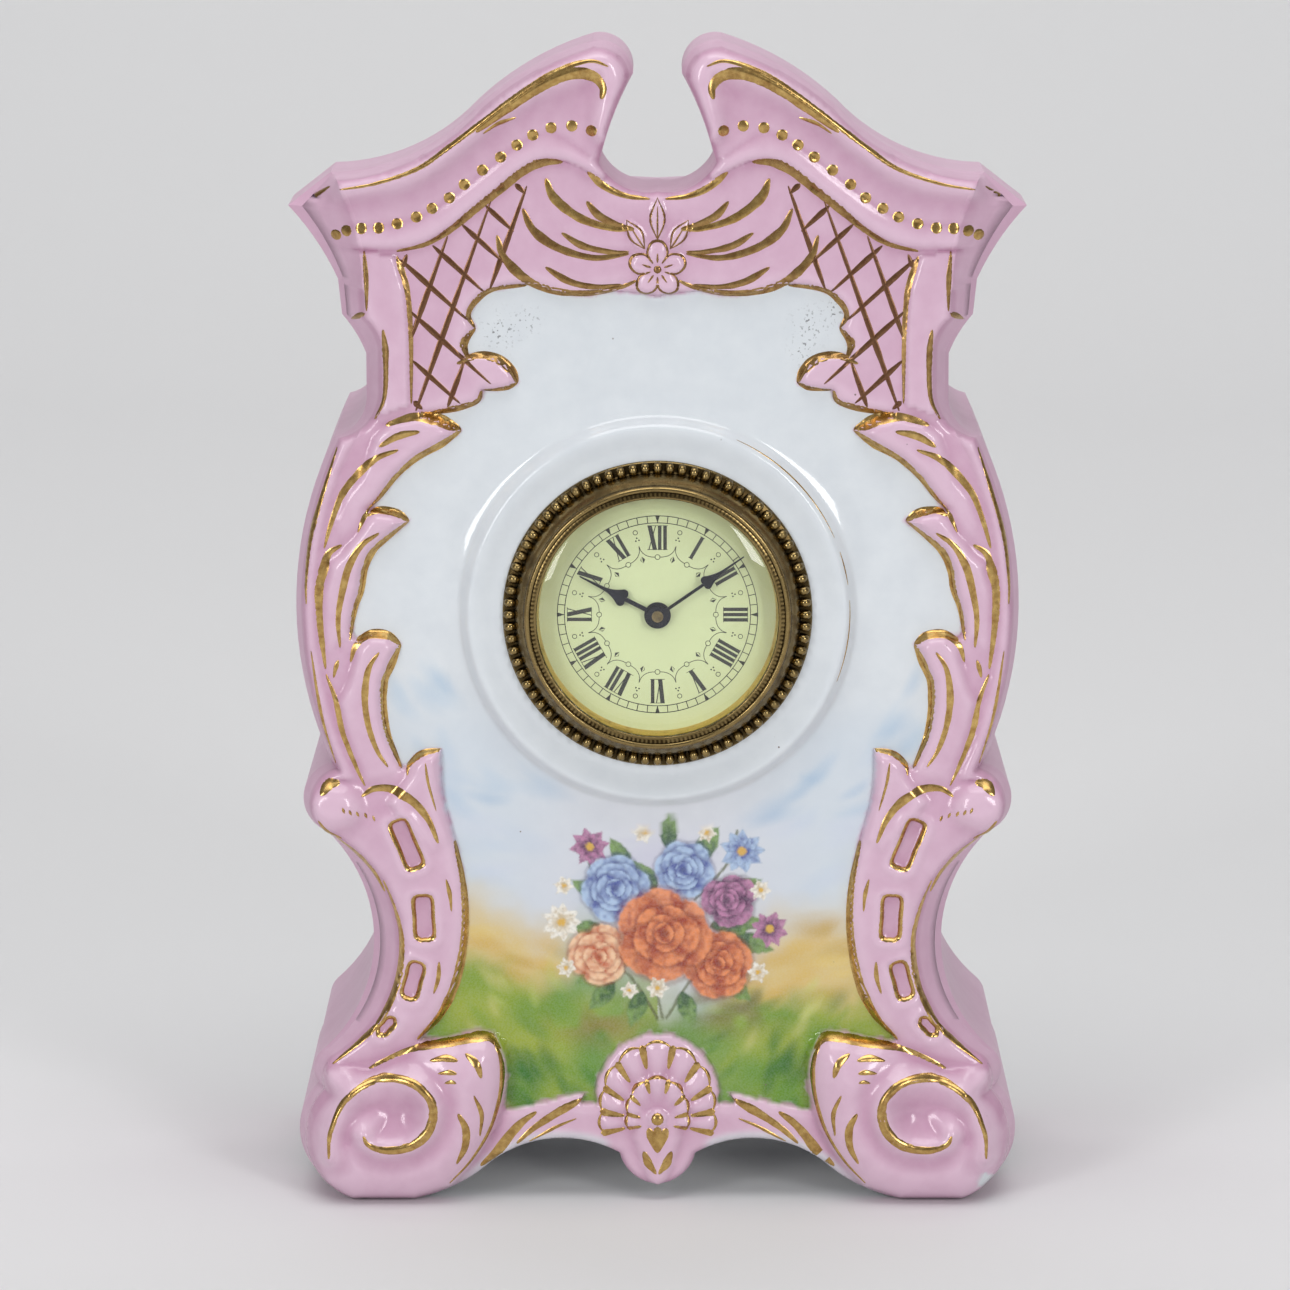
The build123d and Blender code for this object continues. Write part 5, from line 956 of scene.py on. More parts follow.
def paint_spray(canvas):
    """A close bunch of garden flowers over the lower panel."""
    for middle, angle, length, colour in (
            ((-14, 58), 60, 15, srgb(150, 176, 160)), ((17, 60), 110, 14, srgb(188, 190, 216)),
            ((1, 74), 0, 17, srgb(196, 194, 220)), ((-2, 48), 0, 16, srgb(168, 172, 132)),
            ((14, 46), 20, 12, srgb(120, 104, 70)), ((-12, 70), 40, 12, srgb(184, 198, 214))):
        canvas.dab(middle, angle, length, length * 0.55, colour, 0.55, int(length))
    stem = srgb(92, 98, 54)
    for run in ([(1, 40), (0, 48), (3, 58)], [(2, 40), (7, 48), (14, 54)],
                [(0, 40), (-5, 48), (-12, 55)], [(-9, 64), (-14, 72), (-15, 79)],
                [(8, 66), (15, 74), (17, 81)], [(14, 58), (22, 60), (26, 58)]):
        near = distance(canvas.spots, flowing(run, 0.8)) + 0.12 * cloud(canvas.spots, 0.8, 5)
        canvas.lay(stem, 0.8 * ramp(0.5, 0.15, near))
    for base, angle, length in (
            ((-8, 52), 205, 11), ((-10, 58), 165, 10), ((-11, 66), 150, 9), ((-6, 72), 118, 9),
            ((2, 77), 84, 9), ((8, 74), 58, 10), ((14, 66), 28, 10), ((16, 58), 340, 10),
            ((13, 50), 318, 10), ((5, 46), 290, 9), ((-3, 46), 250, 9), ((-9, 48), 228, 9),
            ((0, 68), 130, 9), ((6, 66), 70, 8), ((-4, 54), 190, 12), ((11, 60), 8, 12)):
        canvas.petal(base, angle, length, length * 0.26, *LEAF_GREEN)
    paint_daisy(canvas, (-14.5, 77.5), 4.6, PLUM, 8, 10)
    paint_daisy(canvas, (18.0, 76.5), 5.2, BLUE, 9, 4)
    paint_daisy(canvas, (24.0, 59.5), 4.4, PLUM, 8, 30)
    paint_daisy(canvas, (-20.5, 61.0), 4.6, CREAM, 9, 0)
    paint_rose(canvas, (-9.0, 68.5), 8.4, BLUE, 12)
    paint_rose(canvas, (5.5, 72.5), 7.2, BLUE, 50)
    paint_rose(canvas, (15.0, 66.0), 6.4, PLUM, 80)
    paint_rose(canvas, (-12.5, 53.5), 7.4, APRICOT, 20)
    paint_rose(canvas, (13.0, 52.0), 7.8, RUST, 66)
    paint_rose(canvas, (1.5, 58.5), 10.6, RUST, 35)
    for place, size in (((-3.0, 80.5), 2.6), ((10.5, 80.5), 2.4), ((22.0, 68.0), 2.6), ((-20.0, 69.0), 2.4),
                        ((-19.5, 51.0), 2.4), ((21.5, 50.0), 2.6), ((0.0, 46.5), 2.8), ((-6.0, 46.0), 2.2)):
        paint_daisy(canvas, place, size, CREAM, 6, 20 * size)


def wash(canvas, seed, count, across, along, lean, sizes, colours, strength):
    """Many soft strokes of some colours over a field on both sides."""
    draw = np.random.default_rng(seed)
    for number in range(count):
        hand = 1 if number % 2 else -1
        x, z = draw.uniform(*across), draw.uniform(*along)
        length = draw.uniform(*sizes)
        colour = colours[draw.integers(len(colours))]
        angle = hand * (lean + draw.uniform(-18, 18))
        half = length * draw.uniform(0.28, 0.45)
        canvas.dab((hand * x, z), angle, length, half, colour, strength, number % 40)


def paint_panel(spots):
    """Sky, ochre mist and green ground as soft washes, with a bunch of flowers in the middle."""
    canvas = Canvas(spots)
    x, z = spots[:, 0], spots[:, 1]
    wide = np.abs(x)
    drift = 4.0 * cloud(spots, 13, 3) + 2.2 * cloud(spots, 5, 4) + 0.9 * cloud(spots, 2.1, 5)
    sky = ramp(116, 98, z + 0.6 * drift) * ramp(10, 40, wide + 0.35 * (98 - z))
    canvas.lay(srgb(202, 214, 226), 0.5 * sky)
    blues = (srgb(150, 184, 214), srgb(168, 196, 220), srgb(182, 204, 224))
    wash(canvas, 11, 16, (22, 46), (84, 96), 24, (5, 11), blues, 0.42)
    wash(canvas, 12, 14, (42, 56), (96, 114), 52, (5, 10), blues, 0.40)
    wash(canvas, 13, 12, (26, 40), (70, 84), 20, (6, 12), (srgb(192, 208, 228), srgb(204, 212, 232)), 0.32)
    haze = bell(z, 70, 20) * ramp(40, 8, wide)
    canvas.lay(srgb(214, 208, 222), 0.38 * haze)
    mist = ramp(68, 50, z + drift - 0.10 * wide) * ramp(8, 26, wide + 0.5 * drift)
    canvas.lay(srgb(220, 188, 96), 0.85 * mist)
    ochres = (srgb(216, 176, 76), srgb(206, 164, 66), srgb(230, 202, 112), srgb(192, 156, 64))
    wash(canvas, 14, 36, (18, 44), (42, 60), 20, (5, 10), ochres, 0.5)
    rise = np.where(x < 0, 50.0, 44.0) + 0.06 * wide
    ground = ramp(3.0, -7.0, z + 0.8 * drift - rise)
    grass = 0.5 + 0.5 * cloud(spots, 7.0, 15)
    canvas.lay(between(srgb(72, 138, 14), srgb(152, 170, 44), grass), 0.95 * ground)
    greens = (srgb(46, 120, 8), srgb(102, 150, 20), srgb(34, 104, 8), srgb(150, 166, 36))
    wash(canvas, 16, 40, (10, 44), (22, 44), 40, (4, 9), greens, 0.5)
    wash(canvas, 17, 16, (20, 34), (20, 36), 64, (4, 8), (srgb(18, 96, 12), srgb(30, 110, 16)), 0.6)
    wash(canvas, 18, 18, (16, 42), (30, 50), 58, (3, 6), (srgb(196, 208, 110), srgb(222, 214, 140)), 0.4)
    for (right, up), tall, top, seed, colour, strength in (
            ((15, 42), 5.0, 0.4, 17, srgb(112, 84, 52), 0.7),
            ((-12, 38), 4.0, 0.5, 18, srgb(150, 112, 58), 0.6)):
        umber = bell(x, right, 9) * bell(z, up, tall)
        canvas.lay(colour, strength * umber * ramp(-0.6, top, cloud(spots, 3.0, seed)))
    paint_spray(canvas)
    return canvas


# Ornament that lies on the porcelain


class Ground:
    """The porcelain's surface, for laying ornament on it from the front."""

    def __init__(self, points, faces):
        self.tree = BVHTree.FromPolygons([tuple(p) for p in points], [tuple(map(int, f)) for f in faces])

    def lay(self, x, z, lift):
        """The place on the surface behind a spot of the drawing, lifted off it."""
        hit, normal, _, _ = self.tree.ray_cast(Vector((x, -90.0, z)), Vector((0, 1, 0)))
        if hit is None:
            return None
        if normal.y > 0:
            normal = -normal
        return tuple(hit + normal * lift)


class Ornament:
    """Points and faces of raised strokes, dots and lines."""

    def __init__(self, ground, weight):
        self.ground = ground
        self.weight = weight
        self.points = []
        self.faces = []
        self.tones = []
        self.tone = 0.0

    def stroke(self, line, width, widest, height=GILT_HEIGHT, even=False):
        """A brush stroke that swells to its width and thins out at both ends."""
        line = flowing(line, 0.45)
        width = width * self.weight
        steps = np.linalg.norm(np.diff(line, axis=0), axis=1)
        along = np.concatenate([[0], np.cumsum(steps)])
        along /= along[-1]
        swell = np.where(along < widest, along / max(widest, 1e-3), (1 - along) / max(1 - widest, 1e-3))
        widths = width * (0.16 + 0.84 * np.sqrt(np.clip(swell, 0, 1)))
        if even:
            widths = np.full(len(line), width)
        widths *= 1 + 0.10 * cloud(line, 2.0, int(width * 100))
        forward = np.gradient(line, axis=0)
        forward /= np.maximum(np.linalg.norm(forward, axis=1), 1e-9)[:, None]
        side = np.column_stack([-forward[:, 1], forward[:, 0]])
        profile = ((-0.5, -0.05), (-0.3, 0.75 * height), (0.0, height), (0.3, 0.75 * height), (0.5, -0.05))
        rows = []
        for spot, across, wide in zip(line, side, widths):
            row = [self.ground.lay(*(spot + across * wide * share), lift) for share, lift in profile]
            if None in row:
                rows = self.close(rows)
                continue
            rows.append(row)
        self.close(rows)

    def close(self, rows):
        """Keep a run of rows as a strip of faces."""
        if len(rows) > 2:
            first = len(self.points)
            wide = len(rows[0])
            for row in rows:
                self.points += row
            self.tones += [self.tone] * (wide * len(rows))
            for k in range(len(rows) - 1):
                for j in range(wide - 1):
                    a = first + k * wide + j
                    self.faces.append((a, a + wide, a + wide + 1, a + 1))
        return []

    def dot(self, x, z, radius, height=0.16):
        """A round drop of gold."""
        rings = ((0.55, 0.8 * height), (0.85, 0.45 * height), (1.0, -0.06))
        points = [self.ground.lay(x, z, height)]
        for share, lift in rings:
            reach = radius * share
            for turn in math.tau * np.arange(DOT_POINTS) / DOT_POINTS:
                points.append(self.ground.lay(x + reach * math.cos(turn), z + reach * math.sin(turn), lift))
        if None in points:
            return
        self.faces += dome_faces(len(self.points), DOT_POINTS, len(rings))
        self.points += points
        self.tones += [self.tone] * len(points)


def lattice_lines(direction, through, spacing):
    """Runs of parallel lines, cut to the lattice field."""
    field = np.array(LATTICE_FIELD)
    heading = np.array(direction) / np.linalg.norm(direction)
    side = np.array([-heading[1], heading[0]])
    runs = []
    for number in range(-8, 9):
        wobble = 0.35 * math.sin(3.7 * number)
        base = np.array(through) + side * (spacing * number + wobble)
        spots = base + np.arange(-60, 60, 0.5)[:, None] * heading
        within = inside(spots, field)
        run = []
        for spot, keep in zip(spots, within):
            if keep:
                run.append(spot)
            else:
                runs.append(run)
                run = []
        runs.append(run)
    return [run for run in runs if len(run) > 5]


# Shader helpers


def feed(tree, node, values):
    """Link sockets to a node's inputs, or set plain values there."""
    for name, value in values.items():
        if isinstance(value, bpy.types.NodeSocket):
            tree.links.new(value, node.inputs[name])
        else:
            node.inputs[name].default_value = value


def place_node(tree, kind, values=None, **settings):
    """Add a node with its settings and inputs."""
    node = tree.nodes.new(kind)
    for name, value in settings.items():
        setattr(node, name, value)
    feed(tree, node, values or {})
    return node


def mixed(tree, share, first, second):
    """Colour mix of two colours or sockets."""
    return place_node(tree, "ShaderNodeMix", {0: share, 6: first, 7: second}, data_type="RGBA").outputs[2]


def reckon(tree, operation, first, second=0.0, third=0.0, clamp=False):
    """Math node of numbers or sockets."""
    values = {0: first, 1: second, 2: third}
    return place_node(tree, "ShaderNodeMath", values, operation=operation, use_clamp=clamp).outputs[0]


def spread(tree, value, low, high, to_low, to_high):
    """Map a value from one range to another."""
    values = {0: value, 1: low, 2: high, 3: to_low, 4: to_high}
    return place_node(tree, "ShaderNodeMapRange", values).outputs[0]


def own_space(tree):
    """The object's own space."""
    return place_node(tree, "ShaderNodeTexCoord").outputs["Object"]


def noise(tree, scale, detail, roughness, space=None):
    """Noise in a space, or else over the piece's box."""
    values = {"Scale": scale, "Detail": detail, "Roughness": roughness}
    if space is not None:
        values["Vector"] = space
    return place_node(tree, "ShaderNodeTexNoise", values).outputs["Fac"]


def mottled(tree, scale, detail=4.0):
    """Cloudy noise in the object's own space."""
    return noise(tree, scale, detail, 0.55, own_space(tree))


def new_group(name, inputs, outputs):
    """Empty shader group with float inputs and outputs; returns it with its two ends and its scaled space."""
    group = bpy.data.node_groups.new(name, "ShaderNodeTree")
    for label, value in inputs:
        socket = group.interface.new_socket(label, in_out="INPUT", socket_type="NodeSocketFloat")
        socket.default_value = value
    for label in outputs:
        group.interface.new_socket(label, in_out="OUTPUT", socket_type="NodeSocketFloat")
    start = group.nodes.new("NodeGroupInput")
    values = {0: own_space(group), "Scale": start.outputs["Scale"]}
    space = place_node(group, "ShaderNodeVectorMath", values, operation="SCALE").outputs[0]
    return group, start, group.nodes.new("NodeGroupOutput"), space


def glaze_group():
    """Orange-peel swell, uneven gloss and hair-fine pits of an old glaze."""
    group, _, end, space = new_group("Glaze Skin", [("Scale", 1.0)], ["Roughness", "Height", "Pits"])
    swell = noise(group, 95.0, 3.0, 0.5, space)
    fine = noise(group, 900.0, 4.0, 0.6, space)
    pits = place_node(group, "ShaderNodeTexVoronoi", {"Vector": space, "Scale": 240.0, "Randomness": 1.0})
    speck = spread(group, pits.outputs["Distance"], 0.035, 0.055, 1.0, 0.0)
    rare = spread(group, swell, 0.60, 0.66, 0.0, 1.0)
    feed(group, end, {
        "Roughness": reckon(group, "MULTIPLY_ADD", fine, 0.10, 0.055),
        "Height": reckon(group, "MULTIPLY_ADD", fine, 0.12, swell),
        "Pits": reckon(group, "MULTIPLY", speck, rare),
    })
    return group


def metal_group():
    """Tarnish in patches, grain and uneven gloss for the metals."""
    inputs = [("Scale", 1.0), ("Tarnish", 0.5)]
    group, start, end, space = new_group("Metal Age", inputs, ["Tarnish", "Roughness", "Height"])
    patches = noise(group, 260.0, 6.0, 0.62, space)
    grain = noise(group, 2600.0, 3.0, 0.55, space)
    low = reckon(group, "SUBTRACT", 0.78, reckon(group, "MULTIPLY", start.outputs["Tarnish"], 0.5))
    mask = reckon(group, "MULTIPLY_ADD", reckon(group, "SUBTRACT", patches, low), 4.0, 0.5, clamp=True)
    feed(group, end, {
        "Tarnish": mask,
        "Roughness": reckon(group, "MULTIPLY_ADD", mask, 0.22, reckon(group, "MULTIPLY", grain, 0.16)),
        "Height": reckon(group, "MULTIPLY_ADD", patches, 0.5, grain),
    })
    return group


def use_group(tree, name, build, values):
    """Place a shader group, which is built on first use, with its own values."""
    group = bpy.data.node_groups.get(name) or build()
    return place_node(tree, "ShaderNodeGroup", values, node_tree=group).outputs


def glaze_skin(tree, scale):
    """The glaze's swell, pits and gloss."""
    return use_group(tree, "Glaze Skin", glaze_group, {"Scale": scale})


def metal_age(tree, scale, tarnish):
    """The metals' tarnish and grain."""
    return use_group(tree, "Metal Age", metal_group, {"Scale": scale, "Tarnish": tarnish})


def new_material(name):
    """Material with only its shader and output; returns it with its tree and shader."""
    material = bpy.data.materials.new(name)
    material.use_nodes = True
    tree = material.node_tree
    return material, tree, tree.nodes["Principled BSDF"]


def bump(tree, height, depth, strength):
    """Fine relief from a height socket."""
    values = {"Height": height, "Distance": depth, "Strength": strength}
    return place_node(tree, "ShaderNodeBump", values).outputs["Normal"]


def stored(tree, name, output="Fac"):
    """A stored value or colour of the mesh."""
    return place_node(tree, "ShaderNodeAttribute", attribute_name=name).outputs[output]


def finish_glaze(tree, shader, colour, dull):
    """Gloss, pits and swell that all the glazed surfaces share; the rims and walls are duller."""
    skin = glaze_skin(tree, 1.0)
    feed(tree, shader, {
        "Base Color": mixed(tree, skin["Pits"], colour, srgb(120, 104, 96)),
        "Roughness": reckon(tree, "MULTIPLY_ADD", dull, 0.36, skin["Roughness"]),
        "Coat Weight": reckon(tree, "MULTIPLY_ADD", dull, -0.5, 0.4, clamp=True),
        "Specular IOR Level": 0.4,
        "Coat Roughness": 0.03,
        "Normal": bump(tree, skin["Height"], 0.0001, 0.4),
    })


def painted_glaze(settings):
    """Glaze of the front: white panel, pink border and the painting under it."""
    material, tree, shader = new_material("painted_glaze")
    mottle = mottled(tree, 210.0)
    white = mixed(tree, mottle, tuple(settings.panel_white), srgb(212, 218, 224))
    # Deeper pink in recesses: partly pooled wash, partly painted shade.
    tone = spread(tree, stored(tree, "PoolAndShade"), -0.5, 0.6, 0.0, 0.85)
    tone = reckon(tree, "MULTIPLY_ADD", mottle, 0.7, reckon(tree, "SUBTRACT", tone, 0.35), clamp=True)
    pink = mixed(tree, tone, tuple(settings.pink_light), tuple(settings.pink_deep_and_shade))
    border = stored(tree, "Pink")
    glaze = mixed(tree, border, white, pink)
    stipple = spread(tree, mottled(tree, 2600.0, 2.0), 0.35, 0.65, 0.92, 1.0)
    cover = reckon(tree, "MULTIPLY", stored(tree, "Cover"), stipple)
    glaze = mixed(tree, cover, glaze, stored(tree, "Paint", "Color"))
    grains = spread(tree, mottled(tree, 1500.0, 2.0), 0.60, 0.66, 0.0, 0.8)
    speck = reckon(tree, "MULTIPLY", grains, stored(tree, "Speck"))
    glaze = mixed(tree, speck, glaze, srgb(58, 54, 56))
    dull = reckon(tree, "MAXIMUM", reckon(tree, "MULTIPLY", border, 0.25), stored(tree, "Rim"))
    finish_glaze(tree, shader, glaze, dull)
    return material


def wall_glaze(settings):
    """Glaze of the walls: pink outside, white on the back and inside, bare on the standing edge."""
    material, tree, shader = new_material("wall_glaze")
    place = place_node(tree, "ShaderNodeNewGeometry").outputs
    spot = place_node(tree, "ShaderNodeSeparateXYZ", {0: place["Position"]}).outputs
    facing = place_node(tree, "ShaderNodeSeparateXYZ", {0: place["Normal"]}).outputs
    reach = reckon(tree, "ABSOLUTE", spot["X"])

    def beyond(value, limit):
        return reckon(tree, "GREATER_THAN", value, limit * MM)

    # Faces that look up are outside where they lie beyond the hollow; the crown and the ears are all outside
    out = reckon(tree, "MULTIPLY", spot["X"], facing["X"])
    far = reckon(tree, "MAXIMUM", beyond(reach, HOLLOW_REACH), beyond(spot["Z"], HOLLOW_TOP))
    up = reckon(tree, "MULTIPLY", reckon(tree, "MAXIMUM", facing["Z"], 0.0), far)
    out = reckon(tree, "MULTIPLY_ADD", up, 0.03, out)
    ear = reckon(tree, "MULTIPLY", beyond(reach, EAR_REACH), beyond(spot["Z"], EAR_FOOT))
    whole = reckon(tree, "MAXIMUM", beyond(spot["Z"], CROWN_FOOT), ear)
    outer = spread(tree, reckon(tree, "MULTIPLY_ADD", whole, 0.05, out), 0.004, 0.012, 0.0, 1.0)
    side = spread(tree, facing["Y"], 0.75, 0.9, 1.0, 0.0)
    foot = spread(tree, spot["Z"], 0.0004, 0.0016, 0.0, 1.0)
    mask = reckon(tree, "MULTIPLY", reckon(tree, "MULTIPLY", outer, side), foot)
    mottle = mottled(tree, 120.0)
    white = mixed(tree, mottle, tuple(settings.panel_white), srgb(216, 220, 222))
    tone = spread(tree, mottle, 0.3, 0.7, 0.32, 0.58)
    pink = mixed(tree, tone, tuple(settings.pink_light), tuple(settings.pink_deep_and_shade))
    glaze = mixed(tree, mask, white, pink)
    bare = spread(tree, spot["Z"], 0.0004, 0.0016, 0.8, 0.0)
    finish_glaze(tree, shader, mixed(tree, bare, glaze, srgb(214, 204, 190)), 0.8)
    return material


def gold_paint(settings):
    """Brown-gold lustre, worn thin in places and browner where it was printed."""
    material, tree, shader = new_material("worn_gilding")
    age = metal_age(tree, 1.6, settings.gilt_wear)
    brush = mottled(tree, 700.0)
    full = spread(tree, brush, 0.3, 0.7, 0.0, 1.0)
    gold = mixed(tree, full, tuple(settings.gilt_dark), tuple(settings.gilt_bright))
    gold = mixed(tree, reckon(tree, "MULTIPLY", age["Tarnish"], 0.4), gold, srgb(116, 80, 52))
    printed = reckon(tree, "MULTIPLY", stored(tree, "Printed"), 0.85)
    feed(tree, shader, {
        "Base Color": mixed(tree, printed, gold, srgb(94, 52, 42)),
        "Metallic": reckon(tree, "MULTIPLY_ADD", printed, -0.4, 1.0),
        "Roughness": reckon(tree, "MULTIPLY_ADD", age["Roughness"], 0.5, 0.2),
        "Normal": bump(tree, brush, 0.00004, 0.3),
    })
    return material


def worn_brass(settings):
    """Dark brass of the bezel, bright where hands polished it; painted highlight and shade on the milled
    teeth.
    """
    material, tree, shader = new_material("bezel_brass")
    age = metal_age(tree, 1.3, 0.4)
    loss = reckon(tree, "MULTIPLY", age["Tarnish"], 0.3)
    # Polish and tarnish, with the painted highlight and shade of the milled teeth.
    polish_and_shade = reckon(tree, "SUBTRACT", stored(tree, "PolishAndShade"), loss, clamp=True)
    feed(tree, shader, {
        "Base Color": mixed(tree, polish_and_shade, srgb(58, 46, 26), tuple(settings.brass_colour)),
        "Metallic": 1.0,
        "Roughness": reckon(tree, "ADD", age["Roughness"], 0.13),
        "Normal": bump(tree, age["Height"], 0.00002, 0.4),
    })
    return material


def aged_metal(name, bright, dark, tarnish, roughness, scale=1.0):
    """Metal with tarnish in patches, grain and uneven polish."""
    material, tree, shader = new_material(name)
    age = metal_age(tree, scale, tarnish)
    feed(tree, shader, {
        "Base Color": mixed(tree, age["Tarnish"], bright, dark),
        "Metallic": 1.0,
        "Roughness": reckon(tree, "ADD", age["Roughness"], roughness),
        "Normal": bump(tree, age["Height"], 0.00003, 0.5),
    })
    return material


def dial_enamel(settings):
    """Matt yellow-green dial paint, a little uneven, with a darker rim that is the bezel's painted shadow."""
    material, tree, shader = new_material("dial_paint")
    centre = (0.0, DIAL_FRONT_Y * MM, DIAL_Z * MM)
    away = place_node(tree, "ShaderNodeVectorMath", {0: own_space(tree), 1: centre}, operation="DISTANCE")
    # Painted shadow of the bezel: darker towards the rim.
    rim = spread(tree, away.outputs["Value"], 0.012, 0.027, 0.0, 0.55)
    tone = reckon(tree, "MULTIPLY_ADD", noise(tree, 130.0, 5.0, 0.6), 0.35, rim)
    skin = glaze_skin(tree, 1.7)
    feed(tree, shader, {
        "Base Color": mixed(tree, tone, tuple(settings.dial_colour), srgb(164, 170, 122)),
        "Roughness": reckon(tree, "ADD", skin["Roughness"], 0.32),
        "Normal": bump(tree, skin["Height"], 0.00003, 0.4),
    })
    return material


def print_black():
    """Dull printing ink, thin in places."""
    material, tree, shader = new_material("dial_ink")
    worn = noise(tree, 900.0, 4.0, 0.6)
    share = spread(tree, worn, 0.4, 0.8, 0.0, 0.5)
    feed(tree, shader, {
        "Base Color": mixed(tree, share, srgb(20, 22, 20), srgb(62, 66, 52)),
        "Roughness": spread(tree, worn, 0.3, 0.7, 0.45, 0.7),
    })
    return material


def clear_glass():
    """Glass that lets light through to the dial."""
    material, tree, shader = new_material("bevelled_glass")
    feed(tree, shader, {
        "Base Color": (1.0, 1.0, 1.0, 1.0),
        "Transmission Weight": 1.0,
        "IOR": 1.46,
        "Roughness": spread(tree, noise(tree, 70.0, 4.0, 0.6), 0.45, 0.8, 0.0, 0.035),
    })
    shadow = place_node(tree, "ShaderNodeLightPath").outputs["Is Shadow Ray"]
    through = place_node(tree, "ShaderNodeBsdfTransparent", {"Color": (0.97, 0.98, 0.97, 1.0)})
    either = place_node(tree, "ShaderNodeMixShader", {0: shadow, 1: shader.outputs[0], 2: through.outputs[0]})
    feed(tree, tree.nodes["Material Output"], {"Surface": either.outputs[0]})
    return material


def assign(node, material):
    """Give a node of the frame a better material."""
    mesh = frame["nodes"][node].data
    mesh.materials.clear()
    mesh.materials.append(material)


# Settings


def tint(name, description, default):
    """A colour that a user can change."""
    return bpy.props.FloatVectorProperty(name=name, description=description, subtype="COLOR", size=4,
                                         min=0.0, max=1.0, default=default)


class ClockFinish(bpy.types.PropertyGroup):
    """Colours and sizes of the clock's finish."""

    panel_white: tint("Panel white", "White of the glazed panel", srgb(226, 231, 235))
    pink_light: tint("Pink, thin", "Pink where the wash is thin", srgb(222, 189, 209))
    # The deep pink also stands for painted shade in recesses.
    pink_deep_and_shade: tint("Pink, deep", "Pink where the wash has pooled", srgb(196, 150, 177))
    gilt_bright: tint("Gilding, bright", "Gold where it is whole", srgb(218, 184, 116))
    gilt_dark: tint("Gilding, dark", "Gold where it is thin", srgb(170, 132, 76))
    gilt_wear: bpy.props.FloatProperty(
        name="Gilding wear", description="Share of the gilding that is worn", subtype="FACTOR",
        min=0.0, max=1.0, default=0.36)
    gilt_weight: bpy.props.FloatProperty(
        name="Gilding weight", description="Widens or narrows all the brush strokes", subtype="FACTOR",
        min=0.5, max=3.0, default=1.5)
    brass_colour: tint("Bezel brass", "Aged brass of the bezel", srgb(156, 134, 88))
    dial_colour: tint("Dial", "Paint of the dial", srgb(190, 200, 156))
    mesh_step: bpy.props.FloatProperty(
        name="Relief step", description="Spacing of the relief's mesh", subtype="DISTANCE", unit="LENGTH",
        min=0.0004, max=0.004, default=0.0008)
    paint_step: bpy.props.FloatProperty(
        name="Painting step", description="Spacing of the mesh under the painting", subtype="DISTANCE",
        unit="LENGTH", min=0.0002, max=0.004, default=0.00036)


class ClockStage(bpy.types.PropertyGroup):
    """Floor, light and camera."""

    floor_colour: tint("Floor", "Floor and backdrop", srgb(228, 228, 229))
    key_power: bpy.props.FloatProperty(
        name="Key light", description="Power of each tall soft box", subtype="POWER", unit="POWER",
        min=0.0, default=5.0)
    sky_strength: bpy.props.FloatProperty(
        name="Room light", description="Strength of the even light", min=0.0, default=0.22)
    view_distance: bpy.props.FloatProperty(
        name="View distance", description="From the dial to the camera", subtype="DISTANCE", unit="LENGTH",
        min=0.3, default=VIEW_DISTANCE * MM)


# Pieces


def at_depth(line, y):
    """Points of a line of the drawing at a depth."""
    return np.column_stack([line[:, 0], np.broadcast_to(y, len(line)), line[:, 1]])


def front_sheet(outline, hole, spacing, fine):
    """Spots, faces and heights of the moulded front, and the numbers of the points on its two edges."""
    foot = flowing(CORNICE_FOOT[1:-1], 0.8)
    creases = [PANEL_LINE[1:-1], mirrored(PANEL_LINE[1:-1]), foot, mirrored(foot)]
    coarse = hexagon_grid(spacing, GRID_LOW, GRID_HIGH)
    picture = np.all((coarse > np.array(PICTURE_LOW)) & (coarse < np.array(PICTURE_HIGH)), axis=1)
    spots = np.vstack([coarse[~picture], hexagon_grid(fine, PICTURE_LOW, PICTURE_HIGH)])
    spots = spots[from_dial(spots) > RING_RADII[-1] + 0.5 * spacing]
    rounds = [hole + (hole - (0, DIAL_Z)) * (radius / HOLE_RADIUS - 1) for radius in RING_RADII]
    spots = np.vstack([spots] + rounds)
    spots = spots[inside(spots, outline) & ~inside(spots, hole)]
    spots = clear_of(spots, [outline, hole] + creases, 0.5 * fine)
    flat, faces, place = triangulate([outline, hole], creases, spots)
    numbers = np.array([place[k] for k in range(len(outline) + len(hole))])
    return flat, faces, relief(flat), numbers[:len(outline)], numbers[len(outline):]


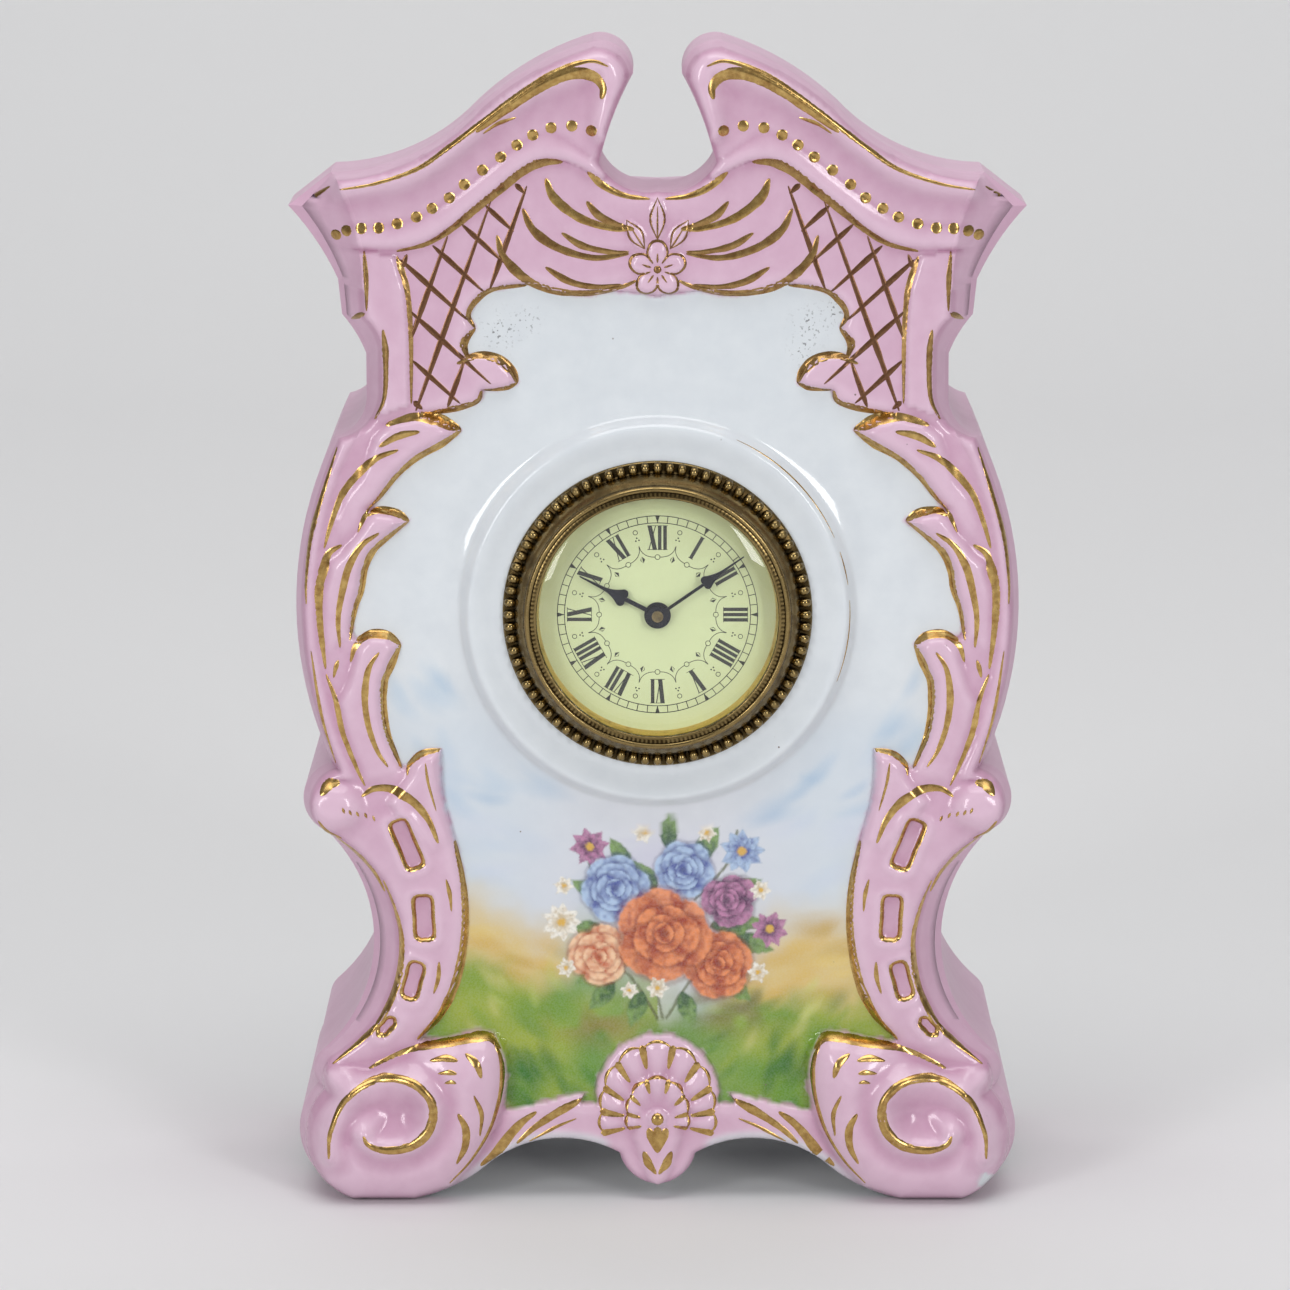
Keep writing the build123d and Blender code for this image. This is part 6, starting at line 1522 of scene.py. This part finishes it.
class CLOCK_OT_case(bpy.types.Operator):
    """Build the moulded front with its painting and glaze the walls"""

    bl_idname = "clock.case"
    bl_label = "Porcelain case"

    def execute(self, context):
        finish = context.scene.clock_finish
        outline = whole_loop(FRONT_LINE)
        back_share = (FRONT_BACK_Y - PANEL_Y) / (CANT_Y - PANEL_Y)
        rear = whole_loop(FRONT_LINE + (SIDE_LINE - FRONT_LINE) * back_share)
        turns = np.arange(HOLE_POINTS) * math.tau / HOLE_POINTS
        hole = np.column_stack([HOLE_RADIUS * np.cos(turns), DIAL_Z + HOLE_RADIUS * np.sin(turns)])
        sheet = front_sheet(outline, hole, finish.mesh_step / MM, finish.paint_step / MM)
        flat, faces, height, front_edge, hole_edge = sheet
        points = [at_depth(flat, PANEL_Y - height)]
        start, end = points[0][front_edge], at_depth(rear, FRONT_BACK_Y)
        rows = [front_edge]
        for share in RIM_SHARES:
            rows.append(sum(map(len, points)) + np.arange(len(rear)))
            points.append(start + (end - start) * share)
        hole_back = sum(map(len, points)) + np.arange(len(hole))
        points.append(at_depth(hole, FRONT_BACK_Y))
        all_faces = [list(f) for f in faces]
        for ahead, behind in [*zip(rows, rows[1:]), (hole_edge, hole_back)]:
            all_faces += stitched(ahead, behind)
        _, back_faces, back_place = triangulate([rear, hole], [], np.zeros((0, 2)))
        numbers = np.concatenate([rows[-1], hole_back])
        source = {spot: number for number, spot in back_place.items()}
        all_faces += [[numbers[source[v]] for v in f][::-1] for f in back_faces]
        piece = drawn_mesh("porcelain_relief", np.vstack(points), all_faces, painted_glaze(finish))
        outward(piece)
        self.colour(piece, flat, faces, height, rows)
        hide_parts("porcelain_front")
        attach(piece, "frame")
        walls = wall_glaze(finish)
        for node in ("porcelain_side_right", "porcelain_side_left", "porcelain_crown", "porcelain_back"):
            assign(node, walls)
        return {"FINISHED"}

    def colour(self, piece, flat, faces, height, rows):
        """Store the pink, the painting, and the deeper pink in recesses: pooled wash and painted shade."""
        spots = folded(flat)
        x, z = spots[:, 0], spots[:, 1]
        edge = distance(spots, PANEL_LINE)
        signed = np.where(inside(spots, PANEL_RING), -edge, edge) + 0.3 * cloud(flat, 1.6, 21)
        radius = from_dial(flat)
        border = distance(spots, FRONT_LINE)
        arch = ramp(2.8, 0.9, border) * ramp(9, 12, x) * ramp(48, 36, x) * (z < 24)
        leaf_edge = ramp(8.0, 1.0, border) * ramp(84, 100, z) * ramp(176, 160, z)
        pink = np.zeros(len(piece.data.vertices))
        pink[:len(flat)] = ramp(-0.55, 0.3, signed) * ramp(*CHIP_BARE, chip_reach(flat))
        pink[:len(flat)] *= ramp(45, 49, radius) * (1 - 0.75 * arch)
        under = np.array([step >= UNDERSIDE_STEP for step in FRONT_ORIGIN])
        under = np.concatenate([under, under[1:-1][::-1]])
        for row in rows[1:]:
            pink[row] = np.where(under, 0.0, 1.0)
        speck = np.zeros(len(flat))
        for right, up, size in SPECKS:
            speck += bell(flat[:, 0], right, size) * bell(flat[:, 1], up, size)
        canvas = paint_panel(flat)
        set_value(piece, "Pink", pink)
        # Deeper pink in recesses, partly pooled wash and partly painted shade, and along the leaves' outer
        # edge.
        set_value(piece, "PoolAndShade", pooled_and_shaded(height, faces) + 0.45 * leaf_edge)
        set_value(piece, "Rim", ramp(1.6, 0.4, border) * (z > 30), 1.0)
        set_value(piece, "Speck", np.clip(speck, 0, 1))
        set_value(piece, "Cover", canvas.cover * ramp(0.5, -0.2, signed) * ramp(41.4, 42.4, radius))
        set_colour(piece, "Paint", canvas.colour)


class CLOCK_OT_gilding(bpy.types.Operator):
    """Lay the gilt strokes, dots and lattice on the porcelain"""

    bl_idname = "clock.gilding"
    bl_label = "Gilding"

    def execute(self, context):
        mesh = bpy.data.objects["porcelain_relief"].data
        points = np.array([v.co for v in mesh.vertices]) / MM
        finish = context.scene.clock_finish
        ornament = Ornament(Ground(points, [p.vertices for p in mesh.polygons]), finish.gilt_weight)
        for hand in (1, -1):
            side = np.array([hand, 1.0])
            for line, width, widest in RIM_STROKES + GILT_STROKES:
                ornament.tone = STROKE_BROWN if PRINTED_Z[0] < line[0][1] < PRINTED_Z[1] else 0.0
                ornament.stroke(np.array(line) * side, width, widest)
            for start, end in GILT_DASHES:
                middle = (np.array(start) + np.array(end)) / 2
                ornament.stroke(np.array([start, middle, end]) * side, 0.45, 0.5)
            for x, z in CORNICE_DOTS:
                ornament.dot(hand * x, z, CORNICE_DOT)
            ornament.tone = LATTICE_BROWN
            for direction, through, spacing in (LATTICE_FALLING, LATTICE_RISING):
                for run in lattice_lines(direction, through, spacing):
                    line = np.array([run[0], run[len(run) // 2], run[-1]])
                    ornament.stroke(line * side, LATTICE_WIDTH, 0.3, 0.1)
            ornament.tone = 0.0
            for middle, width, height, lean in STRAP_WINDOWS:
                self.frame_window(ornament, np.array(middle), width, height, lean, hand)
        for start, end in RING_LINE_RUNS:
            turns = np.linspace(start, end, 12)
            line = np.array([0, DIAL_Z]) + RING_LINE_RADIUS * np.column_stack([np.sin(turns), np.cos(turns)])
            ornament.stroke(line, 0.22, 0.5, 0.05)
        self.shell_and_flower(ornament)
        piece = drawn_mesh("gilding", ornament.points, ornament.faces, gold_paint(finish))
        set_value(piece, "Printed", ornament.tones)
        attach(piece, "frame")
        return {"FINISHED"}

    def frame_window(self, ornament, middle, width, height, lean, hand):
        """Even gold line round a strap window."""
        across, along = axes(-lean)
        a, b, corner = width / 2 - FRAME_INSET, height / 2 - FRAME_INSET, FRAME_CORNER
        loop = [(0, b), (a - corner, b), (a, b - corner), (a, 0), (a, corner - b), (a - corner, -b), (0, -b),
                (corner - a, -b), (-a, corner - b), (-a, 0), (-a, b - corner), (corner - a, b), (0, b)]
        spots = [(middle + across * u + along * v) * np.array([hand, 1.0]) for u, v in loop]
        ornament.stroke(spots, 0.7, 0.5, even=True)

    def shell_and_flower(self, ornament):
        """Gold between the shell's lobes, on its heart and round the flower."""
        foot = np.array(SHELL_FOOT)
        for low, gain, lobes, _, (length, wide) in SHELL_FANS:
            for k in range(lobes + 1):
                turn = SHELL_SPREAD * (2 * k / lobes - 1)
                heading = np.array([math.sin(turn), math.cos(turn)])
                out = FLUTE_LOW * fan_reach(turn, low, gain)
                spots = [foot + heading * (out - length * share) for share in (1.0, 0.5, -0.06)]
                ornament.stroke(spots, wide, 0.9)
                if k < lobes:
                    angles = turn + 2 * SHELL_SPREAD / lobes * np.array([0.06, 0.3, 0.5, 0.7, 0.94])
                    reach = fan_reach(angles, low, gain) * np.array([0.92, 0.955, 0.965, 0.955, 0.92])
                    rim = foot + reach[:, None] * np.column_stack([np.sin(angles), np.cos(angles)])
                    ornament.stroke(rim, 0.55, 0.5)
        ornament.dot(0.0, BUD_Z, 1.5)
        for hand in (1, -1):
            ornament.stroke([(hand * 2.0, 16.4), (hand * 1.1, 14.0), (0.0, 11.0)], 1.5, 0.3)
            ornament.stroke([(hand * 2.2, 9.4), (hand * 1.2, 7.6), (hand * 0.3, 6.2)], 1.1, 0.35)
        ornament.stroke([(0.0, 17.0), (0.0, 14.4), (0.0, 11.4)], 1.6, 0.4)
        ornament.tone = FLOWER_BROWN
        middle = np.array(FLOWER)
        for angle in PETAL_ANGLES:
            ahead, side = axes(angle)
            ring = [middle + ahead * a + side * b for a, b in
                    ((1.3, 0.9), (3.4, 2.1), (5.4, 1.4), (6.0, 0.0), (5.4, -1.4), (3.4, -2.1), (1.3, -0.9))]
            ornament.stroke(ring, 0.52, 0.5, FINE_GILT)
            ornament.stroke([middle + ahead * a for a in (1.4, 2.4, 3.4)], 0.4, 0.3, FINE_GILT)
        for angle, out, half_long, half_wide in FLOWER_LEAVES:
            ahead, side = axes(angle)
            start, heart, tip = [middle + ahead * (out + half_long * share) for share in (-1, 0, 1)]
            for hand in (1, -1):
                edge = heart + side * (half_wide - 0.1) * hand
                ornament.stroke([start, edge, tip], 0.4, 0.5, FINE_GILT)
            ornament.stroke([start, heart, heart + ahead * half_long * 0.6], 0.35, 0.3, FINE_GILT)
        ornament.dot(FLOWER[0], FLOWER[1], 0.9)


class CLOCK_OT_bezel(bpy.types.Operator):
    """Turn the brass bezel with its beads and milled ring"""

    bl_idname = "clock.bezel"
    bl_label = "Beaded bezel"

    def execute(self, context):
        finish = context.scene.clock_finish
        rim, lip = BEZEL_RADIUS, BEZEL_SEAT_Y - LIP_Y - 0.15
        # Radius, height over the seat and polish, from the flange's edge to the sight opening
        flange = [(rim - 0.1, 0.0, 0.5), (rim, 0.3, 0.6), (rim - 0.15, 0.7, 0.6), (rim - 0.5, 0.9, 0.1),
                  (30.6, FLANGE_RISE, 0.0)]
        wall = [(30.2, 1.5, 0.2), (29.9, 2.4, 0.55), (29.5, 3.3, 0.5), (28.9, 4.2, 0.45), (28.3, 4.9, 0.5),
                (28.15, 5.3, 0.2), (28.05, 5.8, 0.6), (27.7, 6.2, 0.9), (27.3, lip, 1.0), (26.95, 6.1, 0.6),
                (26.8, 5.8, 0.1)]
        milled = [(26.7, 5.75, 0.5), (26.1, 5.75, 0.6)]
        inner = [(25.95, 5.95, 0.6), (25.7, 6.0, 0.9), (SIGHT_RADIUS + 0.05, 5.8, 0.6),
                 (SIGHT_RADIUS, 5.4, 0.3), (SIGHT_RADIUS, 4.5, 0.1)]
        profile = flange + wall + milled + inner
        around = 2 * MILLED_TEETH
        points = []
        polish_and_shade = []
        for k in range(around):
            turn = math.tau * k / around
            for row in profile:
                radius, height, shine = row
                # Milled teeth: bright crests and dark gaps, painted highlight and shade as well as polish and
                # tarnish.
                if row in milled:
                    shine = GAP_POLISH_AND_SHADE * shine + TOOTH_POLISH_AND_HIGHLIGHT * (k % 2)
                    height += TOOTH_HEIGHT * (k % 2)
                polish_and_shade.append(shine)
                points.append(on_ring(radius, BEZEL_SEAT_Y - height, turn))
        faces = turned_faces(around, len(profile))
        for k in range(BEADS):
            self.bead(points, faces, polish_and_shade, math.tau * k / BEADS)
        piece = drawn_mesh("beaded_bezel", points, faces, worn_brass(finish))
        set_value(piece, "PolishAndShade", polish_and_shade)
        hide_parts("bezel_ring")
        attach(piece, "frame")
        assign("sight_ring", aged_metal("sight_brass", srgb(214, 178, 84), srgb(150, 116, 50), 0.3, 0.22))
        return {"FINISHED"}

    def bead(self, points, faces, polish_and_shade, turn):
        """One long bead on the flange."""
        away = np.array([math.sin(turn), 0, math.cos(turn)])
        out = away * BEAD_LENGTH / 2
        side = np.array([math.cos(turn), 0, -math.sin(turn)]) * BEAD_RADIUS
        up = np.array([0, -BEAD_HEIGHT, 0])
        middle = away * BEAD_CIRCLE + np.array([0, BEZEL_SEAT_Y - FLANGE_RISE, DIAL_Z])
        faces += dome_faces(len(points), BEAD_POINTS, BEAD_RINGS)
        points.append(tuple(middle + up))
        polish_and_shade.append(1.0)
        for j in range(1, BEAD_RINGS + 1):
            tilt = math.pi / 2 * j / BEAD_RINGS
            polish_and_shade += [math.cos(tilt) ** 0.7] * BEAD_POINTS
            for swing in math.tau * np.arange(BEAD_POINTS) / BEAD_POINTS:
                rim = math.cos(swing) * side + math.sin(swing) * out
                points.append(tuple(middle + math.sin(tilt) * rim + math.cos(tilt) * up))


class CLOCK_OT_dial(bpy.types.Operator):
    """Paint the dial, print its numerals, grind the glass and finish the hands"""

    bl_idname = "clock.dial"
    bl_label = "Dial, hands and glass"

    def execute(self, context):
        finish = context.scene.clock_finish
        assign("dial", dial_enamel(finish))
        self.bevelled_glass()
        blued = aged_metal("blued_hands", srgb(30, 32, 44), srgb(16, 16, 20), 0.4, 0.22)
        assign("hour_hand", blued)
        assign("minute_hand", blued)
        assign("hand_nut", aged_metal("centre_brass", srgb(150, 132, 88), srgb(80, 66, 40), 0.5, 0.2))
        self.points = []
        self.faces = []
        for radius in (TRACK_OUTER, TRACK_INNER):
            self.ring(radius, PRINT_LINE, 180)
        for minute in range(60):
            self.ray(math.tau * minute / 60, TRACK_INNER, TRACK_OUTER, PRINT_LINE, PRINT_LINE)
            if minute % 5 == 0:
                self.ray(math.tau * minute / 60, TRACK_INNER + 0.1, TRACK_OUTER + 0.1, 0.1, 1.0)
        for hour, numeral in enumerate(NUMERALS):
            self.numeral(numeral, math.tau * hour / 12)
            self.garland(math.tau * hour / 12)
        piece = drawn_mesh("dial_numerals", self.points, self.faces, print_black(), smooth=False)
        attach(piece, "frame")
        return {"FINISHED"}

    def bevelled_glass(self):
        """Flat glass whose ground edge curves away and catches the light."""
        front, back = GLASS_LOW[1], GLASS_HIGH[1]
        reach = np.linspace(GLASS_FLAT, (GLASS_HIGH[0] - GLASS_LOW[0]) / 2, BEVEL_STEPS)
        slope = np.tan(np.radians(np.linspace(*BEVEL_SLOPE, BEVEL_STEPS)))
        drop = np.concatenate([[0.0], np.cumsum((slope[1:] + slope[:-1]) / 2 * np.diff(reach))])
        profile = [(GLASS_CORE, front), (GLASS_FLAT - BEVEL_GAP, front), *zip(reach, front + drop),
                   (reach[-1], back), (GLASS_CORE, back)]
        points = []
        for turn in math.tau * np.arange(GLASS_POINTS) / GLASS_POINTS:
            points += [on_ring(radius, y, turn) for radius, y in profile]
        faces = turned_faces(GLASS_POINTS, len(profile))
        for rim, y in ((0, front), (len(profile) - 1, back)):
            points.append((0.0, y, DIAL_Z))
            rims = [k * len(profile) + rim for k in range(GLASS_POINTS)]
            faces += [(len(points) - 1, a, b) for a, b in zip(rims, rims[1:] + rims[:1])]
        piece = drawn_mesh("ground_glass", points, faces, clear_glass())
        outward(piece)
        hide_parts("dial_glass")
        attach(piece, "frame")

    def patch(self, corners):
        """A printed patch, as a very thin plate on the dial."""
        first = len(self.points)
        count = len(corners)
        for y in (DIAL_FRONT_Y - PRINT_THICKNESS, DIAL_FRONT_Y):
            self.points += [(x, y, z) for x, z in corners]
        self.faces.append(tuple(range(first + count - 1, first - 1, -1)))
        for k in range(count):
            after = (k + 1) % count
            self.faces.append((first + after, first + count + after, first + count + k, first + k))

    def at(self, turn, radius, across=0.0):
        """A spot on the dial by clock angle, radius and a step across."""
        return (radius * math.sin(turn) + across * math.cos(turn),
                DIAL_Z + radius * math.cos(turn) - across * math.sin(turn))

    def ring(self, radius, width, count, middle=None):
        """A printed circle, round the dial's centre or another spot."""
        x, z = middle or (0.0, DIAL_Z)
        for k in range(count):
            a, b = math.tau * k / count, math.tau * (k + 1) / count
            spots = [(radius + side * width / 2, turn) for side, turn in ((1, a), (1, b), (-1, b), (-1, a))]
            self.patch([(x + r * math.sin(t), z + r * math.cos(t)) for r, t in spots])

    def bar(self, turn, low, high, foot, head):
        """A radial bar by the left and right side of its foot and of its head."""
        self.patch([self.at(turn, low, foot[0]), self.at(turn, high, head[0]),
                    self.at(turn, high, head[1]), self.at(turn, low, foot[1])])

    def ray(self, turn, low, high, foot, head):
        """A radial mark that may widen outwards."""
        self.bar(turn, low, high, (-foot / 2, foot / 2), (-head / 2, head / 2))

    def numeral(self, text, turn):
        """A Roman numeral with its foot towards the centre."""
        left = -sum(LETTER_WIDTHS[letter] for letter in text) / 2
        low, high = NUMERAL_FOOT, NUMERAL_FOOT + NUMERAL_HEIGHT
        for letter in text:
            for top, foot, width in LETTER_STROKES[letter]:
                sides = [(left + middle - width / 2, left + middle + width / 2) for middle in (foot, top)]
                self.bar(turn, low, high, *sides)
            right = left + LETTER_WIDTHS[letter]
            serif = (left + SERIF_GAP, right - SERIF_GAP)
            for level in (low, high):
                self.bar(turn, level - SERIF_HALF, level + SERIF_HALF, serif, serif)
            left = right

    def garland(self, turn):
        """A hanging line under a numeral, with a small ring, diamonds and dots."""
        half = math.tau / 24
        beside = turn + half
        self.ring(0.52, 0.14, 16, self.at(turn, GARLAND_RADIUS))
        self.ring(0.46, 0.14, 16, self.at(beside, 18.1))
        for away, across in ((16.9, 0.0), (16.35, 0.34), (16.35, -0.34)):
            self.ring(0.09, 0.18, 8, self.at(beside, away, across))
        low, high = GARLAND_RADIUS - 0.95, GARLAND_RADIUS + 0.55
        middle = (low + high) / 2
        self.patch([self.at(beside, high), self.at(beside, middle, 0.55), self.at(beside, low)])
        for end, order in ((high, -1), (low, 1)):
            corners = [self.at(beside, end), self.at(beside, middle, -0.5), self.at(beside, middle, -0.32)]
            self.patch(corners[::order])
        for hand in (1, -1):
            line = [self.at(turn + hand * half * share, radius) for share, radius in
                    ((1.0, 15.1), (0.94, 13.9), (0.74, 12.95), (0.45, 12.45))]
            curve = flowing(line + [self.at(turn + hand * 0.043, GARLAND_RADIUS)], 0.4)
            for start, end in zip(curve[:-1], curve[1:]):
                run = (end - start) / np.linalg.norm(end - start)
                side = np.array([-run[1], run[0]]) * PRINT_LINE * 0.42
                self.patch([tuple(p) for p in (start - side, start + side, end + side, end - side)])


class CLOCK_OT_movement(bpy.types.Operator):
    """Finish the drum, the wheels, the springs, the knob and the key"""

    bl_idname = "clock.movement"
    bl_label = "Movement"

    def execute(self, context):
        finishes = {
            "nickel": aged_metal("dull_nickel", srgb(190, 185, 172), srgb(158, 150, 134), 0.28, 0.24),
            "screw_steel": aged_metal("screw_steel_turned", srgb(150, 152, 156), srgb(84, 78, 70),
                                      0.4, 0.2, 2.0),
            "plate_brass": aged_metal("grained_plate", srgb(208, 172, 100), srgb(176, 140, 74), 0.35, 0.24),
            "wheel_brass": aged_metal("wheel_satin", srgb(214, 178, 104), srgb(180, 142, 76), 0.3, 0.2, 1.6),
            "arbor_steel": aged_metal("turned_arbor", srgb(168, 170, 174), srgb(96, 92, 86), 0.3, 0.16, 2.0),
            "spring_steel": aged_metal("blued_spring", srgb(62, 74, 112), srgb(40, 42, 56), 0.4, 0.2, 2.0),
            "key_brass": aged_metal("handled_brass", srgb(190, 154, 88), srgb(138, 106, 56), 0.4, 0.18),
        }
        for entry in frame["record"]["subparts"]:
            node, slot = entry["node"], entry["material_slot"]
            if slot in finishes and node != "hand_nut":
                assign(node, finishes[slot])
        return {"FINISHED"}


class CLOCK_OT_stage(bpy.types.Operator):
    """Set the floor, the soft light and the camera"""

    bl_idname = "clock.stage"
    bl_label = "Stage"

    def execute(self, context):
        stage = context.scene.clock_stage
        self.floor(stage)
        self.lights(context, stage)
        self.camera(context, stage)
        context.scene.view_settings.view_transform = "Standard"
        return {"FINISHED"}

    def floor(self, stage):
        """One sheet that is floor and backdrop, with a wide sweep between them."""
        material, tree, shader = new_material("studio_sheet")
        pale = tuple(stage.floor_colour)
        deeper = tuple(c * 0.97 for c in pale[:3]) + (1.0,)
        feed(tree, shader, {
            "Base Color": mixed(tree, noise(tree, 6.0, 3.0, 0.5), pale, deeper),
            "Roughness": 0.7,
            "Specular IOR Level": 0.2,
        })
        turns = np.linspace(0, math.pi / 2, 25)
        line = [(SHEET_FRONT, 0.0)]
        line += [(SWEEP_START + SWEEP_RADIUS * math.sin(t), SWEEP_RADIUS * (1 - math.cos(t))) for t in turns]
        line.append((SWEEP_START + SWEEP_RADIUS, SHEET_TOP))
        points = [(x, y, z) for y, z in line for x in (-SHEET_HALF, SHEET_HALF)]
        faces = [(2 * k, 2 * k + 1, 2 * k + 3, 2 * k + 2) for k in range(len(line) - 1)]
        drawn_mesh("studio_floor", points, faces, material)

    def lights(self, context, stage):
        """Two tall soft boxes in front, one overhead, one on the backdrop, and even light from the room."""
        for name, place, target, width, height, share in SOFT_BOXES:
            lamp = bpy.data.lights.new(name, "AREA")
            lamp.shape = "RECTANGLE"
            lamp.size = width
            lamp.size_y = height
            lamp.energy = stage.key_power * share
            light = bpy.data.objects.new(name, lamp)
            light.location = place
            light.rotation_euler = (Vector(target) - Vector(place)).to_track_quat("-Z", "Y").to_euler()
            context.scene.collection.objects.link(light)
        world = bpy.data.worlds.new("studio_room")
        world.use_nodes = True
        ground = world.node_tree.nodes["Background"]
        ground.inputs["Color"].default_value = (1.0, 1.0, 1.0, 1.0)
        ground.inputs["Strength"].default_value = stage.sky_strength
        context.scene.world = world

    def camera(self, context, stage):
        """The photo's view: above the dial's level, with the frame moved as the photo's is."""
        data = bpy.data.cameras.new("photo_camera")
        data.sensor_width = 36.0
        data.lens = data.sensor_width * FOCAL_PIXELS / PHOTO_WIDTH
        data.shift_x = (PHOTO_WIDTH / 2 - DIAL_PIXEL[0]) / PHOTO_WIDTH
        data.shift_y = (DIAL_PIXEL[1] - PHOTO_WIDTH / 2) / PHOTO_WIDTH
        data.clip_end = 20.0
        camera = bpy.data.objects.new("photo_camera", data)
        dial = Vector((0.0, DIAL_FRONT_Y * MM, DIAL_Z * MM))
        back = Vector((0.0, -math.cos(VIEW_RISE), math.sin(VIEW_RISE)))
        camera.location = dial + back * stage.view_distance
        camera.rotation_euler = (-back).to_track_quat("-Z", "Y").to_euler()
        context.scene.collection.objects.link(camera)
        context.scene.camera = camera


class CLOCK_PT_panel(bpy.types.Panel):
    """The clock's pieces, in the order they are made."""

    bl_idname = "CLOCK_PT_panel"
    bl_label = "Mantel clock"
    bl_space_type = "VIEW_3D"
    bl_region_type = "UI"
    bl_category = "Clock"

    def draw(self, context):
        layout = self.layout
        for operator in OPERATORS:
            layout.operator(operator.bl_idname)
        for group in (context.scene.clock_finish, context.scene.clock_stage):
            for name in group.__annotations__:
                layout.prop(group, name)


OPERATORS = (CLOCK_OT_case, CLOCK_OT_gilding, CLOCK_OT_bezel, CLOCK_OT_dial, CLOCK_OT_movement,
             CLOCK_OT_stage)
CLASSES = (ClockFinish, ClockStage) + OPERATORS + (CLOCK_PT_panel,)


def register():
    """Make the classes and the scene's settings known."""
    for item in CLASSES:
        bpy.utils.register_class(item)
    bpy.types.Scene.clock_finish = bpy.props.PointerProperty(type=ClockFinish)
    bpy.types.Scene.clock_stage = bpy.props.PointerProperty(type=ClockStage)


def unregister():
    """Take them away again."""
    del bpy.types.Scene.clock_stage
    del bpy.types.Scene.clock_finish
    for item in reversed(CLASSES):
        bpy.utils.unregister_class(item)


def main():
    """Build every piece in order."""
    register()
    bpy.ops.clock.case()
    bpy.ops.clock.gilding()
    bpy.ops.clock.bezel()
    bpy.ops.clock.dial()
    bpy.ops.clock.movement()
    bpy.ops.clock.stage()
    bpy.context.view_layer.update()


if __name__ == "__main__":
    main()
